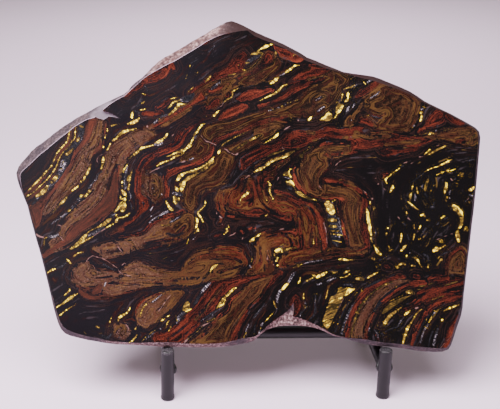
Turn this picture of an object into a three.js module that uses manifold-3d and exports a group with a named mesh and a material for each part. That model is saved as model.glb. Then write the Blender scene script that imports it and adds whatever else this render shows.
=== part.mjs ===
// A polished slab of folded, banded ironstone that leans back on a small stand welded from round steel rod.
// Millimetres. +Z is up, +X runs along the slab to its right, and +Y points from the polished face to the back.
// The origin is on the floor, under the middle of the bounding box.
import * as THREE from 'three';
import { mergeVertices } from 'three/addons/utils/BufferGeometryUtils.js';
import Module from 'manifold-3d';

// ---- driving dimensions -------------------------------------------------------------------------

const GAP = 0.3;                // clearance left where two pieces touch

// slab
const LEAN = 20;                // degrees the polished face leans back from upright
const THICKNESS = 36.5;         // polished face to sawn back
const FACE_HEIGHT = 143.5;      // height of the face's datum point above the floor
const DRAWN_FROM = 781;         // the outline is drawn square-on from this far in front of the datum point
const EDGE_DEPTH = 0.8;         // least depth of the rim's widest line, on top of the rim's own width
const EDGE_DEPTH_MAX = 7.5;
const WAIST_DEPTH = 20;         // the side walls' middle line
const WAIST_INSET = 0.9;
const BACK_INSET = 2.6;         // the back is this much smaller all round than the widest line
const WOBBLE = 0.7;             // unevenness of the sawn and broken side walls
const SEAT_V = -108.2;          // the foot is trimmed straight here at the back, where it sits on the rails
const SEAT_FROM = -101;         // the outline runs into that seat between these two heights
const SEAT_TO = -105;

// stand
const ROD = 10;                 // diameter of every rod
const ROD_BREAK = 0.5;          // edge break on plain rod ends
const LEG_Y = -36.8;
const LEG_FOOT_ROUND = 1.5;
const LEG_FOOT_FLARE = 0.4;     // the feet are a little mushroomed
const LEG_TOP_ROUND = 1.0;      // also on the tops of the uprights
const LEG_LEFT = { x: -63.5, top: 41.4, drift: 0.027 };    // drift is how far it tilts to +X as it rises
const LEG_RIGHT = { x: 100.7, top: 40.1, drift: 0.026 };
const RAIL_FRONT_Y = -31.5;     // the rails butt against the backs of the front legs
const RAIL_BACK_Y = 66;
const RAIL_LEFT = { x: -62.6, skew: -0.095 };              // skew is sideways drift towards the back
const RAIL_RIGHT = { x: 101.4, skew: -0.065 };
const REAR_LEG_Y = 60;
const BAR_LEFT_X = -72.5;
const BAR_RIGHT_X = 105.5;
const UPRIGHT_LEFT_X = -48;
const UPRIGHT_RIGHT_X = 84;
const UPRIGHT_LENGTH = 120;

// ---- the slab's outline -------------------------------------------------------------------------
// Rows run round the slab from its left tip, down the left side, along the foot and back over the top.
// Each row is [u, v, u, v]: a point on the rim's widest line, then its partner on the edge of the polish,
// with u to the right of the datum point and v up the face.

const LEFT_SIDE = [
  [-174.6, 24.5, -171.6, 22.9], [-174.0, 20.0, -171.4, 19.4], [-172.4, 15.0, -170.6, 14.6],
  [-170.2, 9.8, -169.2, 9.6], [-168.6, 5.6, -167.6, 5.3], [-166.4, 0.2, -165.4, 0.0],
  [-163.9, -10.0, -162.9, -10.2], [-161.9, -17.6, -160.9, -17.8], [-159.8, -25.6, -158.7, -25.8],
  [-157.4, -33.8, -156.3, -34.0], [-155.3, -42.0, -154.1, -42.2], [-153.2, -50.6, -152.0, -50.8],
  [-151.2, -59.0, -150.0, -59.2], [-149.4, -67.0, -148.1, -67.2], [-147.6, -75.0, -146.2, -75.0],
  [-145.8, -82.0, -144.2, -81.8], [-144.2, -87.4, -142.6, -86.4], [-142.2, -92.2, -140.4, -90.2],
  [-139.2, -95.6, -137.6, -92.6],
];
const FOOT = [
  [-134.6, -97.6, -133.2, -94.6], [-128.6, -99.2, -127.4, -96.6], [-121.6, -100.8, -120.6, -98.2],
  [-114.6, -102.0, -113.8, -99.6], [-107.0, -103.4, -106.6, -101.4], [-99.0, -104.2, -98.8, -102.2],
  [-90.8, -104.6, -90.6, -102.8], [-82.6, -105.0, -82.4, -103.1], [-74.8, -105.6, -74.6, -102.8],
  [-67.0, -106.2, -66.8, -102.8], [-59.4, -106.4, -59.2, -103.0], [-51.8, -106.5, -51.8, -103.5],
  [-44.0, -106.9, -44.0, -104.1], [-36.2, -107.2, -36.2, -104.3], [-28.4, -107.1, -28.4, -104.2],
  [-20.6, -106.8, -20.8, -103.5], [-13.6, -106.0, -14.2, -102.3], [-6.8, -104.9, -8.0, -100.8],
  [-1.4, -103.7, -2.4, -99.9], [2.4, -102.2, 2.2, -99.4], [5.0, -99.8, 5.8, -97.4],
];
const NOTCH = [
  [8.0, -97.0, 9.2, -94.4], [12.0, -94.2, 13.0, -91.6], [16.8, -92.4, 17.6, -89.6],
  [22.0, -91.5, 22.4, -88.7], [26.6, -91.2, 26.8, -88.3], [30.6, -91.1, 30.6, -88.2],
  [34.6, -91.1, 34.6, -88.2], [38.6, -91.4, 38.4, -88.5], [42.6, -91.8, 42.2, -88.9],
  [47.4, -92.9, 46.6, -89.9], [52.2, -94.3, 51.0, -91.6], [57.2, -96.6, 56.2, -94.6],
  [61.8, -98.9, 61.2, -97.6], [66.6, -100.1, 66.2, -99.2],
];
const RIGHT_FOOT = [
  [73.4, -101.9, 73.0, -100.6], [79.8, -103.7, 79.6, -101.2], [86.2, -105.4, 86.0, -101.8],
  [92.6, -106.7, 92.8, -103.2], [99.8, -107.2, 100.0, -104.4], [107.2, -108.0, 107.4, -105.0],
  [114.6, -109.1, 114.8, -105.8], [122.0, -110.3, 122.2, -107.3], [129.8, -111.4, 129.8, -108.0],
  [137.4, -111.8, 137.0, -108.8], [144.0, -111.7, 143.4, -109.0], [148.8, -110.0, 147.4, -108.4],
];
const RIGHT_SIDE = [
  [150.8, -106.6, 149.6, -105.6], [152.6, -101.6, 151.2, -100.8], [154.4, -95.8, 152.6, -95.4],
  [156.2, -91.0, 153.8, -90.6], [158.4, -85.2, 156.0, -84.6], [159.7, -78.0, 158.4, -77.4],
  [160.4, -70.0, 159.3, -69.8], [161.5, -61.0, 160.4, -60.9], [162.6, -52.0, 161.4, -51.9],
  [163.7, -43.0, 162.5, -42.9], [164.9, -33.6, 163.6, -33.5], [166.0, -24.6, 164.6, -24.5],
  [167.1, -15.6, 165.7, -15.5], [168.3, -6.6, 166.8, -6.5], [169.4, 3.0, 167.9, 3.0],
  [170.5, 12.6, 169.0, 12.6], [171.4, 22.4, 169.9, 22.3], [172.3, 32.4, 170.8, 32.2],
  [173.2, 42.0, 171.7, 41.6], [173.8, 49.4, 172.2, 49.0], [172.9, 54.0, 171.4, 53.4],
];
const RIGHT_SHOULDER = [
  [169.9, 57.0, 168.8, 56.2], [164.2, 60.4, 163.6, 59.4], [157.8, 63.9, 157.4, 63.0],
  [151.2, 67.5, 150.8, 66.6], [144.6, 70.6, 144.2, 69.6], [138.0, 73.8, 137.6, 72.7],
  [131.8, 77.0, 131.2, 75.8], [126.4, 80.9, 125.4, 79.2], [120.4, 84.6, 119.6, 82.6],
  [113.6, 87.7, 112.8, 85.6], [106.6, 90.7, 105.8, 88.0], [99.4, 93.6, 98.6, 90.6],
  [92.6, 96.0, 91.8, 93.0], [85.2, 97.1, 84.8, 94.4], [78.0, 97.9, 77.8, 96.4],
  [70.6, 99.2, 70.2, 98.2], [64.0, 102.0, 63.2, 100.4], [57.2, 104.7, 56.4, 102.4],
  [50.2, 107.8, 49.2, 105.4], [43.6, 110.2, 42.6, 107.8], [39.4, 113.2, 38.0, 110.8],
  [32.8, 116.8, 31.6, 114.4], [26.2, 120.3, 25.0, 117.8], [18.9, 123.5, 17.8, 120.8],
  [11.6, 126.5, 10.6, 123.6], [5.0, 129.5, 4.0, 126.4], [-0.4, 132.3, -1.2, 130.6],
];
const PEAK = [
  [-5.2, 135.1, -5.4, 130.3], [-9.2, 137.0, -9.6, 129.6], [-13.0, 137.9, -13.4, 128.8],
  [-17.0, 136.9, -18.0, 128.0], [-22.0, 134.6, -22.6, 126.6], [-27.4, 131.5, -27.4, 124.6],
];
const LEFT_SHOULDER = [
  [-33.0, 128.2, -32.4, 121.9], [-39.6, 124.5, -38.4, 118.0], [-46.0, 120.7, -44.4, 114.4],
  [-52.4, 116.8, -50.6, 110.8], [-58.4, 113.4, -56.4, 107.4], [-63.4, 111.0, -61.0, 105.4],
  [-68.0, 108.0, -66.2, 102.6], [-72.2, 103.8, -71.0, 100.0], [-76.2, 99.6, -75.6, 97.2],
  [-80.4, 95.2, -79.8, 94.2], [-84.8, 92.2, -83.6, 90.9], [-88.4, 89.0, -87.2, 87.6],
  [-90.6, 85.8, -90.0, 85.0], [-94.0, 83.1, -93.6, 81.8], [-99.6, 80.6, -98.8, 79.2],
  [-105.4, 78.1, -104.2, 75.8], [-110.0, 76.0, -108.8, 72.2], [-114.4, 73.8, -111.8, 68.4],
  [-119.4, 71.1, -116.4, 65.6], [-124.2, 68.4, -121.4, 64.4], [-129.0, 65.8, -125.8, 62.1],
  [-134.0, 62.7, -130.6, 59.2], [-139.6, 59.4, -136.0, 54.8], [-145.0, 55.5, -141.4, 50.8],
  [-149.6, 51.6, -146.4, 46.6], [-154.4, 47.8, -151.4, 42.4], [-159.6, 44.4, -156.4, 38.6],
  [-163.6, 40.8, -160.4, 34.8], [-167.0, 36.4, -164.6, 30.8], [-170.4, 32.8, -168.4, 27.4],
  [-173.0, 29.2, -170.8, 25.0],
];
const OUTLINE = [
  ...LEFT_SIDE, ...FOOT, ...NOTCH, ...RIGHT_FOOT, ...RIGHT_SIDE, ...RIGHT_SHOULDER, ...PEAK, ...LEFT_SHOULDER,
];

// Two shallow bites where the polish has broken away: [u, v] round each, with a flat floor that is
// `shallow` deep at `from` and falls by `fall` for each millimetre along `toward`.
const SHOULDER_CHIP = {
  around: [
    [-111.6, 74.6], [-109.4, 70.4], [-104.8, 69.2], [-100.2, 67.0], [-96.6, 64.8],
    [-101.4, 66.0], [-105.4, 66.5], [-109.0, 64.1], [-113.6, 65.4], [-118.4, 68.6],
  ],
  from: [-96.6, 64.8],
  toward: [-0.92, 0.39],
  shallow: 0.5,
  fall: 0.13,
};
const NOTCH_FRACTURE = {
  around: [
    [10.0, -94.6], [11.8, -91.8], [15.2, -89.0], [19.6, -85.7], [24.4, -82.6], [29.4, -78.6],
    [32.0, -73.6], [32.6, -79.0], [31.6, -84.2], [37.6, -85.6], [43.2, -87.8], [49.0, -91.0],
    [53.0, -94.6], [32.0, -96.0],
  ],
  from: [32.0, -73.6],
  toward: [0, -1],
  shallow: 0.4,
  fall: 0.14,
};

// ---- building blocks ----------------------------------------------------------------------------

const wasm = await Module();
wasm.setup();

const stoneLook = { color: 0x4a2c22, roughness: 0.25, metalness: 0.0 };
const rodLook = { color: 0x2a2a2e, roughness: 0.45, metalness: 0.6 };

function mesh(name, geometry, look) {
  const made = new THREE.Mesh(geometry, new THREE.MeshStandardMaterial(look));
  made.name = name;
  return made;
}

function toSolid(geometry) {
  const bare = geometry.clone();
  bare.deleteAttribute('normal');
  bare.deleteAttribute('uv');
  const merged = mergeVertices(bare, 1e-3);
  return new wasm.Manifold(new wasm.Mesh({
    numProp: 3,
    vertProperties: new Float32Array(merged.attributes.position.array),
    triVerts: new Uint32Array(merged.index.array),
  }));
}

function toGeometry(solid) {
  const made = solid.getMesh();
  const geometry = new THREE.BufferGeometry();
  geometry.setAttribute('position', new THREE.BufferAttribute(made.vertProperties, 3));
  geometry.setIndex(new THREE.BufferAttribute(made.triVerts, 1));
  geometry.computeVertexNormals();
  return geometry;
}

// ---- slab ---------------------------------------------------------------------------------------

// Unit normal that points into the stone from each point of the widest line.
function inwardNormal(i) {
  const before = OUTLINE[(i + OUTLINE.length - 1) % OUTLINE.length];
  const after = OUTLINE[(i + 1) % OUTLINE.length];
  return new THREE.Vector2(before[1] - after[1], after[0] - before[0]).normalize();
}

function unevenness(i, phase) {
  return WOBBLE * (Math.sin(i * 1.31 + phase) + 0.6 * Math.sin(i * 2.77 + 2 * phase));
}

// One ring of the loft at a depth behind the face, moved in from the widest line. Along the foot it runs
// out to the straight seat instead.
function insetRing(depth, inset, phase, seat) {
  return OUTLINE.map(([u, v], i) => {
    const inward = inwardNormal(i).multiplyScalar(inset + unevenness(i, phase));
    const onSeat = THREE.MathUtils.smoothstep(-v, -SEAT_FROM, -SEAT_TO);
    return new THREE.Vector3(u + inward.x, THREE.MathUtils.lerp(v + inward.y, seat, onSeat), -depth);
  });
}

const polishRing = OUTLINE.map(([, , u, v]) => new THREE.Vector3(u, v, 0));
const widestRing = OUTLINE.map(([u, v, polishU, polishV]) => {
  const rim = Math.hypot(u - polishU, v - polishV);
  const depth = Math.min(EDGE_DEPTH + rim, EDGE_DEPTH_MAX);
  const grow = 1 + depth / DRAWN_FROM;
  return new THREE.Vector3(u * grow, v * grow, -depth);
});
const waistRing = insetRing(WAIST_DEPTH, WAIST_INSET, 0.4, SEAT_V + 0.8);
const backRing = insetRing(THICKNESS, BACK_INSET, 1.9, SEAT_V);

function loft(rings) {
  const count = rings[0].length;
  const points = rings.flat();
  const triangles = [];
  for (let level = 0; level < rings.length - 1; level += 1) {
    for (let i = 0; i < count; i += 1) {
      const next = (i + 1) % count;
      const a = level * count + i;
      const b = level * count + next;
      const c = a + count;
      const d = b + count;
      triangles.push(a, c, b, b, c, d);
    }
  }
  closeWith(rings[0], 0, 1, triangles);
  closeWith(rings.at(-1), (rings.length - 1) * count, -1, triangles);
  const geometry = new THREE.BufferGeometry().setFromPoints(points);
  geometry.setIndex(triangles);
  geometry.computeVertexNormals();
  return geometry;
}

// Fills one end ring; facing is 1 for the face and -1 for the back.
function closeWith(ring, first, facing, triangles) {
  const flat = ring.map((p) => new THREE.Vector2(p.x, p.y));
  const filled = THREE.ShapeUtils.triangulateShape(flat, []);
  const turn = filled.reduce((sum, [a, b, c]) => sum + THREE.ShapeUtils.area([flat[a], flat[b], flat[c]]), 0);
  for (const [a, b, c] of filled) {
    triangles.push(first + a, ...(turn * facing > 0 ? [first + b, first + c] : [first + c, first + b]));
  }
}

function bite({ around, from, toward, shallow, fall }) {
  const shape = new THREE.Shape(around.map(([u, v]) => new THREE.Vector2(u, v)));
  const tool = new THREE.ExtrudeGeometry(shape, { depth: 5, bevelEnabled: false });
  const place = tool.attributes.position;
  for (let i = 0; i < place.count; i += 1) {
    if (place.getZ(i) > 2) continue;
    const along = (place.getX(i) - from[0]) * toward[0] + (place.getY(i) - from[1]) * toward[1];
    place.setZ(i, -shallow - fall * Math.max(along, 0));
  }
  return toSolid(tool);
}

const slabSolid = toSolid(loft([polishRing, widestRing, waistRing, backRing]))
  .subtract(bite(SHOULDER_CHIP))
  .subtract(bite(NOTCH_FRACTURE));
const slab = mesh('ironstone_slab', toGeometry(slabSolid), stoneLook);
slab.rotation.x = THREE.MathUtils.degToRad(90 - LEAN);
slab.position.z = FACE_HEIGHT;

// ---- stand --------------------------------------------------------------------------------------

const lean = THREE.MathUtils.degToRad(LEAN);
const radius = ROD / 2;
const seatZ = FACE_HEIGHT + SEAT_V * Math.cos(lean) - THICKNESS * Math.sin(lean);
const railZ = seatZ - GAP - radius;
const barZ = railZ + ROD + GAP;

// A straight rod along +Z from the origin, with its two end edges rounded and, if asked, a flared start.
function straightRod(length, startRound, endRound, flare = 0) {
  const profile = [new THREE.Vector2(0, 0)];
  const steps = 3;
  for (let step = 0; step <= steps; step += 1) {
    const turn = (step / steps) * Math.PI / 2;
    profile.push(new THREE.Vector2(
      radius + flare - startRound + startRound * Math.sin(turn),
      startRound - startRound * Math.cos(turn),
    ));
  }
  if (flare > 0) profile.push(new THREE.Vector2(radius, startRound + 5 * flare));
  for (let step = 0; step <= steps; step += 1) {
    const turn = (step / steps) * Math.PI / 2;
    profile.push(new THREE.Vector2(
      radius - endRound + endRound * Math.cos(turn),
      length - endRound + endRound * Math.sin(turn),
    ));
  }
  profile.push(new THREE.Vector2(0, length));
  return new THREE.LatheGeometry(profile, 32).rotateX(Math.PI / 2);
}

// A front leg tilts slightly sideways, but its foot and top stay level.
function frontLeg(name, { x, top, drift }) {
  const geometry = straightRod(top, LEG_FOOT_ROUND, LEG_TOP_ROUND, LEG_FOOT_FLARE);
  const place = geometry.attributes.position;
  for (let i = 0; i < place.count; i += 1) place.setX(i, place.getX(i) + drift * place.getZ(i));
  const leg = mesh(name, geometry, rodLook);
  leg.position.set(x, LEG_Y, 0);
  return leg;
}

function railX({ x, skew }, y) {
  return x + skew * (y - RAIL_FRONT_Y);
}

function sideRail(name, rail) {
  const run = RAIL_BACK_Y - RAIL_FRONT_Y;
  const along = new THREE.Vector3(rail.skew, 1, 0);
  const rod = mesh(name, straightRod(run * along.length(), ROD_BREAK, ROD_BREAK), rodLook);
  rod.quaternion.setFromUnitVectors(new THREE.Vector3(0, 0, 1), along.normalize());
  rod.position.set(rail.x, RAIL_FRONT_Y, railZ);
  return rod;
}

function rearLeg(name, rail) {
  const leg = mesh(name, straightRod(railZ - radius - GAP, LEG_FOOT_ROUND, ROD_BREAK, LEG_FOOT_FLARE), rodLook);
  leg.position.set(railX(rail, REAR_LEG_Y), REAR_LEG_Y, 0);
  return leg;
}

// The heel bar lies across both rails against the slab's back, and the uprights stand on it and lean with
// the slab.
const up = new THREE.Vector3(0, Math.sin(lean), Math.cos(lean));
const back = new THREE.Vector3(0, Math.cos(lean), -Math.sin(lean));
const barAxis = new THREE.Vector3(0, 0, FACE_HEIGHT).addScaledVector(back, THICKNESS + GAP + radius);
barAxis.addScaledVector(up, (barZ - barAxis.z) / up.z);

function heelBar() {
  const bar = mesh('heel_bar', straightRod(BAR_RIGHT_X - BAR_LEFT_X, ROD_BREAK, ROD_BREAK), rodLook);
  bar.position.set(BAR_LEFT_X, barAxis.y, barAxis.z);
  bar.rotation.y = Math.PI / 2;
  return bar;
}

function backUpright(name, x) {
  const rod = mesh(name, straightRod(UPRIGHT_LENGTH, ROD_BREAK, LEG_TOP_ROUND), rodLook);
  rod.position.copy(barAxis).addScaledVector(up, radius + GAP).setX(x);
  rod.rotation.x = -lean;
  return rod;
}

const pieces = new THREE.Group();
pieces.add(
  slab,
  frontLeg('front_leg_left', LEG_LEFT),
  frontLeg('front_leg_right', LEG_RIGHT),
  sideRail('side_rail_left', RAIL_LEFT),
  sideRail('side_rail_right', RAIL_RIGHT),
  rearLeg('rear_leg_left', RAIL_LEFT),
  rearLeg('rear_leg_right', RAIL_RIGHT),
  heelBar(),
  backUpright('back_upright_left', UPRIGHT_LEFT_X),
  backUpright('back_upright_right', UPRIGHT_RIGHT_X),
);

// The origin goes to the floor under the middle of the whole.
const bounds = new THREE.Box3().setFromObject(pieces, true);
pieces.position.set(-(bounds.min.x + bounds.max.x) / 2, -(bounds.min.y + bounds.max.y) / 2, -bounds.min.z);

const group = new THREE.Group();
group.add(pieces);
export default group;
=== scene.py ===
"""Looks for a polished slab of folded, banded ironstone on a welded rod stand.

The stone is drawn in the slab's own face frame, in millimetres: u runs to the right, v up the polished face
and w out of it, from a datum point near the middle of the face.
"""
import math
import bmesh
import bpy
import numpy as np
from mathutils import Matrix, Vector, noise
from mathutils.geometry import delaunay_2d_cdt


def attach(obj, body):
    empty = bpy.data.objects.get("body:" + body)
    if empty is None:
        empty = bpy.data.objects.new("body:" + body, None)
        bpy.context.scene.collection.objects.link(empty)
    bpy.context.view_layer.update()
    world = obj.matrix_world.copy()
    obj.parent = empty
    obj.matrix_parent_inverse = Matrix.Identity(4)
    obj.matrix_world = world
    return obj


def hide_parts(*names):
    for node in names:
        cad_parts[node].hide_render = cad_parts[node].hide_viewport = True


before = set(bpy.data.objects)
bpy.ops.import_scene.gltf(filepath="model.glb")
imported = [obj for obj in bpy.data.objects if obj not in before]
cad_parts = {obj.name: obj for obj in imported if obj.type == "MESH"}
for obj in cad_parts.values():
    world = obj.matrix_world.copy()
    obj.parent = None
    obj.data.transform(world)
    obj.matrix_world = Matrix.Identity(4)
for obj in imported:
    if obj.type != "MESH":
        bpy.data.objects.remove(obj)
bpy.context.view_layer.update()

# ---- sizes, in millimetres unless a name says otherwise ----------------------------------------------

MM = 0.001
LEAN = math.radians(20)
DATUM = np.array([0.597, -19.25, 143.5])      # the face datum, in the part's own frame
U_AXIS = np.array([1.0, 0.0, 0.0])
V_AXIS = np.array([0.0, math.sin(LEAN), math.cos(LEAN)])
W_AXIS = np.array([0.0, -math.cos(LEAN), math.sin(LEAN)])
THICKNESS = 36.5

# the slab's mesh
FACE_STEP = 1.05                # spacing of the painted points on the polished face
BACK_STEP = 2.3
WALL_STEP = 2.8
LINE_STEP = 0.8                 # spacing of the extra points along narrow bands
LINE_GAP = 0.45                 # extra points nearer to each other than about this are thinned out
NARROW = 2.2                    # bands up to this width get those points
PATH_STEP = 2.5                 # spacing of the points along a band's smoothed path
LEAST_WIDTH = 0.1               # of a band along its smoothed path
EDGE_GAP = 0.45                 # clear strip inside a plate's outline, as a share of its step
FLAT = 0.02                     # a point this near to the face or the back belongs to it
WELDED = 1e-6                   # metres: corners nearer to each other than this are one
TOUCHING = 1e-5                 # points of a plate nearer to each other than this are one
SLIVER = 1e-4                   # twice the area of the smallest triangle that is kept

# the broken walls
WALL_BITE = 1.2                 # how far they are eaten in at most
BITES = ((0.55, 9), (0.3, 3.2), (0.15, 1.4))      # share and size of each scale of the break
BITE_START, BITE_RUN = 1.5, 10  # depths behind the face: where the break sets in, and how soon it is full
KEPT_EDGE = 2.0                 # it fades out over this depth at the face and at the back
RIM_DEPTH = 12                  # distances from the face's edge are found down to this depth

# the painted bands
FAR = 30.0                      # a painted distance is never more than this
PAINT_REACH = 14                # a band is measured this far around itself
TONE_REACH = 1.5                # its tone goes this far out where no earlier band of its kind is nearer
TONE_OVERLAP = 0.3              # and this far in any case
AREA_GRAIN = (0.35, -0.94)      # the direction along which fibres are counted in an area
FIBRE_SHIFT = 7.3               # keeps the fibres of neighbouring bands out of step
PLUNGE_U, PLUNGE_V = 0.16, -0.10      # how far the bands drift for each millimetre of depth
PLUNGE_START = 12               # depth at which that drift has fully set in

# streaks along the bands
STREAK_CORNER = np.array([-182.0, -118.0])    # lower left corner of the area they cover
STREAK_AREA = np.array([364.0, 262.0])
STREAK_CELL = 0.7
STREAK_LENGTH = 11              # cells that a streak runs either way
STREAK_SPREAD = 0.26            # how far they swing about 0.5
STREAK_SEED = 7
DIRECTION_CELL = 3.0            # spacing of the places where the bands' direction is worked out
SHORT_SEGMENT = 0.2             # shorter pieces of a band have no say in it
PULL_SOFTENING = 2.0            # larger values let bands further off have more of a say

# camera
CAMERA_DISTANCE = 781.25
CAMERA_AZIMUTH = math.radians(-1)
CAMERA_ELEVATION = math.radians(20)
CAMERA_LENS = 75
CAMERA_SENSOR = 36

# ---- the bands ------------------------------------------------------------------------------------------
# The ground is black hematite. Areas are (kind, tone, corners) and lines are (kind, tone, points), with
# each point of a line (u, v, width). A tone runs from 0, dark and dull, to 1, bright. They are drawn in
# order, areas first, and each covers what is under it.

LEFT_LIMB_AREAS = [
    ("red", 0.62, [(-121, 64.5), (-122.6, 56), (-125, 49.6), (-129, 43.2), (-131.7, 36.8), (-134.4, 30.4),
        (-138.4, 24.8), (-141.3, 20.4), (-144.5, 16), (-148.5, 12), (-152.5, 8.5), (-156, 5), (-159, 1),
        (-165, -1), (-163, -8), (-160, -17), (-157, -13), (-155, -4), (-151, 3), (-147.5, 8), (-144.5, 12),
        (-141, 16.5), (-138, 21), (-135, 26), (-132, 32), (-128.5, 38), (-124, 43), (-119.5, 48),
        (-117, 53), (-115.5, 58), (-113.5, 65)]),
    ("brown", 0.5, [(-113.5, 65), (-109, 64), (-110, 55), (-110.5, 48), (-113, 44), (-118.5, 41),
        (-119.5, 36), (-119.8, 30), (-122.5, 24), (-126, 18.5), (-132, 12), (-136.5, 7.5), (-142, 1.5),
        (-147, -5), (-152, -8), (-155, -4), (-151, 3), (-147.5, 8), (-144.5, 12), (-141, 16.5), (-138, 21),
        (-135, 26), (-132, 32), (-128.5, 38), (-124, 43), (-119.5, 48), (-117, 53), (-115.5, 58)]),
    ("brown", 0.55, [(-103, 46), (-97, 50), (-90, 54), (-82, 56.5), (-76, 57), (-70, 53), (-77, 46),
        (-84, 42.5), (-90, 37), (-94.5, 30), (-97, 20), (-98, 8), (-99, 0), (-103, -4), (-110, -9.5),
        (-118, -15.5), (-126, -20.5), (-132, -26), (-137, -31), (-147, -33.5), (-150, -27), (-143, -20),
        (-141, -14), (-137, -8), (-131, -2), (-125, 3.5), (-118.5, 9.5), (-115.5, 17), (-112, 24),
        (-108.5, 30), (-107.5, 38)]),
    ("red", 0.42, [(-99.5, 30), (-98, 20), (-98.5, 10), (-99.5, 0), (-104, -5), (-111, -10.5), (-119, -16),
        (-127, -21), (-133, -27), (-141, -31), (-149, -34.5), (-154, -38.5), (-153, -35), (-146, -29),
        (-140, -24), (-134, -15), (-124, -8), (-117, -2), (-111, 5), (-107, 14), (-103, 24)]),
]

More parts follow.
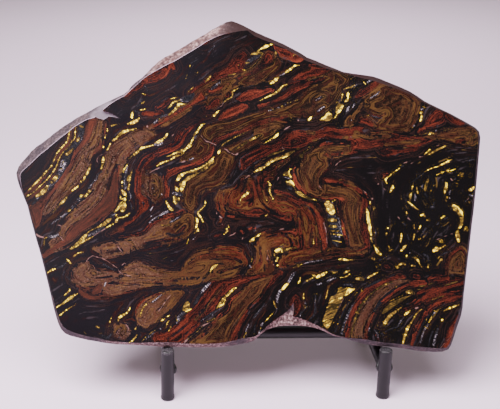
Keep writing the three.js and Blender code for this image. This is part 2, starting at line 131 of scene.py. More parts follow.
LEFT_LIMB = [
    ("red", 0.4, [(-132.8, 59, 2), (-134.6, 49.5, 2), (-138.4, 43.2, 2.2), (-143.5, 37, 2.2),
        (-147, 30.3, 2.2), (-150, 26, 2.4), (-154, 21, 2.4), (-158.5, 16.2, 2.6), (-163.5, 11.5, 2.6),
        (-169, 7.8, 2)]),
    ("gold", 0.75, [(-133.4, 61.5, 1), (-134.9, 55, 1.2), (-136, 49, 1.6), (-140, 44, 1.2), (-143.6, 40, 1),
        (-145.6, 36, 0.9), (-148, 30.3, 1.1), (-150.1, 27.5, 0.9), (-153.2, 24.7, 1.8), (-154.3, 22.6, 1.6),
        (-156.2, 21, 1.4), (-159.7, 17.3, 1.6), (-162.3, 14.9, 0.9), (-166, 11.2, 0.6)]),
    ("red", 0.4, [(-128.6, 60, 2), (-129.5, 50, 1.8), (-134, 43, 1.8), (-139, 37.5, 1.8), (-141.8, 33, 2),
        (-143.5, 28, 2), (-146.5, 23, 2), (-150.5, 18.5, 2), (-155, 14, 2), (-160, 9.5, 1.8),
        (-167, 4, 1.6)]),
    ("gold", 0.7, [(-130, 61, 0.8), (-130.5, 53, 1.2), (-131, 50, 1), (-132.8, 48, 0.8), (-135.2, 44, 0.9),
        (-138.4, 41.2, 0.9), (-140.8, 38.4, 0.9), (-143.1, 33.6, 0.9), (-144.3, 29.9, 1.2),
        (-146.4, 26.4, 1.8), (-147.8, 24.3, 1.2), (-150.1, 21.5, 1.4), (-153.4, 17.7, 1),
        (-156.7, 14.9, 0.9), (-159.9, 11.7, 1), (-162.7, 9.3, 0.9), (-166, 7.6, 1.2), (-169, 5.6, 1.3)]),
    ("silver", 0.22, [(-125.5, 61, 4.5), (-125.5, 55, 5), (-127.5, 49, 3.6), (-132, 44, 3),
        (-136, 38.5, 4.4), (-138, 33.5, 5.4), (-140, 28, 4.8), (-142, 24, 4.2), (-144.5, 21, 4),
        (-148.5, 16.5, 4.4), (-152.5, 12.5, 4.4), (-156, 9, 3.4), (-159, 5, 2.2), (-163, 0.4, 1)]),
    ("gold", 0.5, [(-126.5, 59.5, 1.8), (-124, 58.3, 1.2)]),
    ("gold", 0.45, [(-123, 56, 1.2), (-123.4, 53.6, 1.2)]),
    ("gold", 0.7, [(-127.6, 50.3, 2), (-129, 48.3, 1.6)]),
    ("gold", 0.4, [(-124.6, 52, 1.1)]),
    ("gold", 0.3, [(-132.2, 42.5, 1.6), (-134.5, 40, 2.6), (-137.5, 38, 2.2)]),
    ("gold", 0.9, [(-139.4, 32.5, 1.2)]),
    ("gold", 0.9, [(-140.1, 30.7, 1.2)]),
    ("gold", 0.8, [(-141, 27.6, 1.6)]),
    ("gold", 0.5, [(-144, 22.6, 2.2), (-146.3, 19.5, 3.4), (-148.6, 17, 1.8)]),
    ("gold", 0.55, [(-151.6, 14.4, 2.4), (-153, 12.2, 3.6), (-156, 9.2, 3.2), (-159.5, 7.2, 2)]),
    ("red", 0.85, [(-118.5, 64, 4), (-120.5, 57, 4), (-123.2, 49.8, 3.6), (-127.3, 43.2, 3.2),
        (-130.2, 37, 2.6), (-133.2, 30.6, 2.2), (-136.9, 25, 2), (-140, 20.5, 1.8), (-143.4, 16, 1.6),
        (-147.4, 12, 1.6), (-151.6, 8.3, 1.8)]),
    ("red", 0.75, [(-111.4, 49.5, 2), (-112, 44.5, 2.6), (-116, 41.4, 2.2), (-119.5, 38.6, 1.6),
        (-121.6, 34, 1)]),
    ("red", 0.7, [(-107.6, 62, 1.8), (-107.8, 57, 1.6), (-108.8, 52, 1.2)]),
    ("red", 0.7, [(-155, 3.5, 2.6), (-158, 0.8, 3.4), (-160, -1.5, 2)]),
    ("red", 0.6, [(-163.5, -4, 2), (-161.4, -6, 3)]),
    ("red", 0.5, [(-157.5, -13, 2.4), (-159.4, -16, 2)]),
    ("black", 0, [(-103.6, 64, 5), (-105, 56, 4.6), (-106.3, 49, 4), (-107.5, 44, 4), (-110.5, 40.5, 4),
        (-114.5, 38, 4.6), (-117.2, 33, 4), (-117.8, 27, 4.5), (-119.5, 22, 4.5), (-123, 17, 4.5),
        (-127, 13, 4.5), (-131, 9.5, 5), (-134.5, 6, 5.5), (-138, 1, 6), (-142, -4, 7), (-147, -9, 8),
        (-152, -13, 9), (-157, -18, 6)]),
    ("gold", 0.8, [(-106.3, 57.2, 1.1), (-106.6, 55.2, 1.2)]),
    ("gold", 0.8, [(-107.7, 52.8, 1.1), (-108.4, 50.3, 1.2)]),
    ("gold", 0.85, [(-109.4, 44.2, 1.3), (-109.8, 42.4, 1.1)]),
    ("gold", 0.7, [(-118.9, 30.5, 1.2), (-120, 28, 1.8), (-121, 25.5, 1.8), (-121.8, 23.5, 1.8),
        (-123.2, 22, 2), (-124.4, 19, 1.8)]),
    ("gold", 1, [(-126.3, 17.9, 1.5)]),
    ("gold", 0.95, [(-128.2, 14.9, 1.4), (-130, 13.2, 1.7), (-132.9, 11.4, 1.2)]),
    ("gold", 0.45, [(-136.8, 6.8, 1.2), (-138.5, 4.5, 2.4), (-140.5, 2.3, 2.5), (-143, 0.4, 1.5)]),
    ("gold", 0.25, [(-143.5, -0.4, 1.2), (-145.5, -2.7, 1.4), (-147.3, -5, 1.5)]),
    ("gold", 0.9, [(-109.6, 36, 1.6), (-109.9, 33, 2.3), (-110.2, 30.5, 2)]),
    ("gold", 0.85, [(-110.9, 28.9, 1.5), (-111.3, 26.6, 1.7)]),
    ("silver", 0.6, [(-110.8, 25.4, 1), (-113.7, 23.3, 1.2), (-115.1, 19.6, 1.5), (-117.9, 16.3, 1),
        (-120.7, 13.1, 1.3)]),
    ("gold", 0.65, [(-119.8, 11, 2.2), (-121.5, 8.6, 2), (-123.6, 6.2, 1.2)]),
    ("gold", 0.6, [(-124.8, 8, 1.4), (-126.4, 7.3, 2.4)]),
    ("silver", 0.7, [(-127.4, 5.6, 1.6), (-130, 2.3, 2.6), (-132.4, -1, 2.4), (-134, -2.8, 1)]),
    ("black", 0, [(-129.6, 2.8, 0.7), (-131.6, 0.2, 0.9)]),
    ("gold", 0.6, [(-134, -3, 1.4), (-136, -4.6, 1.8)]),
    ("silver", 0.55, [(-137, -5.6, 1.6), (-140.3, -8, 2.2), (-143.6, -10, 1.6), (-147.3, -12.6, 1.4),
        (-149, -14, 0.8)]),
    ("gold", 0.7, [(-138.9, -6.2, 0.9)]),
    ("gold", 0.8, [(-140.6, -7.2, 1.1)]),
    ("gold", 0.8, [(-141.9, -8.8, 1.2)]),
    ("gold", 0.6, [(-143.8, -9.7, 1)]),
    ("red", 0.78, [(-97.8, 29.5, 1.6), (-98.6, 22, 1.8), (-99.6, 15, 2.6), (-101.5, 10, 3.2),
        (-104, 7.2, 2)]),
    ("red", 0.6, [(-102.5, -2.5, 2), (-108, -5, 2.4), (-114.5, -6.5, 3)]),
    ("red", 1, [(-107.8, -6.5, 0.7), (-110.5, -10, 1), (-113.6, -12.6, 0.9)]),
    ("red", 0.85, [(-134.3, -8.4, 0.6), (-136.6, -10.6, 0.9), (-139.5, -13.4, 0.7)]),
    ("red", 0.7, [(-134, -20.5, 2.4), (-138, -25, 3.4), (-142, -28, 2.4), (-147, -31.6, 1.2)]),
    ("red", 0.6, [(-139, -30, 0.8), (-146.5, -33, 1), (-150.5, -35.6, 0.9), (-156, -37.5, 1)]),
    ("crack", 0.5, [(-160.5, -21, 1.2), (-157.5, -23, 1.8), (-153, -24, 1.6), (-150.5, -22.6, 1.2)]),
    ("silver", 0.9, [(-150.5, -22.6, 1.6), (-147, -23.3, 2.2), (-144.4, -22, 1.8), (-143, -23, 1)]),
    ("crack", 0.5, [(-143.4, -22.6, 0.8), (-141.5, -24, 1), (-139.7, -26.4, 0.9)]),
    ("crack", 0.3, [(-144.6, -14.6, 0.5), (-142.4, -14.6, 0.7), (-141.2, -15.6, 0.6)]),
    ("gold", 0.3, [(-153.6, -24.5, 1), (-153.9, -27, 1.6), (-154, -29.4, 1)]),
    ("gold", 0.9, [(-152.6, -23.9, 1.4)]),
]

BAND_FIVE = [
    ("black", 0, [(-89.5, 37, 4), (-91, 30, 5), (-92.5, 22, 6), (-93, 14, 6), (-94, 5, 6), (-96, -3, 6),
        (-101, -9, 5), (-108, -14, 5), (-116, -19, 4.6), (-124, -24.5, 4), (-131, -29.5, 3)]),
    ("silver", 0.35, [(-91.5, 29, 1), (-92.7, 24, 1.6), (-93.3, 18, 2), (-93.4, 13, 2.2)]),
    ("gold", 0.45, [(-90.3, 32.2, 0.9), (-91.3, 31, 1.4)]),
    ("gold", 0.95, [(-91.8, 30, 0.8), (-92.8, 28.4, 1.3)]),
    ("gold", 0.7, [(-93.8, 27.2, 1.2), (-94.6, 26, 1.9), (-94.6, 25, 1.2)]),
    ("gold", 0.9, [(-96.1, 21.4, 1.2)]),
    ("gold", 0.85, [(-95.8, 18, 1.3), (-95.8, 16.8, 1.5)]),
    ("gold", 0.3, [(-95.6, 14.6, 1), (-95.5, 13.2, 1.2)]),
    ("gold", 0.8, [(-95.5, 11, 2), (-94.6, 9.4, 3.6), (-92.6, 7.2, 2), (-91.6, 6.6, 1)]),
    ("gold", 0.95, [(-96.9, 6.6, 1.2), (-96.8, 5, 1.4)]),
    ("gold", 0.4, [(-95.2, 5.2, 1.8), (-94.6, 4, 1.6)]),
    ("gold", 0.95, [(-93.4, 5, 1.1), (-93.3, 3.4, 1.2)]),
    ("gold", 0.55, [(-95.4, 2, 2.4), (-94.6, 0, 4.8), (-95.4, -2.4, 5), (-96.5, -3.4, 2)]),
    ("gold", 0.95, [(-97.2, 2.8, 1), (-97.6, 0.4, 1.1), (-98.7, -2.3, 1.5), (-100.3, -4.3, 1.3),
        (-102, -5.6, 1)]),
    ("gold", 0.9, [(-93.4, 1.2, 0.9), (-93.2, -0.4, 1)]),
    ("silver", 0.5, [(-101, -6.4, 1.5), (-103.6, -7.8, 2.2), (-103, -10, 2)]),
    ("gold", 0.95, [(-95.7, -4.7, 1.2)]),
    ("gold", 0.85, [(-98.4, -6.8, 1.3)]),
    ("gold", 0.95, [(-100, -6.9, 1.2), (-100.4, -7.8, 1.2)]),
    ("gold", 0.45, [(-103.8, -9.6, 1.2), (-106.3, -11.6, 3.2), (-109, -13.8, 3.2), (-112.3, -15.6, 2.2)]),
    ("gold", 0.85, [(-99.4, -10.6, 1.4), (-100.2, -12.2, 2.4)]),
    ("gold", 0.85, [(-90, -6, 0.9), (-92, -7.5, 1.6), (-93.9, -8.6, 1.2), (-95.6, -9.2, 1), (-98, -9, 0.9),
        (-99.3, -10.4, 1.2)]),
    ("gold", 1, [(-102.7, -14, 1.6)]),
    ("gold", 0.9, [(-104.6, -15.1, 1), (-106.4, -16, 1.1), (-108.4, -17, 0.8)]),
    ("silver", 0.5, [(-109.6, -16.6, 1.6), (-113, -18.6, 2.4), (-117.5, -21, 2.2), (-121.4, -22.9, 1.4)]),
    ("crack", 0.4, [(-108.5, -17.5, 0.7), (-112, -19.4, 0.8), (-117.6, -23.2, 0.8)]),
    ("gold", 0.7, [(-117.8, -23.4, 0.8), (-123.2, -26.2, 1), (-128, -29, 1.2), (-131, -31.2, 1.1),
        (-134.8, -32.8, 0.8)]),
    ("gold", 0.4, [(-112.5, -15.6, 1.4), (-116, -17.1, 1.2), (-120.8, -19.5, 1)]),
    ("gold", 0.7, [(-120.8, -19.8, 0.9), (-123, -22.2, 2.2), (-125, -24.1, 3), (-128, -26.7, 1.8),
        (-131.6, -29.6, 1.1), (-135.2, -32.6, 0.8)]),
    ("gold", 0.7, [(-88, 26.6, 0.6), (-88.8, 24.2, 1.2), (-89.7, 21.3, 1.8), (-90.2, 18.2, 1.8)]),
    ("gold", 0.3, [(-90.9, 22, 1), (-91.7, 19.4, 1.6), (-91.6, 17.6, 1.2)]),
    ("gold", 0.85, [(-90.1, 15.4, 1.2), (-91, 13.2, 1.5), (-91, 11, 0.9)]),
    ("silver", 0.75, [(-90.9, 10.4, 0.6), (-89.7, 8.4, 0.8), (-89, 6.2, 1), (-89.9, 4.2, 0.6)]),
    ("gold", 0.8, [(-90.1, 3.4, 1.2)]),
    ("silver", 0.4, [(-89.4, 1.6, 0.9), (-88.6, -1.5, 1), (-88.4, -4, 0.8)]),
]

SHOULDER_AREAS = [
    ("red", 0.45, [(-81, 94), (-72, 101), (-60.5, 106), (-59.6, 102), (-62, 98), (-67, 94), (-74, 91.5),
        (-80, 91.5)]),
    ("red", 0.68, [(19, 119), (28, 116), (36, 113), (41, 110), (38, 107.5), (30, 108.5), (24, 111)]),
    ("brown", 0.62, [(11, 115), (18, 113), (24, 109), (30, 106.5), (34, 104), (27, 99.5), (20, 96),
        (15, 91.5), (8, 90.5), (0, 91), (-6, 89.5), (-12, 87), (-18, 84.5), (-25, 81), (-31, 78),
        (-38, 75.5), (-44, 71), (-50, 67), (-57, 63), (-66, 57), (-75, 53), (-80, 56), (-72, 60), (-66, 64),
        (-60, 67.5), (-52, 73), (-45, 77), (-40, 82), (-38, 87), (-31, 90.5), (-24, 93), (-15, 95.5),
        (-8, 98.5), (0, 101), (5, 105), (9, 110)]),
    ("red", 0.6, [(-36, 86), (-28, 88), (-20, 91), (-13, 94), (-5, 97), (1, 100), (6, 101), (3, 96),
        (-4, 92), (-12, 88.5), (-20, 85), (-30, 80), (-37, 77), (-44, 73.5), (-52, 69), (-60, 65),
        (-68, 61), (-76, 57), (-71, 60.5), (-62, 66.5), (-54, 71), (-47, 75), (-41, 80)]),
    ("brown", 0.02, [(-34, 58), (-26, 61.5), (-15, 63), (-5, 66.5), (6, 69.5), (16, 73), (14, 66),
        (4, 62.5), (-6, 57.5), (-14, 54), (-22, 51), (-28, 48), (-30, 42), (-33, 36), (-40, 33.5),
        (-46, 32), (-52, 32.5), (-50, 38), (-46, 41), (-42, 45), (-39, 50), (-36, 54)]),
    ("brown", 0.1, [(-80, 27), (-74, 25), (-68, 22), (-65.5, 15), (-66, 8), (-70, 2), (-74, 4), (-79, 7),
        (-81, 10), (-80.5, 18)]),
    ("brown", 0.3, [(-48, 17), (-43, 21), (-37, 25), (-31, 29), (-27, 31), (-25.5, 36), (-24, 40),
        (-19, 43), (-12, 45), (-2, 49), (8, 53), (18, 57), (20, 54), (10, 48), (0, 43), (-8, 38.5),
        (-10.5, 36), (-12, 30), (-14, 24), (-17, 19), (-21, 15), (-27, 12.5), (-33, 12), (-37, 10),
        (-39, 4), (-40, -1), (-44, -5), (-48, -3), (-50.5, 2), (-50, 9), (-48.5, 13)]),
]

SHOULDER = [
    ("red", 0.55, [(-92, 82, 2.4), (-87, 86, 3), (-82.5, 88.5, 3), (-79.5, 91, 2.4)]),
    ("red", 0.85, [(-79.5, 91.7, 1.4), (-73, 92.5, 1.6), (-67, 94.5, 1.6), (-62.5, 98.5, 1.5),
        (-60.2, 103, 1.2)]),
    ("red", 0.7, [(-78, 94, 1), (-71, 97.5, 1.2), (-65, 102, 1), (-62, 104.4, 0.8)]),
    ("black", 0, [(-76, 95, 0.8), (-69, 98, 1), (-63, 102, 0.8)]),
    ("red", 0.5, [(-57.8, 105.4, 2.6), (-56.2, 102.4, 2)]),
    ("silver", 0.5, [(-79, 90, 0.5), (-77, 87.5, 0.7), (-76.3, 85.3, 0.5)]),
    ("gold", 0.7, [(-80.3, 83.6, 0.8), (-77.8, 82.9, 1.1)]),
    ("gold", 0.75, [(-80.9, 76, 1.1), (-80, 76.6, 1.4), (-78.3, 77.7, 0.8)]),
    ("gold", 0.8, [(-81.8, 71.2, 0.8), (-79.5, 71.6, 1.4), (-77.2, 72.5, 1)]),
    ("silver", 0.4, [(-84.5, 74, 1), (-82, 75, 1), (-80.5, 79.5, 0.7)]),
    ("silver", 0.5, [(-85.6, 70.6, 0.6), (-83.6, 69.8, 0.8), (-82, 68.8, 0.6)]),
    ("red", 0.5, [(-34, 121.6, 2), (-28.5, 124.4, 2), (-23, 127.4, 2), (-18, 129, 1.8), (-12, 130, 1.2)]),
    ("gold", 0.3, [(-44.3, 104.8, 1), (-44.8, 101.8, 0.8)]),
    ("gold", 0.6, [(-47.3, 95, 1.2)]),
    ("gold", 0.3, [(-46.4, 98, 0.8), (-46.8, 96.4, 0.7)]),
    ("gold", 0.3, [(-38.5, 99.4, 0.9), (-39.4, 98.2, 0.8)]),
    ("silver", 0.45, [(-25.6, 119.4, 0.7), (-27, 117.6, 0.6), (-30, 115, 0.6), (-31, 112, 0.5)]),
    ("silver", 0.35, [(-38.5, 109, 0.6), (-42, 107, 0.6), (-44, 105.6, 0.5)]),
    ("gold", 0.9, [(7, 115.4, 0.8), (9.5, 117, 1.6), (12.5, 118.4, 2.8), (15.5, 119.6, 1.4),
        (17.5, 120.2, 0.6)]),
    ("gold", 0.3, [(20.3, 114.8, 0.9), (20.6, 112.4, 0.9)]),
    ("gold", 0.45, [(35, 114, 2), (36.4, 112.6, 1.4)]),
    ("gold", 0.55, [(1.2, 112.2, 0.8), (3, 113.2, 2), (6, 113.6, 3), (9.5, 113.2, 2.2)]),
    ("silver", 0.3, [(-2, 106, 2), (1.5, 108.5, 3), (5.5, 110.8, 2.4), (9, 112, 1)]),
    ("gold", 0.7, [(-3, 106.1, 1), (-0.4, 106.4, 1.2)]),
    ("gold", 0.3, [(9.7, 111.7, 0.7), (4.1, 105.1, 0.7), (0.3, 102.3, 0.8)]),
    ("gold", 0.5, [(-5, 101.2, 1), (-2.5, 100.6, 1.4), (0, 102, 0.8)]),
    ("gold", 0.7, [(-8.6, 105, 0.7), (-7.4, 103.2, 0.8)]),
    ("gold", 0.35, [(-15.8, 97, 0.8), (-13, 97.6, 1), (-9.5, 98.2, 0.8)]),
    ("red", 0.48, [(-4, 113, 4.6), (-7, 107, 7), (-12, 102, 5.6), (-19, 99, 5), (-27, 95.5, 4),
        (-33, 91.5, 3.2), (-39, 87.5, 2.6), (-44, 83.5, 2)]),
    ("gold", 0.5, [(-7.9, 104.6, 0.8)]),
    ("gold", 0.4, [(-15, 97, 0.9), (-10, 98, 0.8)]),
    ("silver", 0.3, [(-50.5, 78.3, 2.4), (-47, 79.3, 4.4), (-44, 80.6, 3.8), (-41.5, 83, 1.8)]),
    ("gold", 0.85, [(-62.4, 77.7, 0.9), (-60, 79.2, 1), (-57, 80, 0.7), (-53.5, 80.7, 0.6)]),
    ("gold", 0.85, [(-52, 78.5, 0.7), (-55, 77.8, 0.9), (-57.7, 76.3, 1.4), (-59, 74.3, 1.2),
        (-61.2, 72.2, 0.9)]),
    ("gold", 0.6, [(-46.8, 75.6, 1.2), (-50, 75.6, 1.6), (-53, 74.6, 2.2), (-56, 71.2, 2.4),
        (-59.5, 68.2, 1.8)]),
    ("gold", 0.9, [(-53.6, 75.8, 0.9), (-51, 76.2, 0.9)]),
    ("silver", 0.6, [(-61, 67.6, 1.2), (-65.1, 66.6, 1.2), (-68.8, 64, 1.6), (-71.8, 61, 1.2)]),
    ("gold", 0.5, [(-60.3, 67.4, 1.1)]),
    ("gold", 0.35, [(-67.3, 64.4, 1.6)]),
    ("gold", 0.6, [(-33, 91.8, 0.8), (-31, 94, 1.8), (-28.7, 96.8, 1)]),
    ("silver", 0.5, [(-28, 87, 1.4), (-24.5, 89.5, 1.8), (-21.5, 92, 1)]),
    ("gold", 0.8, [(-23.4, 90.4, 0.9)]),
    ("gold", 0.6, [(-46, 84.5, 0.6), (-43, 87.5, 1), (-41.3, 88.8, 0.8)]),
    ("gold", 0.8, [(28.6, 90.4, 0.5), (26.5, 89.6, 0.8), (24.3, 88.2, 1.3), (22.5, 85.8, 2),
        (19, 83.2, 1.8), (14, 81, 1.2), (10.5, 79.2, 1), (7.5, 77.4, 0.6)]),
    ("gold", 0.9, [(37.5, 104.3, 0.8), (34.2, 104, 1.6), (31.3, 101.6, 2.2), (28.3, 99.6, 2.2),
        (26.4, 98.3, 1)]),
    ("silver", 0.9, [(26.4, 98.2, 0.9), (22.5, 96.2, 1)]),
    ("gold", 0.85, [(22, 95.4, 1.2), (20.2, 93.7, 3), (17.6, 91.6, 2.6), (15.4, 90.2, 1)]),
    ("black", 0, [(-8, 86, 2), (-13, 82, 3), (-18, 76.5, 3), (-23, 70, 4), (-28, 66.5, 4)]),
    ("gold", 0.75, [(-8.5, 87.2, 0.8), (-10.5, 86, 1), (-12.8, 84.6, 1.4), (-12.5, 82, 0.9),
        (-13.8, 80.2, 1), (-17, 78.6, 1.4), (-19.5, 76.5, 1)]),
    ("crack", 0.5, [(-19.5, 76.4, 0.8), (-20.5, 74.2, 1), (-23, 73, 1.1), (-24.5, 73.6, 1)]),
    ("gold", 0.9, [(-22.8, 70.6, 1), (-24.6, 68.8, 1.8), (-27, 66.4, 2.6), (-28, 65.2, 1.2)]),
    ("gold", 0.5, [(-34.5, 65, 0.8), (-32, 66.3, 1.1)]),
    ("gold", 0.95, [(-87.4, 70.6, 0.6), (-87.7, 68, 2.2), (-88.2, 66, 2), (-87.6, 64.6, 1)]),
    ("gold", 0.9, [(-82.4, 65.2, 1), (-84.5, 63.4, 2.4), (-88, 61.6, 2.8), (-91, 61, 1.4)]),
    ("gold", 0.95, [(-97.2, 60.8, 1.4)]),
    ("gold", 0.5, [(-99.6, 60.4, 1.4), (-103, 59.7, 1.8), (-104.6, 59, 0.8)]),
    ("crack", 0.9, [(-76.6, 59, 2)]),
    ("black", 0, [(-82, 58.6, 4), (-90, 57.6, 4.6), (-97, 54.6, 5), (-102, 50, 4)]),
    ("gold", 0.75, [(-84.8, 57.4, 0.8), (-87.2, 56.8, 1.5), (-91.2, 56, 2), (-94.4, 55, 2.6),
        (-97.6, 52.6, 2.4), (-99, 51, 1.2)]),
    ("gold", 0.4, [(-95.4, 54, 1.2), (-98, 52.2, 1)]),
    ("gold", 0.95, [(-99.6, 50, 1.8), (-102.4, 48.4, 1.6)]),
    ("gold", 0.75, [(-104.2, 46.6, 1.2), (-105.3, 43.6, 1.5), (-107, 40.8, 1.1)]),
    ("crack", 0.5, [(-107, 40.4, 0.5), (-109.8, 38.4, 0.5), (-113, 36.8, 0.45), (-114.5, 34, 0.5),
        (-113.6, 31.6, 0.4)]),
    ("crack", 0.6, [(-83, 67.6, 0.6), (-81, 65.5, 0.5), (-79.6, 64, 0.4), (-78.4, 62.4, 0.5)]),
    ("crack", 0.4, [(-90.6, 53, 0.4), (-89.5, 50.5, 0.35), (-87, 47.5, 0.4), (-85, 44.6, 0.5),
        (-82.5, 44, 0.5)]),
    ("crack", 0.2, [(-80, 40, 0.3), (-78.4, 36.8, 0.35), (-76, 34.4, 0.35), (-72.8, 34.4, 0.3),
        (-70.8, 37.6, 0.3)]),
    ("red", 0.42, [(-79, 68.5, 2.4), (-72, 67.5, 3.6), (-66, 69, 3)]),
    ("red", 0.5, [(-69, 72.6, 2.6), (-64, 75.5, 3), (-60, 79, 2)]),
    ("red", 0.82, [(-74.5, 57.5, 1.4), (-70, 59.5, 2.2), (-65, 62, 2.8), (-60, 65.2, 2.8), (-54, 69, 2.6),
        (-47, 73, 2.2), (-40, 77, 1.8)]),
    ("black", 0, [(-70, 55.6, 3.4), (-64, 56.6, 4.4), (-58, 58.6, 5), (-50, 61, 5), (-42, 62.6, 4.6),
        (-34, 64, 4), (-28, 64.6, 3)]),
]

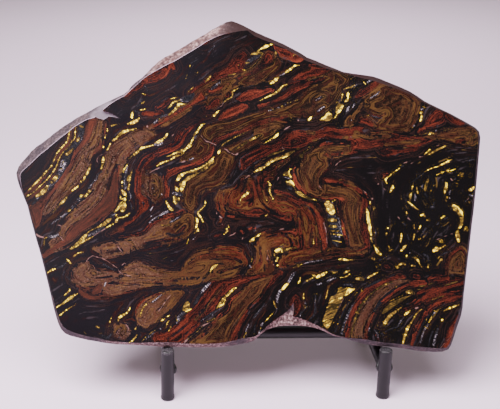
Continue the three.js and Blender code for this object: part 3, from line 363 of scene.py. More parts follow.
COLUMN = [
    ("black", 0, [(-57, 56, 6), (-60, 51.5, 5), (-66, 46.5, 5), (-73, 44, 4), (-81, 41.6, 4.4),
        (-87, 36.6, 4.4), (-91, 33, 3.6)]),
    ("crack", 0.8, [(-56.6, 55.2, 1.1)]),
    ("crack", 0.6, [(-57, 52.8, 1), (-58.6, 51.4, 1)]),
    ("gold", 0.85, [(-61.5, 53.5, 1), (-62.6, 51.6, 2.2), (-64.5, 49.8, 1)]),
    ("gold", 0.5, [(-65.5, 49, 2), (-67.8, 47.6, 2.6), (-70.5, 46.6, 1.6)]),
    ("silver", 0.95, [(-65, 46.5, 1.2), (-68.3, 45.3, 1.8), (-71, 45.4, 1)]),
    ("gold", 0.9, [(-72.5, 44.8, 1), (-77, 43.6, 1.4), (-80.8, 42.8, 2.2), (-82.5, 41.6, 1.2)]),
    ("gold", 0.4, [(-83, 40.8, 2), (-85.5, 38.6, 2.6), (-88.4, 36.6, 1.4), (-90.5, 34.6, 0.9)]),
    ("red", 0.5, [(-85.5, 42.6, 1), (-90, 39.4, 1.6), (-93.6, 35, 1.6)]),
    ("black", 0, [(-53, 58, 5), (-55, 50, 4), (-58, 46.6, 3.4), (-66, 42, 3), (-75, 38.4, 3), (-82, 34, 3),
        (-85.6, 27, 3), (-87.4, 18, 3), (-87.8, 9, 3), (-86, 2, 4), (-86.5, -5, 4)]),
    ("red", 0.48, [(-49.5, 57, 1.2), (-52.5, 53.5, 1.6), (-54, 50, 1.6), (-55, 47, 1.6), (-58, 45, 1.6),
        (-63, 43, 1.6), (-69, 41, 1.6), (-75, 38, 1.6), (-80, 34.6, 1.6), (-82.7, 30, 1.6),
        (-84.5, 25.7, 1.5), (-85.2, 21, 1.5), (-85.7, 16.3, 1.6), (-85.9, 12.6, 1.6), (-85.7, 8.9, 1.4),
        (-84.5, 7, 1.2), (-82.7, 5.1, 1.5), (-81.7, 2.3, 1.6), (-81.5, -0.5, 1.6), (-82.2, -3.3, 1.4),
        (-83.6, -6.1, 1.2), (-85, -8.9, 1.4), (-87.8, -11.7, 1.5), (-91.5, -13.5, 1.5), (-94.8, -15.4, 1.6),
        (-99, -17.3, 1.6), (-103, -19.2, 1.2)]),
    ("black", 0, [(-47, 56, 1.6), (-51, 51, 1.2), (-52.8, 47.4, 1), (-57, 43.6, 1), (-64, 41.4, 1),
        (-71, 38.6, 1), (-77.6, 34.2, 1), (-81, 28, 1), (-83.6, 22, 1.2), (-84.3, 15, 1.2),
        (-84.8, 9.5, 1)]),
    ("red", 0.68, [(-40.2, 60.8, 1), (-42.7, 58, 2), (-46, 54.6, 2.4), (-48.9, 51.5, 2.2), (-50, 48.5, 2),
        (-51.6, 46, 2), (-54.5, 44, 2.2), (-58, 42.3, 2), (-63, 40, 1.8), (-68, 37.8, 1.8),
        (-73, 35.4, 1.8), (-77, 31.8, 2), (-80.2, 28.8, 2.2), (-82, 24.3, 2.2), (-82.4, 20.1, 2.3),
        (-82.7, 16.3, 2.3), (-83, 12.6, 2.2), (-83.2, 9.3, 2), (-82, 7, 1.8), (-79.6, 5.1, 2.2),
        (-77.4, 2.8, 2.8), (-77, 0, 3), (-78.4, -2.6, 2.2), (-80.8, -4.6, 1.6), (-82.8, -6.6, 1.2),
        (-84.5, -8.6, 1.4), (-87.3, -11.2, 1.7), (-90.1, -13.1, 1.4), (-93.9, -14.5, 1.2)]),
    ("red", 0.35, [(-95, -18, 1), (-100, -19.4, 1.2), (-106, -21.4, 1.2)]),
    ("silver", 0.6, [(-80.4, 1.8, 0.9), (-79.9, 3, 0.6)]),
    ("silver", 0.4, [(-80.3, 14.5, 0.9)]),
    ("gold", 0.85, [(-49, 39, 0.5), (-51.6, 37.2, 0.6), (-54.4, 36.7, 1), (-57, 35.4, 2),
        (-60.2, 33.4, 0.9), (-64, 32.3, 1.4), (-67.7, 30.6, 1.4), (-70.3, 28.8, 0.7)]),
    ("silver", 0.95, [(-42.6, 34.8, 0.9), (-44.8, 33.9, 1)]),
    ("crack", 0.9, [(-48.8, 32.8, 0.9), (-51, 32, 0.9)]),
    ("crack", 0.6, [(-67.9, 27.8, 0.6), (-70.5, 26.7, 1.1), (-73.3, 25.3, 0.9), (-74.7, 24.1, 0.9)]),
    ("silver", 0.8, [(-75.9, 23.2, 1)]),
    ("silver", 0.8, [(-72.8, 12.5, 0.9)]),
    ("silver", 0.9, [(-66, 7.8, 1.1)]),
    ("gold", 0.9, [(-33, 60.8, 0.6), (-35, 60.3, 1.2), (-36.6, 59, 1.8), (-37.8, 57, 1.1),
        (-39.2, 54.7, 2.2), (-41, 52.6, 1.2), (-42.8, 48.8, 2.2), (-43.9, 47, 0.8)]),
    ("silver", 0.4, [(-40.4, 51.4, 1.6), (-41.2, 49.8, 1.2)]),
    ("gold", 0.95, [(-44, 46.4, 1.8), (-45.2, 44.2, 3.5), (-47.3, 42.3, 1.6), (-49.5, 40.6, 1.6),
        (-53, 40, 2.2), (-56, 38.8, 1.2), (-59, 37.4, 0.8), (-62.5, 36, 0.5)]),
    ("gold", 0.4, [(-49, 42, 1.4), (-52, 40.6, 1.6), (-54.5, 39.8, 0.8)]),
    ("red", 0.62, [(28, 66, 2), (20, 63.5, 2.5), (10, 61, 3), (2, 58.2, 2), (-7, 55, 3), (-14, 53, 3),
        (-20, 51.2, 3.4), (-25, 49, 3.4), (-28, 45.5, 3), (-28.3, 41.5, 2.6), (-30, 37.5, 2.6),
        (-33.5, 34.8, 2.4), (-38, 32.2, 2.6), (-44, 29.9, 3.2), (-50.5, 27.8, 3.6), (-56, 25.6, 3.4),
        (-61, 23, 3), (-63.1, 20, 2.6), (-63, 16, 2.4), (-62.4, 12, 2.4), (-62.5, 8, 2),
        (-62.8, 5.5, 1.2)]),
    ("gold", 0.5, [(-1, 55.2, 0.6), (-6, 52.6, 0.7), (-9.1, 51.3, 1), (-14.3, 48.7, 0.9), (-17, 47.3, 1.3),
        (-19.5, 45.8, 1.6), (-21.2, 43.8, 1)]),
    ("black", 0, [(-22.3, 45.8, 1.6), (-24.5, 43, 2), (-25.3, 40, 2.4), (-25.4, 37, 1.4)]),
    ("crack", 0.6, [(-36.7, 52.3, 0.5), (-34.8, 49.9, 0.8), (-32.5, 47.6, 0.9), (-29.7, 46.9, 0.8),
        (-27.4, 45.7, 0.7), (-25.5, 44.8, 0.9)]),
    ("crack", 0.6, [(-19, 41.8, 0.6), (-17.1, 41.1, 0.9), (-15.7, 39.4, 0.9), (-13.8, 38.7, 0.7),
        (-12, 37.8, 0.9), (-10.1, 37.3, 0.9), (-8.9, 38.3, 0.9)]),
    ("gold", 0.95, [(-22.2, 41, 1.8), (-23, 39.8, 2.6), (-23.8, 37.9, 0.8)]),
    ("brown", 1, [(-14.6, 38, 1.1), (-16, 34, 1), (-17.5, 30.5, 0.8), (-18.5, 27, 0.8)]),
    ("brown", 1, [(-19.4, 37.5, 0.8), (-20.5, 33.6, 0.8), (-22.2, 29, 0.8)]),
    ("brown", 0.95, [(-25.5, 25, 1), (-27, 22, 1.2), (-29.5, 20.7, 1.4), (-31.8, 20.6, 1)]),
    ("brown", 0.9, [(-18.6, 24, 0.8), (-20.4, 20, 0.9), (-23.6, 17.6, 0.8)]),
    ("gold", 0.2, [(-11.4, 40.4, 1.2), (-8, 43, 1.3), (-5, 45, 1.5), (-2, 46.5, 1.2)]),
    ("gold", 0.25, [(0.6, 48, 1.6), (3, 49.4, 1.8), (6, 50.8, 1.8), (8.6, 52, 1.2)]),
    ("black", 0, [(-42, 27.2, 1), (-49, 25.6, 1.4), (-54.5, 23.4, 1.8), (-58, 20, 2.4), (-59.6, 14, 3),
        (-59.4, 7, 3)]),
    ("gold", 0.95, [(-27, 35.6, 1), (-28, 34, 2), (-30.1, 32.2, 1.5), (-33.4, 29.9, 1.4), (-36.7, 28, 1.4),
        (-39.5, 26.7, 1.6), (-41.3, 26.2, 1.6), (-44.6, 25.4, 1.1), (-47.4, 24.5, 1.5), (-49.7, 23.3, 1.9),
        (-52.5, 21.5, 3), (-53.9, 19.1, 2.2), (-55.6, 17.9, 1.1)]),
    ("gold", 0.5, [(-27, 32, 1.2), (-29, 30.8, 1.2), (-31, 29.4, 1.6)]),
    ("gold", 0.28, [(-31.4, 28.6, 1.8), (-33, 27.4, 2), (-35.5, 25.8, 2.4), (-36.6, 25.4, 1.4)]),
    ("gold", 0.3, [(-38, 24, 1.2), (-41.3, 22.3, 2.2), (-44.6, 20.8, 3), (-47.4, 19.1, 3.2),
        (-49, 17.8, 1.6)]),
    ("gold", 0.3, [(-39.4, 25.2, 1.4), (-45.4, 24, 1)]),
    ("gold", 0.9, [(-49.4, 16.9, 3), (-50.3, 14.2, 3.8), (-51.1, 11.9, 2.6), (-51.5, 9.8, 1)]),
    ("gold", 0.5, [(-51.8, 16.6, 1.8), (-52.4, 14.8, 1.6)]),
    ("gold", 0.85, [(-55.8, 13.6, 1.4), (-55, 11.8, 2.6), (-53.8, 10.6, 1.8)]),
    ("silver", 0.35, [(-57.6, 9, 1.6), (-54, 8.4, 3), (-51, 7.6, 2)]),
    ("gold", 1, [(-56.2, 8.2, 1.3)]),
    ("gold", 0.3, [(-54.6, 4.8, 3), (-54.8, 2.8, 3)]),
    ("gold", 0.95, [(-57, 6, 1.2), (-56.9, 3.4, 1.3), (-56, 1.4, 1), (-54.8, 0.5, 0.8)]),
    ("gold", 0.95, [(-53.2, 4.9, 1.3), (-52.8, 3.4, 0.8)]),
    ("gold", 0.85, [(-63.3, 3.3, 1), (-62.1, 1.2, 1.9), (-60.7, -1.4, 2.2), (-58.9, -3.2, 2.8),
        (-57.6, -3.6, 1.8)]),
    ("gold", 0.5, [(-59, -3, 1.8), (-57.8, -3.4, 1.4)]),
    ("silver", 0.95, [(-61.2, -4.7, 1), (-63.1, -5.6, 1.2), (-64.9, -6.1, 1.5), (-66.8, -7.5, 1.2),
        (-69.4, -8.6, 1.5), (-71.9, -10.3, 0.9), (-74, -11.7, 0.7), (-75.4, -13, 0.6)]),
    ("crack", 0.7, [(-69, -10.5, 1.2), (-71.7, -12.4, 1.1), (-73.3, -14.5, 0.8), (-74.7, -16.8, 0.7),
        (-76.5, -18.6, 0.8)]),
    ("gold", 0.4, [(-68.4, -9, 1), (-69, -10.8, 0.8)]),
    ("silver", 0.8, [(-74, -8.6, 1)]),
    ("silver", 0.9, [(-74.4, -3.6, 0.9), (-72.6, -0.8, 0.5)]),
]

LOWER_RIGHT_AREAS = [
    ("brown", 0.45, [(56, 15), (64, 14), (70, 13.6), (76, 11.6), (80, 8.6), (83, 5.6), (84, 3), (82.4, 0),
        (82, -5), (81.6, -10), (82, -16), (83, -22), (84.6, -28), (86, -33), (76, -33), (74.5, -28),
        (73.4, -22), (71.4, -16), (70.2, -10), (69, -4), (70, 0), (70.8, 2.6), (70, 4.6), (66, 5.8),
        (60, 6.4), (55, 7)]),
    ("brown", 0.3, [(48, -34), (58, -33.5), (70, -33), (80, -32), (90, -33), (88, -36.5), (80, -38.4),
        (70, -38.5), (60, -40), (48, -42)]),
    ("gold", 0.45, [(77.7, -64), (74, -62.5), (66, -64), (64, -68.3), (60, -69.5), (57.8, -77), (55.2, -83),
        (53.5, -89.5), (58.2, -94.3), (60.4, -90.8), (63, -84.7), (67.3, -77), (69.4, -71.7),
        (74.3, -67.6)]),
    ("brown", 0.6, [(73.5, -100), (75.5, -91), (78.5, -82), (83, -74), (89, -67), (96, -62), (103, -59),
        (110, -57.4), (116, -57), (120, -58.5), (116, -60), (110, -63), (104, -67), (98, -72), (93, -78),
        (89, -86), (86.5, -94), (86, -100.3)]),
    ("gold", 0.22, [(98, -82.5), (99.5, -79.5), (102, -77), (106, -73.8), (111, -71.5), (116, -69.6),
        (121, -68.6), (123, -67.8), (119, -70.5), (114, -73.5), (109, -77), (104, -80.5), (100, -82.8)]),
    ("red", 0.42, [(156.4, -81.5), (154.5, -86), (149.5, -92), (148, -99), (147, -104), (144.5, -108.5),
        (148.5, -109.5), (150.8, -104), (153.4, -98), (155, -93), (157, -86)]),
    ("brown", 0.35, [(148, -53.5), (148.5, -45), (150, -39.5), (155, -35.5), (159, -32), (163, -36),
        (163, -42), (162, -50), (161, -54), (155, -53.5)]),
]

LOWER_RIGHT = [
    ("red", 0.35, [(58, 18, 3), (64, 17.6, 3), (70, 16.4, 2)]),
    ("red", 0.65, [(58, 16.4, 2), (64, 16.2, 2.2), (68, 15.5, 2.6), (72, 14.8, 2.8), (76, 13, 3),
        (80, 10.6, 2.8), (83.6, 7.6, 2.4), (86, 6.2, 1.4)]),
    ("brown", 1, [(71, 16, 1), (75.4, 15.4, 1.4), (78.6, 13.6, 1)]),
    ("black", 0, [(83.6, 6.6, 0.8), (86, 5.2, 1), (88.5, 5.6, 1)]),
    ("red", 0.36, [(84.5, 4.6, 2), (86, 2, 5), (85.6, -2, 4.6), (84.6, -7, 3.8), (84.2, -12, 4),
        (85, -17, 4.6), (86, -22, 5), (87.4, -28, 5), (88.6, -33, 3)]),
    ("red", 0.5, [(87, -33, 2), (80, -35.5, 1.6), (68, -36, 1.2), (58, -37, 1.4), (49, -38.6, 2)]),
    ("red", 0.4, [(84, -38, 1), (74, -38.4, 1), (60, -39.8, 1.4), (49, -41.6, 1.6)]),
    ("brown", 1, [(73.4, 2, 0.8), (72.6, -0.4, 1), (70.8, -3, 1.2), (71.4, -6.6, 0.8), (72.4, -12, 0.8),
        (73.6, -18, 1), (74.8, -24, 1), (76, -28.6, 0.8)]),
    ("brown", 1, [(82.8, 1, 1.5), (80.8, -2, 1.6), (80, -6, 1.4), (79.8, -11, 1.4), (80.6, -16, 1.2),
        (81.8, -22, 1)]),
    ("brown", 1, [(60, 12.4, 0.7), (66, 11.8, 0.8), (72, 11, 0.8), (77, 9, 0.8)]),
    ("brown", 1, [(67.4, 7, 0.9), (70, 6.4, 0.9), (72.6, 5, 0.8), (74, 3, 0.7)]),
    ("red", 0.9, [(60, 5.2, 0.9), (65, 5, 1), (69, 4.2, 2.8), (71, 2.9, 1.4)]),
    ("red", 0.85, [(67.4, 3.4, 1.2), (67, -0.6, 1.8), (67.8, -5, 1.5), (69, -9.4, 1.3), (69.8, -14, 1),
        (70.6, -20, 1), (71.8, -26, 1.2), (73, -31, 1)]),
    ("red", 0.85, [(50, -3, 5), (52.4, -10, 5.4), (53.8, -17, 5.4), (55.6, -24, 5), (56, -30, 4.4),
        (55.4, -34, 3)]),
    ("crack", 0.8, [(55.4, -14, 0.6), (56.6, -18, 0.8), (57.4, -23, 0.9), (57.6, -29.4, 0.9)]),
    ("black", 0, [(66.2, 4.2, 0.8), (64.4, 0, 1.6), (66, -5, 2), (67.6, -10, 1.4), (69, -16, 1.2),
        (70, -24, 1.2)]),
    ("silver", 0.1, [(60.5, 0, 4), (61, -8, 6), (62.6, -15, 6.4), (64, -22, 7.6), (64.6, -28, 6)]),
    ("gold", 0.55, [(58.4, 0, 5), (60, -3, 7), (61.6, -6, 5)]),
    ("gold", 0.95, [(62.2, 2, 1.2), (63.6, 2.7, 1.4)]),
    ("gold", 0.36, [(59, -12, 3), (64, -12.4, 3)]),
    ("gold", 0.45, [(59.8, -16.6, 2.4), (64.5, -17, 2.2)]),
    ("gold", 0.25, [(60, -20, 1.2), (64, -20.2, 1.4), (67.4, -20.4, 1)]),
    ("gold", 0.6, [(60.5, -22.4, 1.2), (65, -22.8, 1.3), (68.4, -23.6, 1.2)]),
    ("silver", 0.9, [(66.6, -10.6, 0.6), (67.6, -15, 0.8), (68.2, -20, 0.9), (68.8, -22.6, 1.1)]),
    ("gold", 0.6, [(69.6, -18, 0.9), (70, -20, 1)]),
    ("silver", 0.8, [(65, -31.5, 1.2)]),
    ("gold", 0.9, [(87.6, -2.8, 1), (88.2, -6, 2.2), (88.6, -10, 2.6), (89.2, -14, 2.6), (89.8, -18, 2.6),
        (90.6, -22.4, 2), (91, -24, 1)]),
    ("gold", 1, [(89.2, -6.5, 0.8), (89.6, -11, 1), (90.4, -16, 1.2), (90.8, -20, 1.2)]),
    ("gold", 0.4, [(90.6, -25.4, 1.4), (91.6, -28.8, 1.4)]),
    ("gold", 0.9, [(90.2, 1.8, 1), (90.2, -0.3, 1.4)]),
    ("crack", 1, [(92, 4, 1.3)]),
    ("crack", 0.9, [(85, 10.2, 0.8), (87, 8.4, 1.2)]),
    ("silver", 0.5, [(89, -2, 0.8), (89.8, -3.6, 0.9)]),
    ("gold", 0.25, [(94, -1.6, 0.9), (92.8, -4.2, 1), (93.8, -9, 0.5)]),
    ("silver", 0.6, [(94.2, -19, 0.7), (94.4, -24.6, 0.8)]),
    ("gold", 0.9, [(112.6, 26.6, 0.9), (110.8, 25.2, 1.2), (108.8, 24.1, 1.1), (106.6, 22.4, 1),
        (104.4, 20.2, 1.3), (101.9, 18.4, 1.8), (102.6, 16, 1.2), (103.6, 14.6, 0.6)]),
    ("silver", 0.6, [(113, 27.6, 0.6), (116, 28.8, 0.7)]),
    ("crack", 0.6, [(115.7, 30.4, 0.6), (118.4, 31.2, 0.9)]),
    ("crack", 0.7, [(121.2, 30, 0.7), (123.6, 31.4, 0.7)]),
    ("silver", 0.9, [(120.8, 31.8, 1)]),
    ("gold", 0.9, [(107.4, 13.8, 1.4), (107.8, 11.8, 1.4)]),
    ("gold", 1, [(106.2, 11.4, 1.5), (106.2, 9.8, 1.7), (105.4, 8.5, 1.3)]),
    ("crack", 0.9, [(94.8, 19.2, 1.4)]),
    ("crack", 1, [(96.6, 14.8, 1.5)]),
    ("crack", 0.4, [(100.8, 11.3, 0.7), (102.2, 9.8, 0.6)]),
    ("red", 0.8, [(100.4, 20.8, 0.8), (103, 21.6, 0.7)]),
    ("gold", 0.45, [(123, 15.5, 0.8), (122.4, 13, 1.6), (121.6, 10.4, 1)]),
    ("gold", 0.6, [(121.3, 8, 1.2), (120.6, 5.5, 2.4), (120.8, 2.8, 1.8)]),
    ("gold", 0.75, [(125.4, 12.6, 0.5), (125.6, 10, 1.1), (126.4, 7.2, 0.8)]),
    ("silver", 0.9, [(124, 6.8, 0.7), (124.6, 4.4, 1), (123.8, 2, 0.8)]),
    ("gold", 0.9, [(118.8, 1.5, 0.5), (120.6, 0, 1), (122, -1.2, 1.5), (123.6, -2.2, 1)]),
    ("gold", 0.9, [(124.2, -3.2, 0.9), (126.8, -4.8, 1.1)]),
    ("silver", 0.8, [(116.8, -3, 1)]),
    ("gold", 0.95, [(117.7, -6.2, 0.9), (117.7, -8.4, 1.3)]),
    ("crack", 0.7, [(111.4, -10.2, 0.9), (112.5, -11.6, 0.9)]),
    ("crack", 0.3, [(118.8, -11, 0.8), (121, -12.8, 0.8)]),
    ("silver", 0.5, [(115, -14.6, 0.7), (116.6, -16.4, 0.8)]),
    ("silver", 0.4, [(107.8, -13.6, 0.9)]),
    ("gold", 0.8, [(128.3, -9, 1.4), (130.5, -8.2, 2.2), (131.6, -9.8, 1.4)]),
    ("gold", 0.5, [(133.3, -12.5, 1.6)]),
    ("gold", 0.8, [(144, -11, 1.6), (146.2, -9.6, 1.8)]),
    ("gold", 0.8, [(103.5, -18.4, 1.6)]),
    ("gold", 0.8, [(128.2, -16.6, 1.4), (127.3, -18.8, 1.4)]),
    ("gold", 0.35, [(123.4, -15.8, 1), (123.5, -19, 1.1)]),
    ("gold", 0.55, [(123.5, -23.2, 1.2), (123, -25.5, 1.4), (122.5, -28, 1)]),
    ("gold", 0.85, [(113.7, -22.4, 1), (113.8, -25.5, 1.8), (113, -28.6, 1.4)]),
    ("gold", 0.8, [(102.6, -22.3, 1.2), (101.6, -24, 1)]),
    ("gold", 0.7, [(117, -31.5, 1.6), (115.5, -33.2, 2.8), (113.4, -35.6, 1.5)]),
    ("gold", 0.7, [(104.2, -32, 0.9), (104.6, -33.8, 1.2)]),
    ("gold", 0.9, [(105.6, -35.6, 1.6)]),
    ("crack", 1, [(90, -34.8, 0.8), (89.4, -37, 1)]),
    ("gold", 0.95, [(117.6, -39.3, 1.8)]),
    ("silver", 0.8, [(119.8, -36.8, 1)]),
    ("gold", 0.5, [(122, -40.4, 1.4), (124.5, -41, 2.4), (126.6, -43.5, 2.2)]),
    ("gold", 0.9, [(126.8, -44, 0.8), (127.5, -46, 0.8), (129, -48, 0.6)]),
    ("gold", 0.3, [(135.5, -26, 0.8), (134, -30, 1), (132, -33, 0.8)]),
    ("gold", 0.8, [(139.8, -30.3, 1)]),
    ("gold", 0.45, [(141.6, -27.6, 1), (143.6, -28.4, 1.6)]),
    ("gold", 0.5, [(138, -35.6, 2.6), (140, -34.5, 3.6), (143, -33.6, 1.6)]),
    ("gold", 0.9, [(143, -33.8, 0.8), (146.5, -31.8, 1)]),
    ("gold", 1, [(138.2, -35.8, 1.5)]),
    ("gold", 0.35, [(143.5, -42.4, 2.8)]),
    ("gold", 0.6, [(134.3, -45, 0.7), (133.6, -48, 1.2)]),
    ("gold", 0.35, [(111.6, -46.2, 1.6), (114.5, -45, 2.6), (117, -46, 1.8)]),
    ("gold", 0.6, [(110.6, -48, 2.2)]),
    ("gold", 0.45, [(121, -46.6, 1.4), (123.5, -47, 2.2)]),
    ("gold", 0.3, [(95.5, -45.8, 0.9), (96.5, -47.4, 1.3)]),
    ("red", 0.3, [(101.5, -47, 1.6), (104.5, -48, 1.6)]),
    ("silver", 0.5, [(97, -42.4, 0.6), (101, -40.6, 0.8), (104, -38.8, 0.6)]),
    ("silver", 0.3, [(130, -38, 1), (133.5, -40, 1.2), (134, -44, 0.9)]),
    ("silver", 0.5, [(142, -40, 0.7), (146, -37.6, 0.8), (151, -36, 0.7)]),
    ("gold", 0.7, [(156, -23, 3.6), (156.5, -26, 3.8), (157, -28.6, 2.2)]),
    ("gold", 0.6, [(162.5, -18.4, 0.8), (160.8, -21, 1.5)]),
    ("crack", 0.9, [(152, -22.6, 1)]),
    ("crack", 0.2, [(152, -22.8, 0.4), (146, -25, 0.4), (140, -27.4, 0.4)]),
    ("red", 0.4, [(148.3, -53, 1.5), (148.3, -46, 1.8), (150, -40.5, 1.6), (154, -37, 2), (158.5, -34, 2.6),
        (161.6, -38, 2.2), (163, -42, 1.2)]),
    ("brown", 1, [(151.3, -50, 1), (151.6, -45, 1.4), (153.5, -41, 1)]),
    ("gold", 0.9, [(93, -31.4, 0.8), (94.6, -34, 1.4), (95.8, -36.2, 3), (97.8, -38, 2.2)]),
    ("gold", 0.5, [(91, -40.8, 1.6), (93, -41.6, 2.4)]),
    ("gold", 0.85, [(66.4, -41.6, 1.4), (69, -41.4, 2.4), (72, -42, 1.8), (74.4, -42.4, 0.8)]),
    ("gold", 0.35, [(75.4, -42, 1.4), (78, -42.2, 1.4)]),
    ("silver", 0.9, [(66, -43.8, 0.8)]),
    ("gold", 0.85, [(50, -54.5, 2), (53, -53.5, 2.8), (56, -52, 2.2), (57.6, -51, 0.9)]),
    ("gold", 0.5, [(60, -50.4, 0.8), (63, -51.5, 1.5), (66, -50.8, 0.7)]),
    ("gold", 0.4, [(70, -51.8, 1.4), (73, -50.8, 2.2), (75, -49.8, 1)]),
    ("gold", 0.85, [(67, -55.3, 0.6), (70.5, -55, 0.9), (72.8, -54.2, 1.5), (75, -52.3, 0.9)]),
    ("gold", 0.45, [(79.5, -56.3, 2), (82, -56.3, 3.2), (84.5, -57, 2.4)]),
    ("gold", 0.8, [(88, -55.8, 1), (90, -54.6, 1.6), (93, -53, 1.3), (96, -51.4, 0.6)]),
    ("silver", 0.9, [(50, -60.6, 1), (54, -59.4, 0.7)]),
    ("silver", 0.9, [(57.5, -57.9, 0.9), (61, -56.5, 1), (64, -55.3, 0.9)]),
    ("silver", 0.25, [(86, -63, 1.2), (90, -60.9, 1.6), (95, -58.5, 1.6), (99, -57, 1.2), (103, -55.6, 1),
        (108, -53.5, 0.8)]),
    ("gold", 0.4, [(98.6, -57, 0.9), (100.4, -56.4, 1.3), (102.6, -56.2, 0.8)]),
    ("silver", 0.6, [(89, -63.6, 1), (93, -61.6, 0.9), (97, -60.4, 0.7)]),
    ("gold", 0.7, [(58, -64.8, 0.8), (57.3, -68, 1.5), (56.2, -71.8, 1)]),
    ("silver", 0.4, [(70, -60.8, 1.2), (74.5, -60.5, 1.6), (76.4, -61.6, 1)]),
    ("gold", 1, [(77.4, -64, 2), (74.2, -65.8, 2.6), (71, -69, 1.4)]),
    ("crack", 0.9, [(70.6, -69.6, 1), (68.4, -73.6, 1), (67, -77, 0.8), (65.4, -80.4, 0.6)]),
    ("silver", 0.6, [(68.4, -97.5, 1.4), (69.5, -92, 1.5), (71, -87.5, 1.5), (73, -83, 1.6), (75, -79, 1.6),
        (78, -74.5, 1.1), (82, -70, 0.9), (86, -66.5, 0.9)]),
    ("silver", 0.05, [(63.5, -96, 0.9), (66.5, -88, 1), (70, -80, 1), (74, -74, 0.9), (79, -69, 0.9),
        (84, -64.6, 0.8)]),
    ("red", 0.62, [(71.8, -100.5, 3.2), (73.5, -92, 3.4), (76, -83, 3.6), (80.5, -74.5, 4),
        (86.5, -67.5, 4.4), (93, -62.6, 3.6), (100, -58.9, 3.2), (106, -56.6, 3.2), (112, -55, 3.6),
        (115.5, -55.5, 2)]),
    ("gold", 0.12, [(75.5, -98, 1.6), (77.5, -90, 1.6), (81, -80, 1.8), (86, -72.5, 2), (92, -66.5, 1.8),
        (99, -61.8, 1.6), (106, -59, 1.2)]),
    ("silver", 0, [(92, -82, 1.2), (95, -77, 2), (99, -72, 2.4), (105, -67, 2.4), (111, -62.8, 2),
        (117, -60, 1.2)]),
    ("red", 0.68, [(86, -101, 2), (87, -93, 2.4), (90, -86, 2), (93, -81.5, 0.6)]),
    ("red", 0.66, [(98.5, -73.4, 1.2), (104, -69.4, 2.2), (109, -66, 2.6), (114, -62.9, 2.8),
        (119, -60.9, 2.8), (124, -60, 3), (129, -59.6, 2.4), (131, -60, 1)]),
    ("gold", 0.45, [(117.5, -66.5, 2.4), (120.5, -66.3, 3.8), (122.6, -67.5, 2.8)]),
    ("gold", 0.3, [(126, -64.7, 1.2), (129, -64.5, 1.8), (132.5, -63.8, 1)]),
    ("gold", 0.42, [(113, -78.2, 0.9), (109, -81, 1.9), (105, -84, 3.2), (102, -88, 3), (100, -91.6, 2.4)]),
    ("red", 0.6, [(123.5, -54.6, 1.8), (126.5, -55.4, 2)]),
    ("red", 0.5, [(135, -57, 1.4), (140, -55.6, 2.4), (145, -56.4, 2.4), (149, -56.2, 1.6)]),
    ("red", 0.22, [(126, -67.6, 1.6), (132, -64.6, 2.4), (138, -62, 2.2), (144, -60.4, 2),
        (151, -58.6, 1.6), (159, -57, 1.2)]),
    ("red", 0.48, [(115, -79.2, 0.9), (121, -77, 1.8), (127, -73, 2.6), (133, -69.5, 3), (139, -66.5, 3.2),
        (146, -64.3, 3.4), (153, -62, 3.6), (160.4, -60, 3.6)]),
    ("red", 0.3, [(132, -74.4, 0.9), (138, -71, 1.4), (145, -68.6, 1.6), (153, -66.8, 1.6),
        (160, -65.8, 1.3)]),
    ("red", 0.55, [(121, -107, 2), (124.5, -97, 2), (128.4, -89, 2.2), (132.3, -82.3, 2.2),
        (137.5, -77, 2.4), (145.3, -73.5, 2.6), (154, -70.9, 2.4), (159.4, -70, 2)]),
    ("gold", 0.3, [(136, -72.8, 0.7), (142, -70.4, 0.8), (146, -69.6, 0.6)]),
    ("gold", 0.6, [(114.4, -105, 1.6), (115.5, -100, 2), (117, -96, 2.6), (118.5, -92.5, 2.4),
        (121, -89, 1.5), (124, -84, 1.2), (126, -81.4, 1), (129, -79.3, 0.9)]),
    ("crack", 1, [(124.2, -78.8, 1.4), (125.8, -78.2, 1.4)]),
    ("gold", 0.95, [(116, -83.5, 1.4), (118, -82, 2.2), (120, -80.6, 1)]),
    ("silver", 0.8, [(115, -85.6, 0.7), (112.8, -88.6, 1.2), (111, -91.6, 0.9)]),
    ("silver", 0.7, [(127.5, -105, 1), (129, -99, 1.2), (130.5, -95.5, 1.3), (133, -91, 1.4)]),
    ("gold", 0.7, [(134.4, -89, 1.4), (135.6, -86.6, 2), (136.6, -84.6, 1.2)]),
    ("silver", 0.9, [(137, -84, 1), (138.6, -81.6, 0.8)]),
    ("gold", 0.9, [(144.3, -88, 2.6)]),
    ("gold", 0.5, [(143, -84.2, 1)]),
    ("gold", 0.9, [(145.5, -80.8, 1), (149, -79, 1.4), (152, -78.2, 1.7), (155, -77, 1.1),
        (157.4, -76, 0.6)]),
    ("silver", 0.3, [(133.5, -108, 0.8), (135, -101, 0.8), (137, -96, 0.8)]),
    ("silver", 0.6, [(137.5, -106, 1.3), (139, -100, 1.5), (141, -94, 1.1)]),
    ("silver", 0.1, [(122.5, -107, 0.8), (126, -98, 1), (130, -90, 1), (134, -83.6, 0.8)]),
    ("crack", 0.5, [(142.5, -109, 0.7), (146, -105, 0.6), (150, -101, 0.5), (153.6, -97, 0.4)]),
    ("silver", 0.7, [(89, -96, 1), (89.2, -93.4, 1.2)]),
    ("silver", 0.6, [(93, -94.6, 0.8), (95, -97.6, 1.4), (95.6, -100.4, 0.9)]),
    ("silver", 0.5, [(98.4, -97.6, 1.2), (100, -99, 1)]),
    ("silver", 0.35, [(101, -96.2, 0.7), (106, -93.8, 0.9), (110.6, -92.8, 0.9)]),
    ("gold", 0.9, [(105.5, -99.3, 1.4)]),
    ("gold", 0.9, [(106.8, -102.6, 1.4)]),
    ("red", 0.8, [(94.6, -99, 0.7), (95.6, -103, 1)]),
]

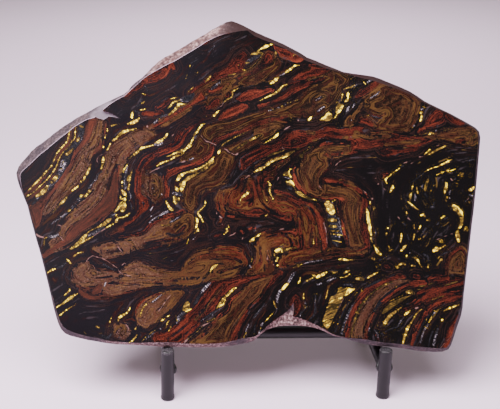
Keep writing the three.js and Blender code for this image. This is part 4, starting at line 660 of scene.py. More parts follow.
UPPER_RIGHT_AREAS = [
    ("brown", 0.12, [(40, 100), (50, 103), (62, 101), (70, 98), (74, 94), (70, 88), (62, 86), (52, 88),
        (44, 93)]),
    ("red", 0.52, [(46, 104), (50, 103.4), (55, 102.4), (60.6, 101.4), (61, 99.5), (55, 97), (50, 95.4),
        (45, 99)]),
    ("brown", 0.3, [(86, 78), (92, 84), (97, 87), (103, 89.5), (107, 88), (113, 86.5), (119, 84.5),
        (124, 81), (128.5, 77), (128, 72), (126, 65), (123, 58.5), (118, 54.5), (108, 54), (98, 54.5),
        (93, 57), (96, 61), (99, 64.5), (95, 66), (90, 69), (86, 72)]),
    ("red", 0.5, [(80.5, 80.6), (84, 85), (90, 89), (96, 92.4), (101.5, 91.4), (101, 89.5), (94, 86),
        (89, 82.5), (84, 80)]),
    ("gold", 0.75, [(72.6, 84.3), (75.5, 84), (75.2, 80.5), (74.3, 76.6), (71, 76.2), (71.8, 79.5)]),
    ("gold", 0.4, [(66.2, 75.6), (71, 75.2), (69.5, 71.4), (66.8, 68.2), (65, 66.8), (64.4, 70)]),
    ("gold", 0.5, [(54, 63.2), (56.5, 65), (58.6, 68), (60.5, 69), (62.6, 67), (62.2, 64), (60, 62.2),
        (57, 62)]),
    ("brown", 0.75, [(71.5, 58.6), (72, 63), (75, 66), (79, 66.4), (80, 63), (78, 59), (75, 57.2)]),
    ("red", 0.6, [(81.5, 61), (83, 65), (87, 65.6), (90, 64), (93, 61), (95.5, 58), (91, 58.4), (86, 60)]),
    ("red", 0.4, [(131, 57.4), (133, 61.5), (136, 66), (140, 70), (143, 71.6), (147, 68.4), (148, 64.5),
        (146, 61), (141, 58.6), (136, 57.2)]),
    ("red", 0.38, [(147.5, 67), (152, 68.4), (157, 65), (161, 61.8), (163, 59.4), (158, 58.4), (153, 60.6),
        (149, 63.4)]),
    ("red", 0.55, [(126.6, 53.5), (128, 56), (131, 57), (132, 55), (129.4, 52.6)]),
    ("brown", 0.5, [(131, 49.5), (138, 51.6), (144, 54), (152, 55.6), (160, 56.6), (168, 57), (173.2, 53),
        (173.6, 47), (171, 43.5), (166, 43.4), (159, 44.4), (152, 46.4), (145, 48.4), (138, 49)]),
    ("red", 0.3, [(-8, 34.6), (-2, 38), (4, 41), (9, 43.4), (13, 45), (17, 44), (20, 46), (24, 47.4),
        (28, 51), (32, 54), (37, 54.8), (42, 53.6), (47, 54.6), (52, 54.6), (58, 57), (63, 57.4), (68, 56),
        (78, 57.8), (86, 57.6), (84, 55), (90, 53.6), (97, 53.6), (104, 54), (112, 51), (120, 49.8),
        (128, 48.8), (134, 49.8), (138, 48.6), (132, 45.6), (127, 43), (121, 42), (113, 43.4), (104, 42),
        (96, 42.4), (90, 41), (82, 40.8), (76, 42.5), (80, 45), (76, 48), (64, 49), (58, 50), (52, 48.8),
        (48, 47.4), (42, 44.4), (36, 42.4), (30, 41.6), (26, 42), (22, 41), (18, 39.4), (12, 35.6), (6, 33),
        (0, 29.4), (-6, 25)]),
    ("red", 0.62, [(96, 40), (99, 41.4), (105, 41), (112, 40.6), (120, 41.6), (127, 41.6), (124, 39.8),
        (118, 38.6), (110, 37), (103, 36), (98, 38)]),
    ("brown", 0.5, [(-2, 48), (2, 52), (2, 58), (6, 59.5), (10, 62), (12, 63.4), (16, 62.8), (22, 62.6),
        (27, 62.2), (28.4, 61), (25, 60.4), (24.4, 56.6), (21, 55.6), (16, 53), (12, 50.6), (9, 50),
        (4, 48), (-1, 46.6)]),
    ("brown", 0.4, [(41, 38), (45, 39), (50, 41.5), (56, 43.6), (64, 44), (74, 43.4), (76, 40.6),
        (72, 37.4), (66, 35), (61, 34), (58, 33), (59, 30), (58, 27), (54, 24), (52, 20), (52, 15), (56, 9),
        (48, 4), (43, 6), (41, 14), (38, 21), (38, 26), (40, 30), (39.6, 33)]),
    ("gold", 0.28, [(36.8, 37.6), (40, 38.2), (40.4, 36.6), (39.6, 33.4), (38, 33)]),
]

UPPER_RIGHT = [
    ("red", 0.4, [(44, 91, 2), (50, 92.8, 2.4), (54, 94.2, 2), (58, 95.6, 1)]),
    ("crack", 0.8, [(76.2, 94.2, 1.1), (78, 94.8, 1.3), (79.8, 95.8, 0.9)]),
    ("silver", 0.95, [(70.2, 86, 0.8), (73, 87, 1), (75.5, 87.4, 1.2), (78, 88, 1), (80.8, 89.6, 0.9)]),
    ("gold", 0.6, [(74, 87.2, 0.8), (76.6, 87.6, 0.9)]),
    ("gold", 0.6, [(85.8, 91.6, 0.8), (87.5, 90, 1.3)]),
    ("silver", 0.95, [(88.5, 90.8, 0.8), (91, 92.6, 1.3), (93.5, 93.8, 1.3), (95.6, 94.4, 0.8)]),
    ("black", 0, [(72.8, 83.4, 0.5), (72.4, 81, 0.6), (73.2, 78.6, 0.5)]),
    ("gold", 1, [(74.2, 83, 1.4), (74, 80, 1.4)]),
    ("gold", 0.7, [(70.2, 83, 0.9), (69.6, 80.5, 1.3), (69.2, 77.8, 0.9)]),
    ("gold", 0.95, [(70.4, 73.6, 1.4), (68.6, 70.6, 1.9), (66, 67.6, 1.5), (64.4, 65, 0.9),
        (63.5, 63.6, 0.5)]),
    ("silver", 0.95, [(74.4, 72.6, 0.9), (73.3, 70.2, 1)]),
    ("silver", 0.6, [(79, 75, 0.8), (77.6, 73, 0.6)]),
    ("gold", 1, [(53.3, 63.4, 1.4), (56, 65, 1.3), (58, 67.5, 1.7), (59.6, 69, 1.1)]),
    ("crack", 1, [(65.5, 60.2, 1.3)]),
    ("gold", 0.9, [(66.8, 59, 1.1)]),
    ("silver", 0.9, [(51, 69.6, 0.8), (54, 72, 0.8), (56.5, 73.4, 0.6)]),
    ("silver", 0.8, [(50, 78, 0.6), (53, 80, 0.7), (56, 81.1, 1)]),
    ("silver", 0.6, [(54.6, 56.4, 0.6), (55.8, 58, 0.6)]),
    ("brown", 1, [(85.5, 80, 0.9), (92, 84, 1.3), (99, 88.6, 1.4)]),
    ("silver", 0.7, [(91, 79.4, 0.6), (94.5, 81.4, 0.8), (98, 84.5, 0.5)]),
    ("silver", 1, [(96.4, 82.3, 0.9)]),
    ("brown", 0.95, [(79, 67, 1.8), (81.5, 70, 2.4), (84, 74, 2.4), (85, 76.4, 1.4)]),
    ("gold", 0.2, [(87, 75.3, 0.9), (89, 74.2, 0.9)]),
    ("gold", 0.9, [(89.4, 66.8, 1.1)]),
    ("silver", 1, [(76.5, 62.4, 1)]),
    ("brown", 1, [(84, 65.4, 0.9), (88, 65.4, 0.9), (91.4, 63, 0.9), (95, 58.6, 1)]),
    ("brown", 1, [(92.5, 72, 1.1), (96, 70.4, 1.3), (100, 68.6, 1.4), (102, 69.4, 0.7)]),
    ("brown", 1, [(101, 74.6, 1.3), (103, 73, 1.7), (104.4, 72.6, 0.9)]),
    ("brown", 0.95, [(103, 75, 0.8), (107, 77.5, 0.9), (111, 81, 0.9), (114, 83, 0.8)]),
    ("brown", 0.95, [(107.5, 73.4, 1.1), (110, 75, 0.9)]),
    ("brown", 0.95, [(111, 73.5, 0.9), (112.5, 72.4, 0.9)]),
    ("brown", 1, [(117.5, 77, 1.4), (117.8, 74, 1.9), (118.4, 72, 1.2)]),
    ("brown", 0.9, [(123.6, 79, 1), (124, 74, 1.2), (122.6, 70, 1.2), (121.4, 65, 1.4), (119.4, 60, 1.8),
        (117.5, 55.5, 1.8)]),
    ("brown", 1, [(117, 68, 1.5), (115, 65, 1.3), (113.4, 61.4, 0.9)]),
    ("brown", 1, [(105.5, 57, 1.5), (108.5, 58.6, 2.1), (112, 59.4, 1.3)]),
    ("brown", 0.9, [(99, 56, 1.5), (102, 58, 1.6)]),
    ("red", 0.4, [(90, 69, 1), (94, 66.6, 1.4), (98, 65.6, 1.6), (102, 67.4, 1.2)]),
    ("silver", 0.5, [(91.6, 66.2, 0.5), (94.4, 65.3, 0.8), (97, 64.6, 0.6), (100, 64, 0.5)]),
    ("gold", 0.95, [(129, 68.4, 0.8), (129.4, 66, 1.5), (129, 63.4, 1.3), (128, 61.4, 0.6)]),
    ("silver", 0.9, [(129, 70.6, 0.9), (130.6, 71.6, 0.9)]),
    ("crack", 0.5, [(133.4, 72.2, 0.8), (136.6, 73.4, 0.9)]),
    ("silver", 0.7, [(123.6, 58.2, 1.3)]),
    ("crack", 1, [(121.2, 53.8, 1.4)]),
    ("gold", 0.75, [(134.5, 51.8, 0.9), (137, 52.8, 1.9), (139, 52.4, 1)]),
    ("silver", 0.9, [(140.4, 55, 1.1)]),
    ("gold", 0.35, [(146, 54.6, 0.7), (150, 55.8, 0.9), (154, 55.4, 0.7)]),
    ("black", 0, [(133, 55.4, 1.4), (142, 57, 1.6), (150, 58, 1.8), (158, 57.6, 1.2)]),
    ("red", 0.4, [(156, 46.4, 3), (160.5, 47, 3.4)]),
    ("gold", 0.2, [(167, 49, 0.9), (170.5, 51.6, 0.9)]),
    ("gold", 0.2, [(163, 44.6, 0.9), (166, 46.6, 0.9)]),
    ("gold", 0.15, [(169, 43.6, 0.8), (172, 46, 0.8)]),
    ("brown", 0.5, [(80, 53, 2), (88, 50, 3), (97, 50.6, 3.4), (105, 51, 2)]),
    ("brown", 0.6, [(102, 44.4, 2), (110, 45.4, 3), (120, 46, 3), (128, 47, 1.8)]),
    ("brown", 0.9, [(78, 50.6, 0.8), (84, 51.4, 1.1), (90, 53, 1.1), (94, 53, 0.7)]),
    ("brown", 0.8, [(70, 49.4, 1.1), (73, 50, 1.1)]),
    ("crack", 1, [(76.2, 50.4, 1.4)]),
    ("red", 0.55, [(76, 41, 1.2), (80, 42.4, 1.6), (84, 42.6, 1.2), (88, 41, 0.9)]),
    ("red", 0.5, [(26, 48.6, 2), (31, 51.6, 4), (36, 53, 3.4), (39, 52, 1.4)]),
    ("red", 0.48, [(-4, 36, 1.4), (3, 39.6, 1.8), (9, 42.4, 2), (14, 43.6, 1.4)]),
    ("brown", 0.65, [(44, 53.4, 1.8), (48, 53.4, 1.8)]),
    ("red", 0.45, [(52, 53.6, 1.6), (57, 55.8, 2.2), (62, 56.2, 2), (68, 55, 1.6)]),
    ("brown", 0.9, [(33, 46.2, 1.1), (34.8, 47.4, 0.8)]),
    ("brown", 0.85, [(48.6, 47.4, 1.4), (51, 47.6, 1.2)]),
    ("red", 0.65, [(44, 48.6, 0.9), (48, 50.2, 0.9)]),
    ("crack", 0.2, [(52.6, 49.2, 0.5), (56, 49.4, 0.7), (58.4, 49.8, 0.5)]),
    ("black", 0, [(34, 40, 2), (38, 40.6, 2), (43, 43.6, 1.8), (49, 45.4, 2), (54, 47.6, 2), (60, 47.6, 2),
        (68, 47.4, 1.6), (76, 46.6, 1)]),
    ("red", 1, [(53.4, 42.9, 1.2), (54.8, 44, 2.2), (56.2, 45, 1.2)]),
    ("red", 0.95, [(58.4, 44.8, 1.2), (61.5, 45.6, 1.4), (64, 45.4, 0.9)]),
    ("red", 0.8, [(66, 45.2, 0.5), (71, 45.8, 0.6)]),
    ("red", 0.8, [(76.8, 45.4, 0.6), (79.6, 47, 0.7)]),
    ("silver", 0.7, [(57.6, 46.4, 1)]),
    ("silver", 0.4, [(58.4, 46.9, 0.5), (61.4, 46.9, 0.5)]),
    ("red", 0.9, [(55, 36.4, 1.5), (57.8, 38, 2.4), (59, 36.4, 1.8)]),
    ("red", 0.85, [(61.6, 37, 1.8), (66, 37.4, 3.2), (69.6, 38.4, 2.2)]),
    ("gold", 0.45, [(68.2, 37.8, 1.1)]),
    ("red", 0.3, [(72, 38, 1.4), (76, 38.6, 1.6), (80, 38.6, 1)]),
    ("gold", 0.5, [(134.6, 36.6, 1), (138, 38.6, 1.7), (142.5, 41, 1.9), (147, 43, 1.7),
        (149.6, 43.6, 0.8)]),
    ("crack", 0.5, [(127.6, 35, 0.8), (130.6, 35.4, 0.9)]),
    ("gold", 0.95, [(131.6, 37, 0.9), (133.6, 39, 1.4), (136, 41, 0.9)]),
    ("crack", 0.4, [(140.6, 43.4, 0.5), (142.6, 44, 0.7)]),
    ("gold", 0.9, [(131, 23.6, 0.6), (134, 25.2, 0.8), (138, 26.8, 0.8), (142, 28, 1), (146, 30, 1.1),
        (149, 31.6, 1.3), (152.4, 33.2, 0.9)]),
    ("gold", 0.9, [(140.6, 21.4, 0.9), (144, 23, 1), (148, 24.4, 1), (152, 24.7, 0.9), (155.4, 26, 0.5)]),
    ("silver", 0.3, [(121, 15.6, 0.4), (126, 19, 0.5), (130.6, 23, 0.5)]),
    ("silver", 0.6, [(164.5, 32, 0.5), (168.6, 33, 0.7)]),
    ("gold", 0.55, [(157, 21, 1.2), (159.4, 21.6, 1.9), (161, 22.6, 1.2)]),
    ("red", 0.58, [(3, 59.4, 0.9), (8, 60.8, 1.8), (12, 63, 2.2), (18, 62.6, 1.4), (24, 62, 1.8),
        (28, 61.4, 1.3)]),
    ("brown", 1, [(16, 58.2, 0.7), (19, 58.2, 1.5), (22, 58, 0.9)]),
    ("brown", 1, [(9.4, 53.4, 1.1), (11, 54.6, 1.3), (12.4, 54, 0.8)]),
    ("gold", 0.22, [(0, 48.4, 1.2), (3, 49.6, 1.8), (6, 51, 1.8), (8.4, 52, 1.2)]),
    ("gold", 0.9, [(10.4, 45.4, 0.5), (13, 47, 0.8), (15.4, 48.4, 1.1), (16.6, 49.4, 0.6)]),
    ("gold", 1, [(17.4, 49.4, 0.7), (19, 50.6, 1.9), (21, 52.4, 1.9), (21.8, 54, 0.9)]),
    ("crack", 1, [(25.4, 54.6, 0.8), (26, 56, 1.2), (28.4, 57.6, 1.2), (30.8, 58.8, 0.6)]),
    ("gold", 0.95, [(31.4, 64.4, 1.3)]),
    ("crack", 1, [(36.7, 63.2, 1.3)]),
    ("gold", 1, [(44.3, 63, 1.4), (45.6, 64.4, 2.2), (46.6, 65.6, 0.9)]),
    ("silver", 0.4, [(41.4, 66.6, 0.8)]),
    ("gold", 0.3, [(13.6, 36, 1), (17, 37.6, 1.7), (21, 38.8, 1.8), (25, 40, 1.4), (26, 41, 0.7)]),
    ("crack", 0.5, [(24.6, 42.4, 0.7), (26.4, 41.3, 0.7)]),
    ("brown", 0.9, [(4, 28, 0.6), (8, 31.4, 0.9), (11.6, 34.6, 1.3)]),
    ("gold", 0.26, [(12, 30.2, 1.5), (15, 32, 2.5), (19, 33.6, 2.7), (24, 35.2, 2.7), (28, 37, 3.2),
        (31, 38.8, 2.8), (33.6, 40, 1.4)]),
    ("gold", 1, [(12.4, 28.6, 0.7), (14.4, 30.2, 1.1), (17, 32, 0.9), (20, 33.6, 0.7), (24, 34.7, 0.5),
        (28, 35.4, 0.4)]),
    ("gold", 0.75, [(-2, 21, 1), (0, 22.4, 1.5), (3, 24, 1.7), (5, 25.2, 1.5), (8, 26.6, 2.6),
        (11, 27.8, 1.6), (12.6, 28.8, 0.6)]),
    ("red", 0.9, [(41.8, 36.6, 0.8), (41.4, 33.6, 0.9)]),
    ("brown", 1, [(43.4, 37.6, 0.6), (43.8, 35, 1.1), (43.2, 32, 0.9)]),
    ("gold", 0.15, [(35, 42, 0.9), (38, 41.6, 0.9)]),
    ("gold", 0.15, [(40.6, 38.8, 0.7), (44, 41.2, 0.8)]),
    ("gold", 0.2, [(44.4, 42.8, 0.9), (46, 42.8, 0.6)]),
    ("red", 1, [(45.8, 41, 0.9), (47.6, 42.8, 1.4)]),
    ("brown", 1, [(46.8, 39, 0.9), (49, 40.4, 1.1)]),
    ("crack", 0.9, [(51, 43.4, 1)]),
    ("brown", 1, [(57.6, 29.4, 0.9), (58.6, 31.4, 1.1)]),
    ("red", 0.55, [(62, 36, 1), (61.4, 33, 1), (61, 30, 0.9)]),
    ("red", 0.6, [(55.4, 23.8, 1.3), (57.4, 26, 0.9)]),
    ("crack", 0.5, [(63, 27.6, 0.5), (66.4, 31, 1), (68.6, 32.4, 0.7)]),
    ("crack", 1, [(62.7, 24.2, 1.4)]),
    ("silver", 0.4, [(61.3, 25.6, 0.9)]),
    ("red", 0.7, [(55.6, 18.4, 1.2), (57.4, 17.6, 0.9)]),
]

CORE_AREAS = [
    ("brown", 0.22, [(-6, 20), (0, 20.6), (8, 22), (14, 26), (18, 29.6), (22, 30.6), (26, 31), (27, 33),
        (30, 34), (24, 29), (20, 25), (18, 21), (14, 15), (10, 12), (12, 6), (16, 4), (20, 7.5), (26, 6.6),
        (31, 4.6), (36, 1.6), (42, -1.6), (46, -4), (48, -8), (50, -14), (51, -22), (52, -33), (36, -33),
        (36, -26), (35.6, -20), (34.4, -12), (30, -10), (24, -8), (14, -7), (10, -4), (4, -3), (-6, -3.6)]),
    ("red", 0.6, [(-6, -4.6), (0, -4), (4, -3.4), (8, -3), (10, -5), (11.6, -7), (8, -8.4), (3, -8.2),
        (-6, -7.4)]),
    ("gold", 0.32, [(32.6, 9.4), (35, 10.2), (38, 9.8), (42, 7.4), (46, 5.4), (50, 3.8), (54, 2.4),
        (55, 1.4), (51, 2.2), (46, 2.8), (42, 3.8), (39, 5.4), (36, 6.4), (34, 7.6)]),
    ("gold", 0.45, [(55.2, 1.2), (58, 0.6), (61, 1.4), (62.6, -1), (63.4, -4), (64.6, -7), (61, -6.4),
        (58.6, -6.6), (57, -4), (56, -1.6)]),
    ("gold", 0.16, [(24.5, 25), (28.8, 25), (29, 21), (25, 21.4)]),
    ("gold", 0.5, [(26.4, 17.6), (30, 18), (32.4, 15), (33.4, 13), (30.4, 13.8), (27.6, 14.8)]),
    ("brown", 0.4, [(8, -22), (14, -21), (30, -21.6), (36, -22), (36, -33), (4, -33), (6, -28)]),
]

CORE = [
    ("red", 0.45, [(1, 14, 0.9), (2, 9, 1.4), (2.4, 6, 1.4), (1.6, 2, 1.6), (0, -1, 2), (-4, -3, 1.6)]),
    ("red", 0.35, [(4, 20, 0.8), (4.6, 14, 0.8), (6, 8, 1), (8, 3, 1), (11, -1, 1), (15, -4, 1),
        (20, -6, 0.8)]),
    ("brown", 0.7, [(6.6, 20, 0.7), (6.6, 14, 0.7), (8, 8, 0.7), (10, 3, 0.7), (14, -1.4, 0.7),
        (19, -3.6, 0.7)]),
    ("red", 0.4, [(10, 25, 0.9), (14, 24, 1), (17, 26, 1), (21, 29.6, 0.9), (25, 31.6, 0.9)]),
    ("red", 0.4, [(12, 21.6, 1), (15, 22.6, 0.9)]),
    ("red", 0.85, [(8.6, 19.8, 0.9), (8.4, 15.6, 1.3), (9, 12, 1.3), (10.2, 9, 0.9), (11.2, 6, 0.9),
        (12.8, 2.6, 1)]),
    ("crack", 0.9, [(10, 10.4, 0.9)]),
    ("crack", 1, [(11, 6.8, 0.9)]),
    ("gold", 0.7, [(12.2, 4, 0.9), (12.8, 2.8, 1.1)]),
    ("red", 0.95, [(17, 20.2, 1.5), (14.4, 20.6, 1.4), (12, 19.2, 1.3), (11, 17, 1.1)]),
    ("red", 0.7, [(20.4, 28.8, 0.6), (19.4, 26, 0.9), (19.6, 23, 0.9), (18.6, 21.4, 0.6)]),
    ("black", 0, [(32, 32, 3), (27, 28.6, 4), (23, 24, 4), (22, 19, 6), (21, 14, 6), (25, 12, 4),
        (31, 9.6, 3), (36, 5.4, 2), (42, 2.6, 1.6), (48, 0.6, 1.6)]),
    ("black", 0, [(34.8, 34, 3), (35.2, 30, 2.2), (32.6, 28, 1.4), (31.8, 24.6, 0.9), (32, 20, 0.9),
        (33.4, 16, 0.9), (35.4, 12.6, 1), (38.6, 9.8, 1), (43, 6.8, 1.1), (48, 4.4, 1.2), (54, 3, 1.4),
        (60, 3.6, 1), (65, 4.2, 1)]),
    ("black", 0, [(50, 0, 2), (53, -3, 2.4), (55.6, -8, 2), (57, -14, 2), (58.4, -20, 2), (59, -26, 2),
        (59, -31, 2)]),
    ("gold", 0.85, [(13.4, 17.6, 0.8), (14.6, 16, 1.8), (15.2, 14, 2.5), (14.8, 12, 1.8), (14.8, 9.6, 1.3),
        (16, 6.6, 0.9), (17.8, 3.4, 0.8)]),
    ("crack", 0.1, [(21.4, 20, 0.6), (20.2, 17.2, 0.7)]),
    ("silver", 0.7, [(25, 20.6, 0.5), (28, 19.7, 0.6), (30.4, 19.4, 0.7)]),
    ("gold", 1, [(30, 26, 1), (31.8, 26.7, 1)]),
    ("gold", 1, [(29.5, 24.8, 1), (29.8, 22.6, 1.5), (30.6, 20.6, 1.7), (31.6, 19.6, 1.2)]),
    ("gold", 1, [(30.6, 18, 1.1), (32, 16, 1.8), (33, 14, 1.4)]),
    ("red", 1, [(29, 15.2, 0.9)]),
    ("crack", 0.9, [(33.8, 29, 1.3)]),
    ("gold", 0.3, [(34.3, 31.4, 1)]),
    ("silver", 0.5, [(29.6, 29.4, 0.7), (32, 29, 0.6)]),
    ("silver", 0.2, [(28.6, 12.4, 1.6), (31, 12, 1.6)]),
    ("silver", 0.9, [(30.6, 10.7, 0.9)]),
    ("gold", 0.35, [(33, 13, 0.9), (34.3, 10.8, 0.9)]),
    ("gold", 0.55, [(35, 8.8, 1.4), (37.6, 7.9, 2.2), (40, 6.6, 1.8)]),
    ("gold", 0.08, [(41, 6, 1.8), (44, 4.7, 1.8)]),
    ("gold", 0.5, [(47, 3.6, 0.9), (51, 2.6, 0.7)]),
    ("red", 0.8, [(34.4, 28, 0.7), (32.8, 26.4, 1.3), (32.8, 23.4, 1.9), (33.6, 20.6, 1.5), (34, 18, 1.5),
        (35.4, 15, 1.9), (37.4, 12.4, 1.9), (40, 10, 1.7), (43, 7.8, 1.5), (47, 6, 1.1), (52, 4.7, 0.8),
        (58, 4.6, 0.8), (64, 4.8, 0.7)]),
    ("brown", 1, [(38.9, 34, 0.9), (38.8, 31, 0.9), (38.6, 28, 1.1), (36.6, 26, 0.9), (35.8, 23.4, 0.9),
        (36.4, 19, 0.9), (38.2, 16, 0.9), (40.6, 13, 0.9), (44, 10, 0.8), (48, 7.6, 0.7), (54, 6, 0.8),
        (57.4, 5.8, 0.8)]),
    ("crack", 0.3, [(52, 13.6, 0.5), (53.4, 12, 0.8)]),
    ("brown", 1, [(65.6, 6.4, 0.7), (68.6, 7.2, 0.9)]),
    ("red", 0.65, [(60, 15.6, 0.6), (66, 15.4, 0.8), (70, 14.4, 0.8)]),
    ("gold", 0.9, [(57.8, 1.8, 0.8), (59, 2.2, 1)]),
    ("red", 0.72, [(19, 10, 1.2), (22, 9, 1.9), (26, 8.4, 2.3), (31, 6.6, 2.3), (35, 4.2, 2.5),
        (39, 2, 2.3), (43, 0.4, 2.2), (46.4, -1, 2.6), (49, -4, 2.6), (50.8, -7.6, 3), (52.4, -11, 3),
        (53.4, -15, 3), (54.4, -20, 3.4), (55.4, -25, 3.4), (56, -30, 3)]),
    ("brown", 1, [(42.6, -0.8, 0.6), (45.2, -3.6, 0.8)]),
    ("brown", 1, [(48, -1, 0.5), (50, -3, 0.7), (53, -6, 0.6), (54.8, -10, 0.5)]),
    ("crack", 1, [(55.2, -15, 0.5), (56.6, -19, 0.9), (57.4, -21.4, 0.8)]),
    ("brown", 0.95, [(14.6, 5, 0.7), (17, 2.2, 1.1), (20, 1.4, 0.8)]),
    ("red", 0.55, [(21, 3.6, 0.8), (26, 4, 1), (31, 2, 1), (36, -1, 1), (40, -3.4, 1), (43, -7, 1),
        (45.6, -12, 1), (46, -20, 1), (45.6, -31, 1)]),
    ("red", 0.5, [(35.6, -6, 1.3), (36.8, -11, 1.4), (37.4, -17, 2), (38, -23, 2.3), (38.6, -32, 2.3)]),
    ("brown", 0.95, [(26, -3.6, 0.8), (31, -4.2, 1), (34.6, -5.8, 1), (36.6, -9, 1), (39, -15, 0.8),
        (40.6, -22, 0.8), (41.4, -31, 0.8)]),
    ("brown", 0.9, [(38.6, -4, 0.7), (42, -9, 0.7), (44, -15, 0.8), (44.4, -22, 0.7), (44, -31, 0.7)]),
    ("brown", 1, [(43.4, -5, 0.6), (46, -9.6, 0.8), (47.6, -15, 0.8), (47.8, -21, 0.7)]),
    ("red", 0.6, [(48, -17, 0.9), (49.4, -24, 1.2), (50, -32, 1.2)]),
    ("red", 0.72, [(15, -7.2, 0.9), (20, -9.4, 1.3), (24, -10.6, 1.7), (27.4, -11, 2.8), (30.4, -11.6, 2)]),
    ("red", 0.78, [(26.2, -9.6, 0.9), (28, -8, 1.3), (29.6, -7.8, 1), (31, -9.6, 1.4), (30.6, -11.6, 1.4)]),
    ("black", 0, [(-5, -10, 2.4), (4, -11, 3.6), (12, -12, 5), (20, -15, 5.6), (28, -16, 4.6), (33, -16, 4),
        (35, -18.6, 1.6)]),
    ("gold", 0.95, [(11.8, -8.6, 1), (13.3, -7.4, 1)]),
    ("crack", 0.8, [(31.8, -10, 0.9)]),
    ("gold", 0.95, [(31.2, -17.8, 1.5)]),
    ("crack", 0.9, [(22.4, -18.9, 0.8), (25, -18.4, 1.1), (27, -18, 0.5)]),
    ("crack", 0.5, [(4.4, -14.8, 0.7), (6, -16, 0.7)]),
    ("crack", 0.5, [(10, -19, 0.8)]),
    ("red", 0.9, [(-0.4, -18.4, 1.4), (1.4, -17.4, 1)]),
    ("red", 0.9, [(3.4, -17.6, 0.9)]),
    ("silver", 0.7, [(2.8, -20.4, 0.5), (4.4, -19.2, 0.7)]),
    ("gold", 0.9, [(0.2, -27.6, 2.2), (2, -26.4, 2.6), (3, -25, 1.2)]),
    ("gold", 0.95, [(3.6, -24.6, 0.9), (5.6, -23.6, 1.9), (7, -22.4, 1.7), (8.4, -21.2, 0.7)]),
    ("red", 0.62, [(9, -21.6, 0.9), (16, -20.4, 1.5), (22, -20.6, 1.9), (28, -20.8, 1.9), (32, -20.6, 2.2),
        (33.9, -21.8, 2.8), (33.4, -24, 0.9)]),
    ("red", 0.48, [(5, -30, 1.2), (9.6, -26.2, 1.2), (16, -23.6, 1.4), (22, -23, 1.4), (27, -24, 1.4),
        (30, -26.6, 1.2), (31.4, -31, 1.2)]),
    ("brown", 0.95, [(11, -28.4, 0.8), (16, -26.2, 0.9), (21, -25.4, 0.8), (26.6, -24.8, 0.8),
        (29, -26.6, 0.7)]),
    ("red", 0.78, [(13, -30.6, 1.2), (20, -27.8, 1.9), (24.6, -27.4, 1.4)]),
    ("silver", 0.4, [(32.2, -29.2, 0.9)]),
    ("gold", 0.8, [(51.2, -19.4, 0.9)]),
    ("crack", 1, [(51.4, -23.4, 1)]),
    ("silver", 1, [(53, -27.8, 1.1)]),
    ("gold", 0.9, [(47.3, -26.4, 0.6), (47.6, -29.6, 1.1)]),
]

RIGHT_EDGE_AREAS = [
    ("gold", 0.48, [(150.2, -1.4), (152.4, -0.4), (154.6, -0.8), (157, -2.4), (159, -4.6), (160.4, -7),
        (161, -10), (160.8, -13), (160.4, -16.4), (159, -18.4), (157.2, -20), (155.6, -21.6),
        (154.8, -21.2), (156.4, -18.6), (157.4, -15.6), (158, -12.6), (157, -10), (156.2, -7.6),
        (154.6, -6.8), (153, -5.6), (152.6, -3.8)]),
]

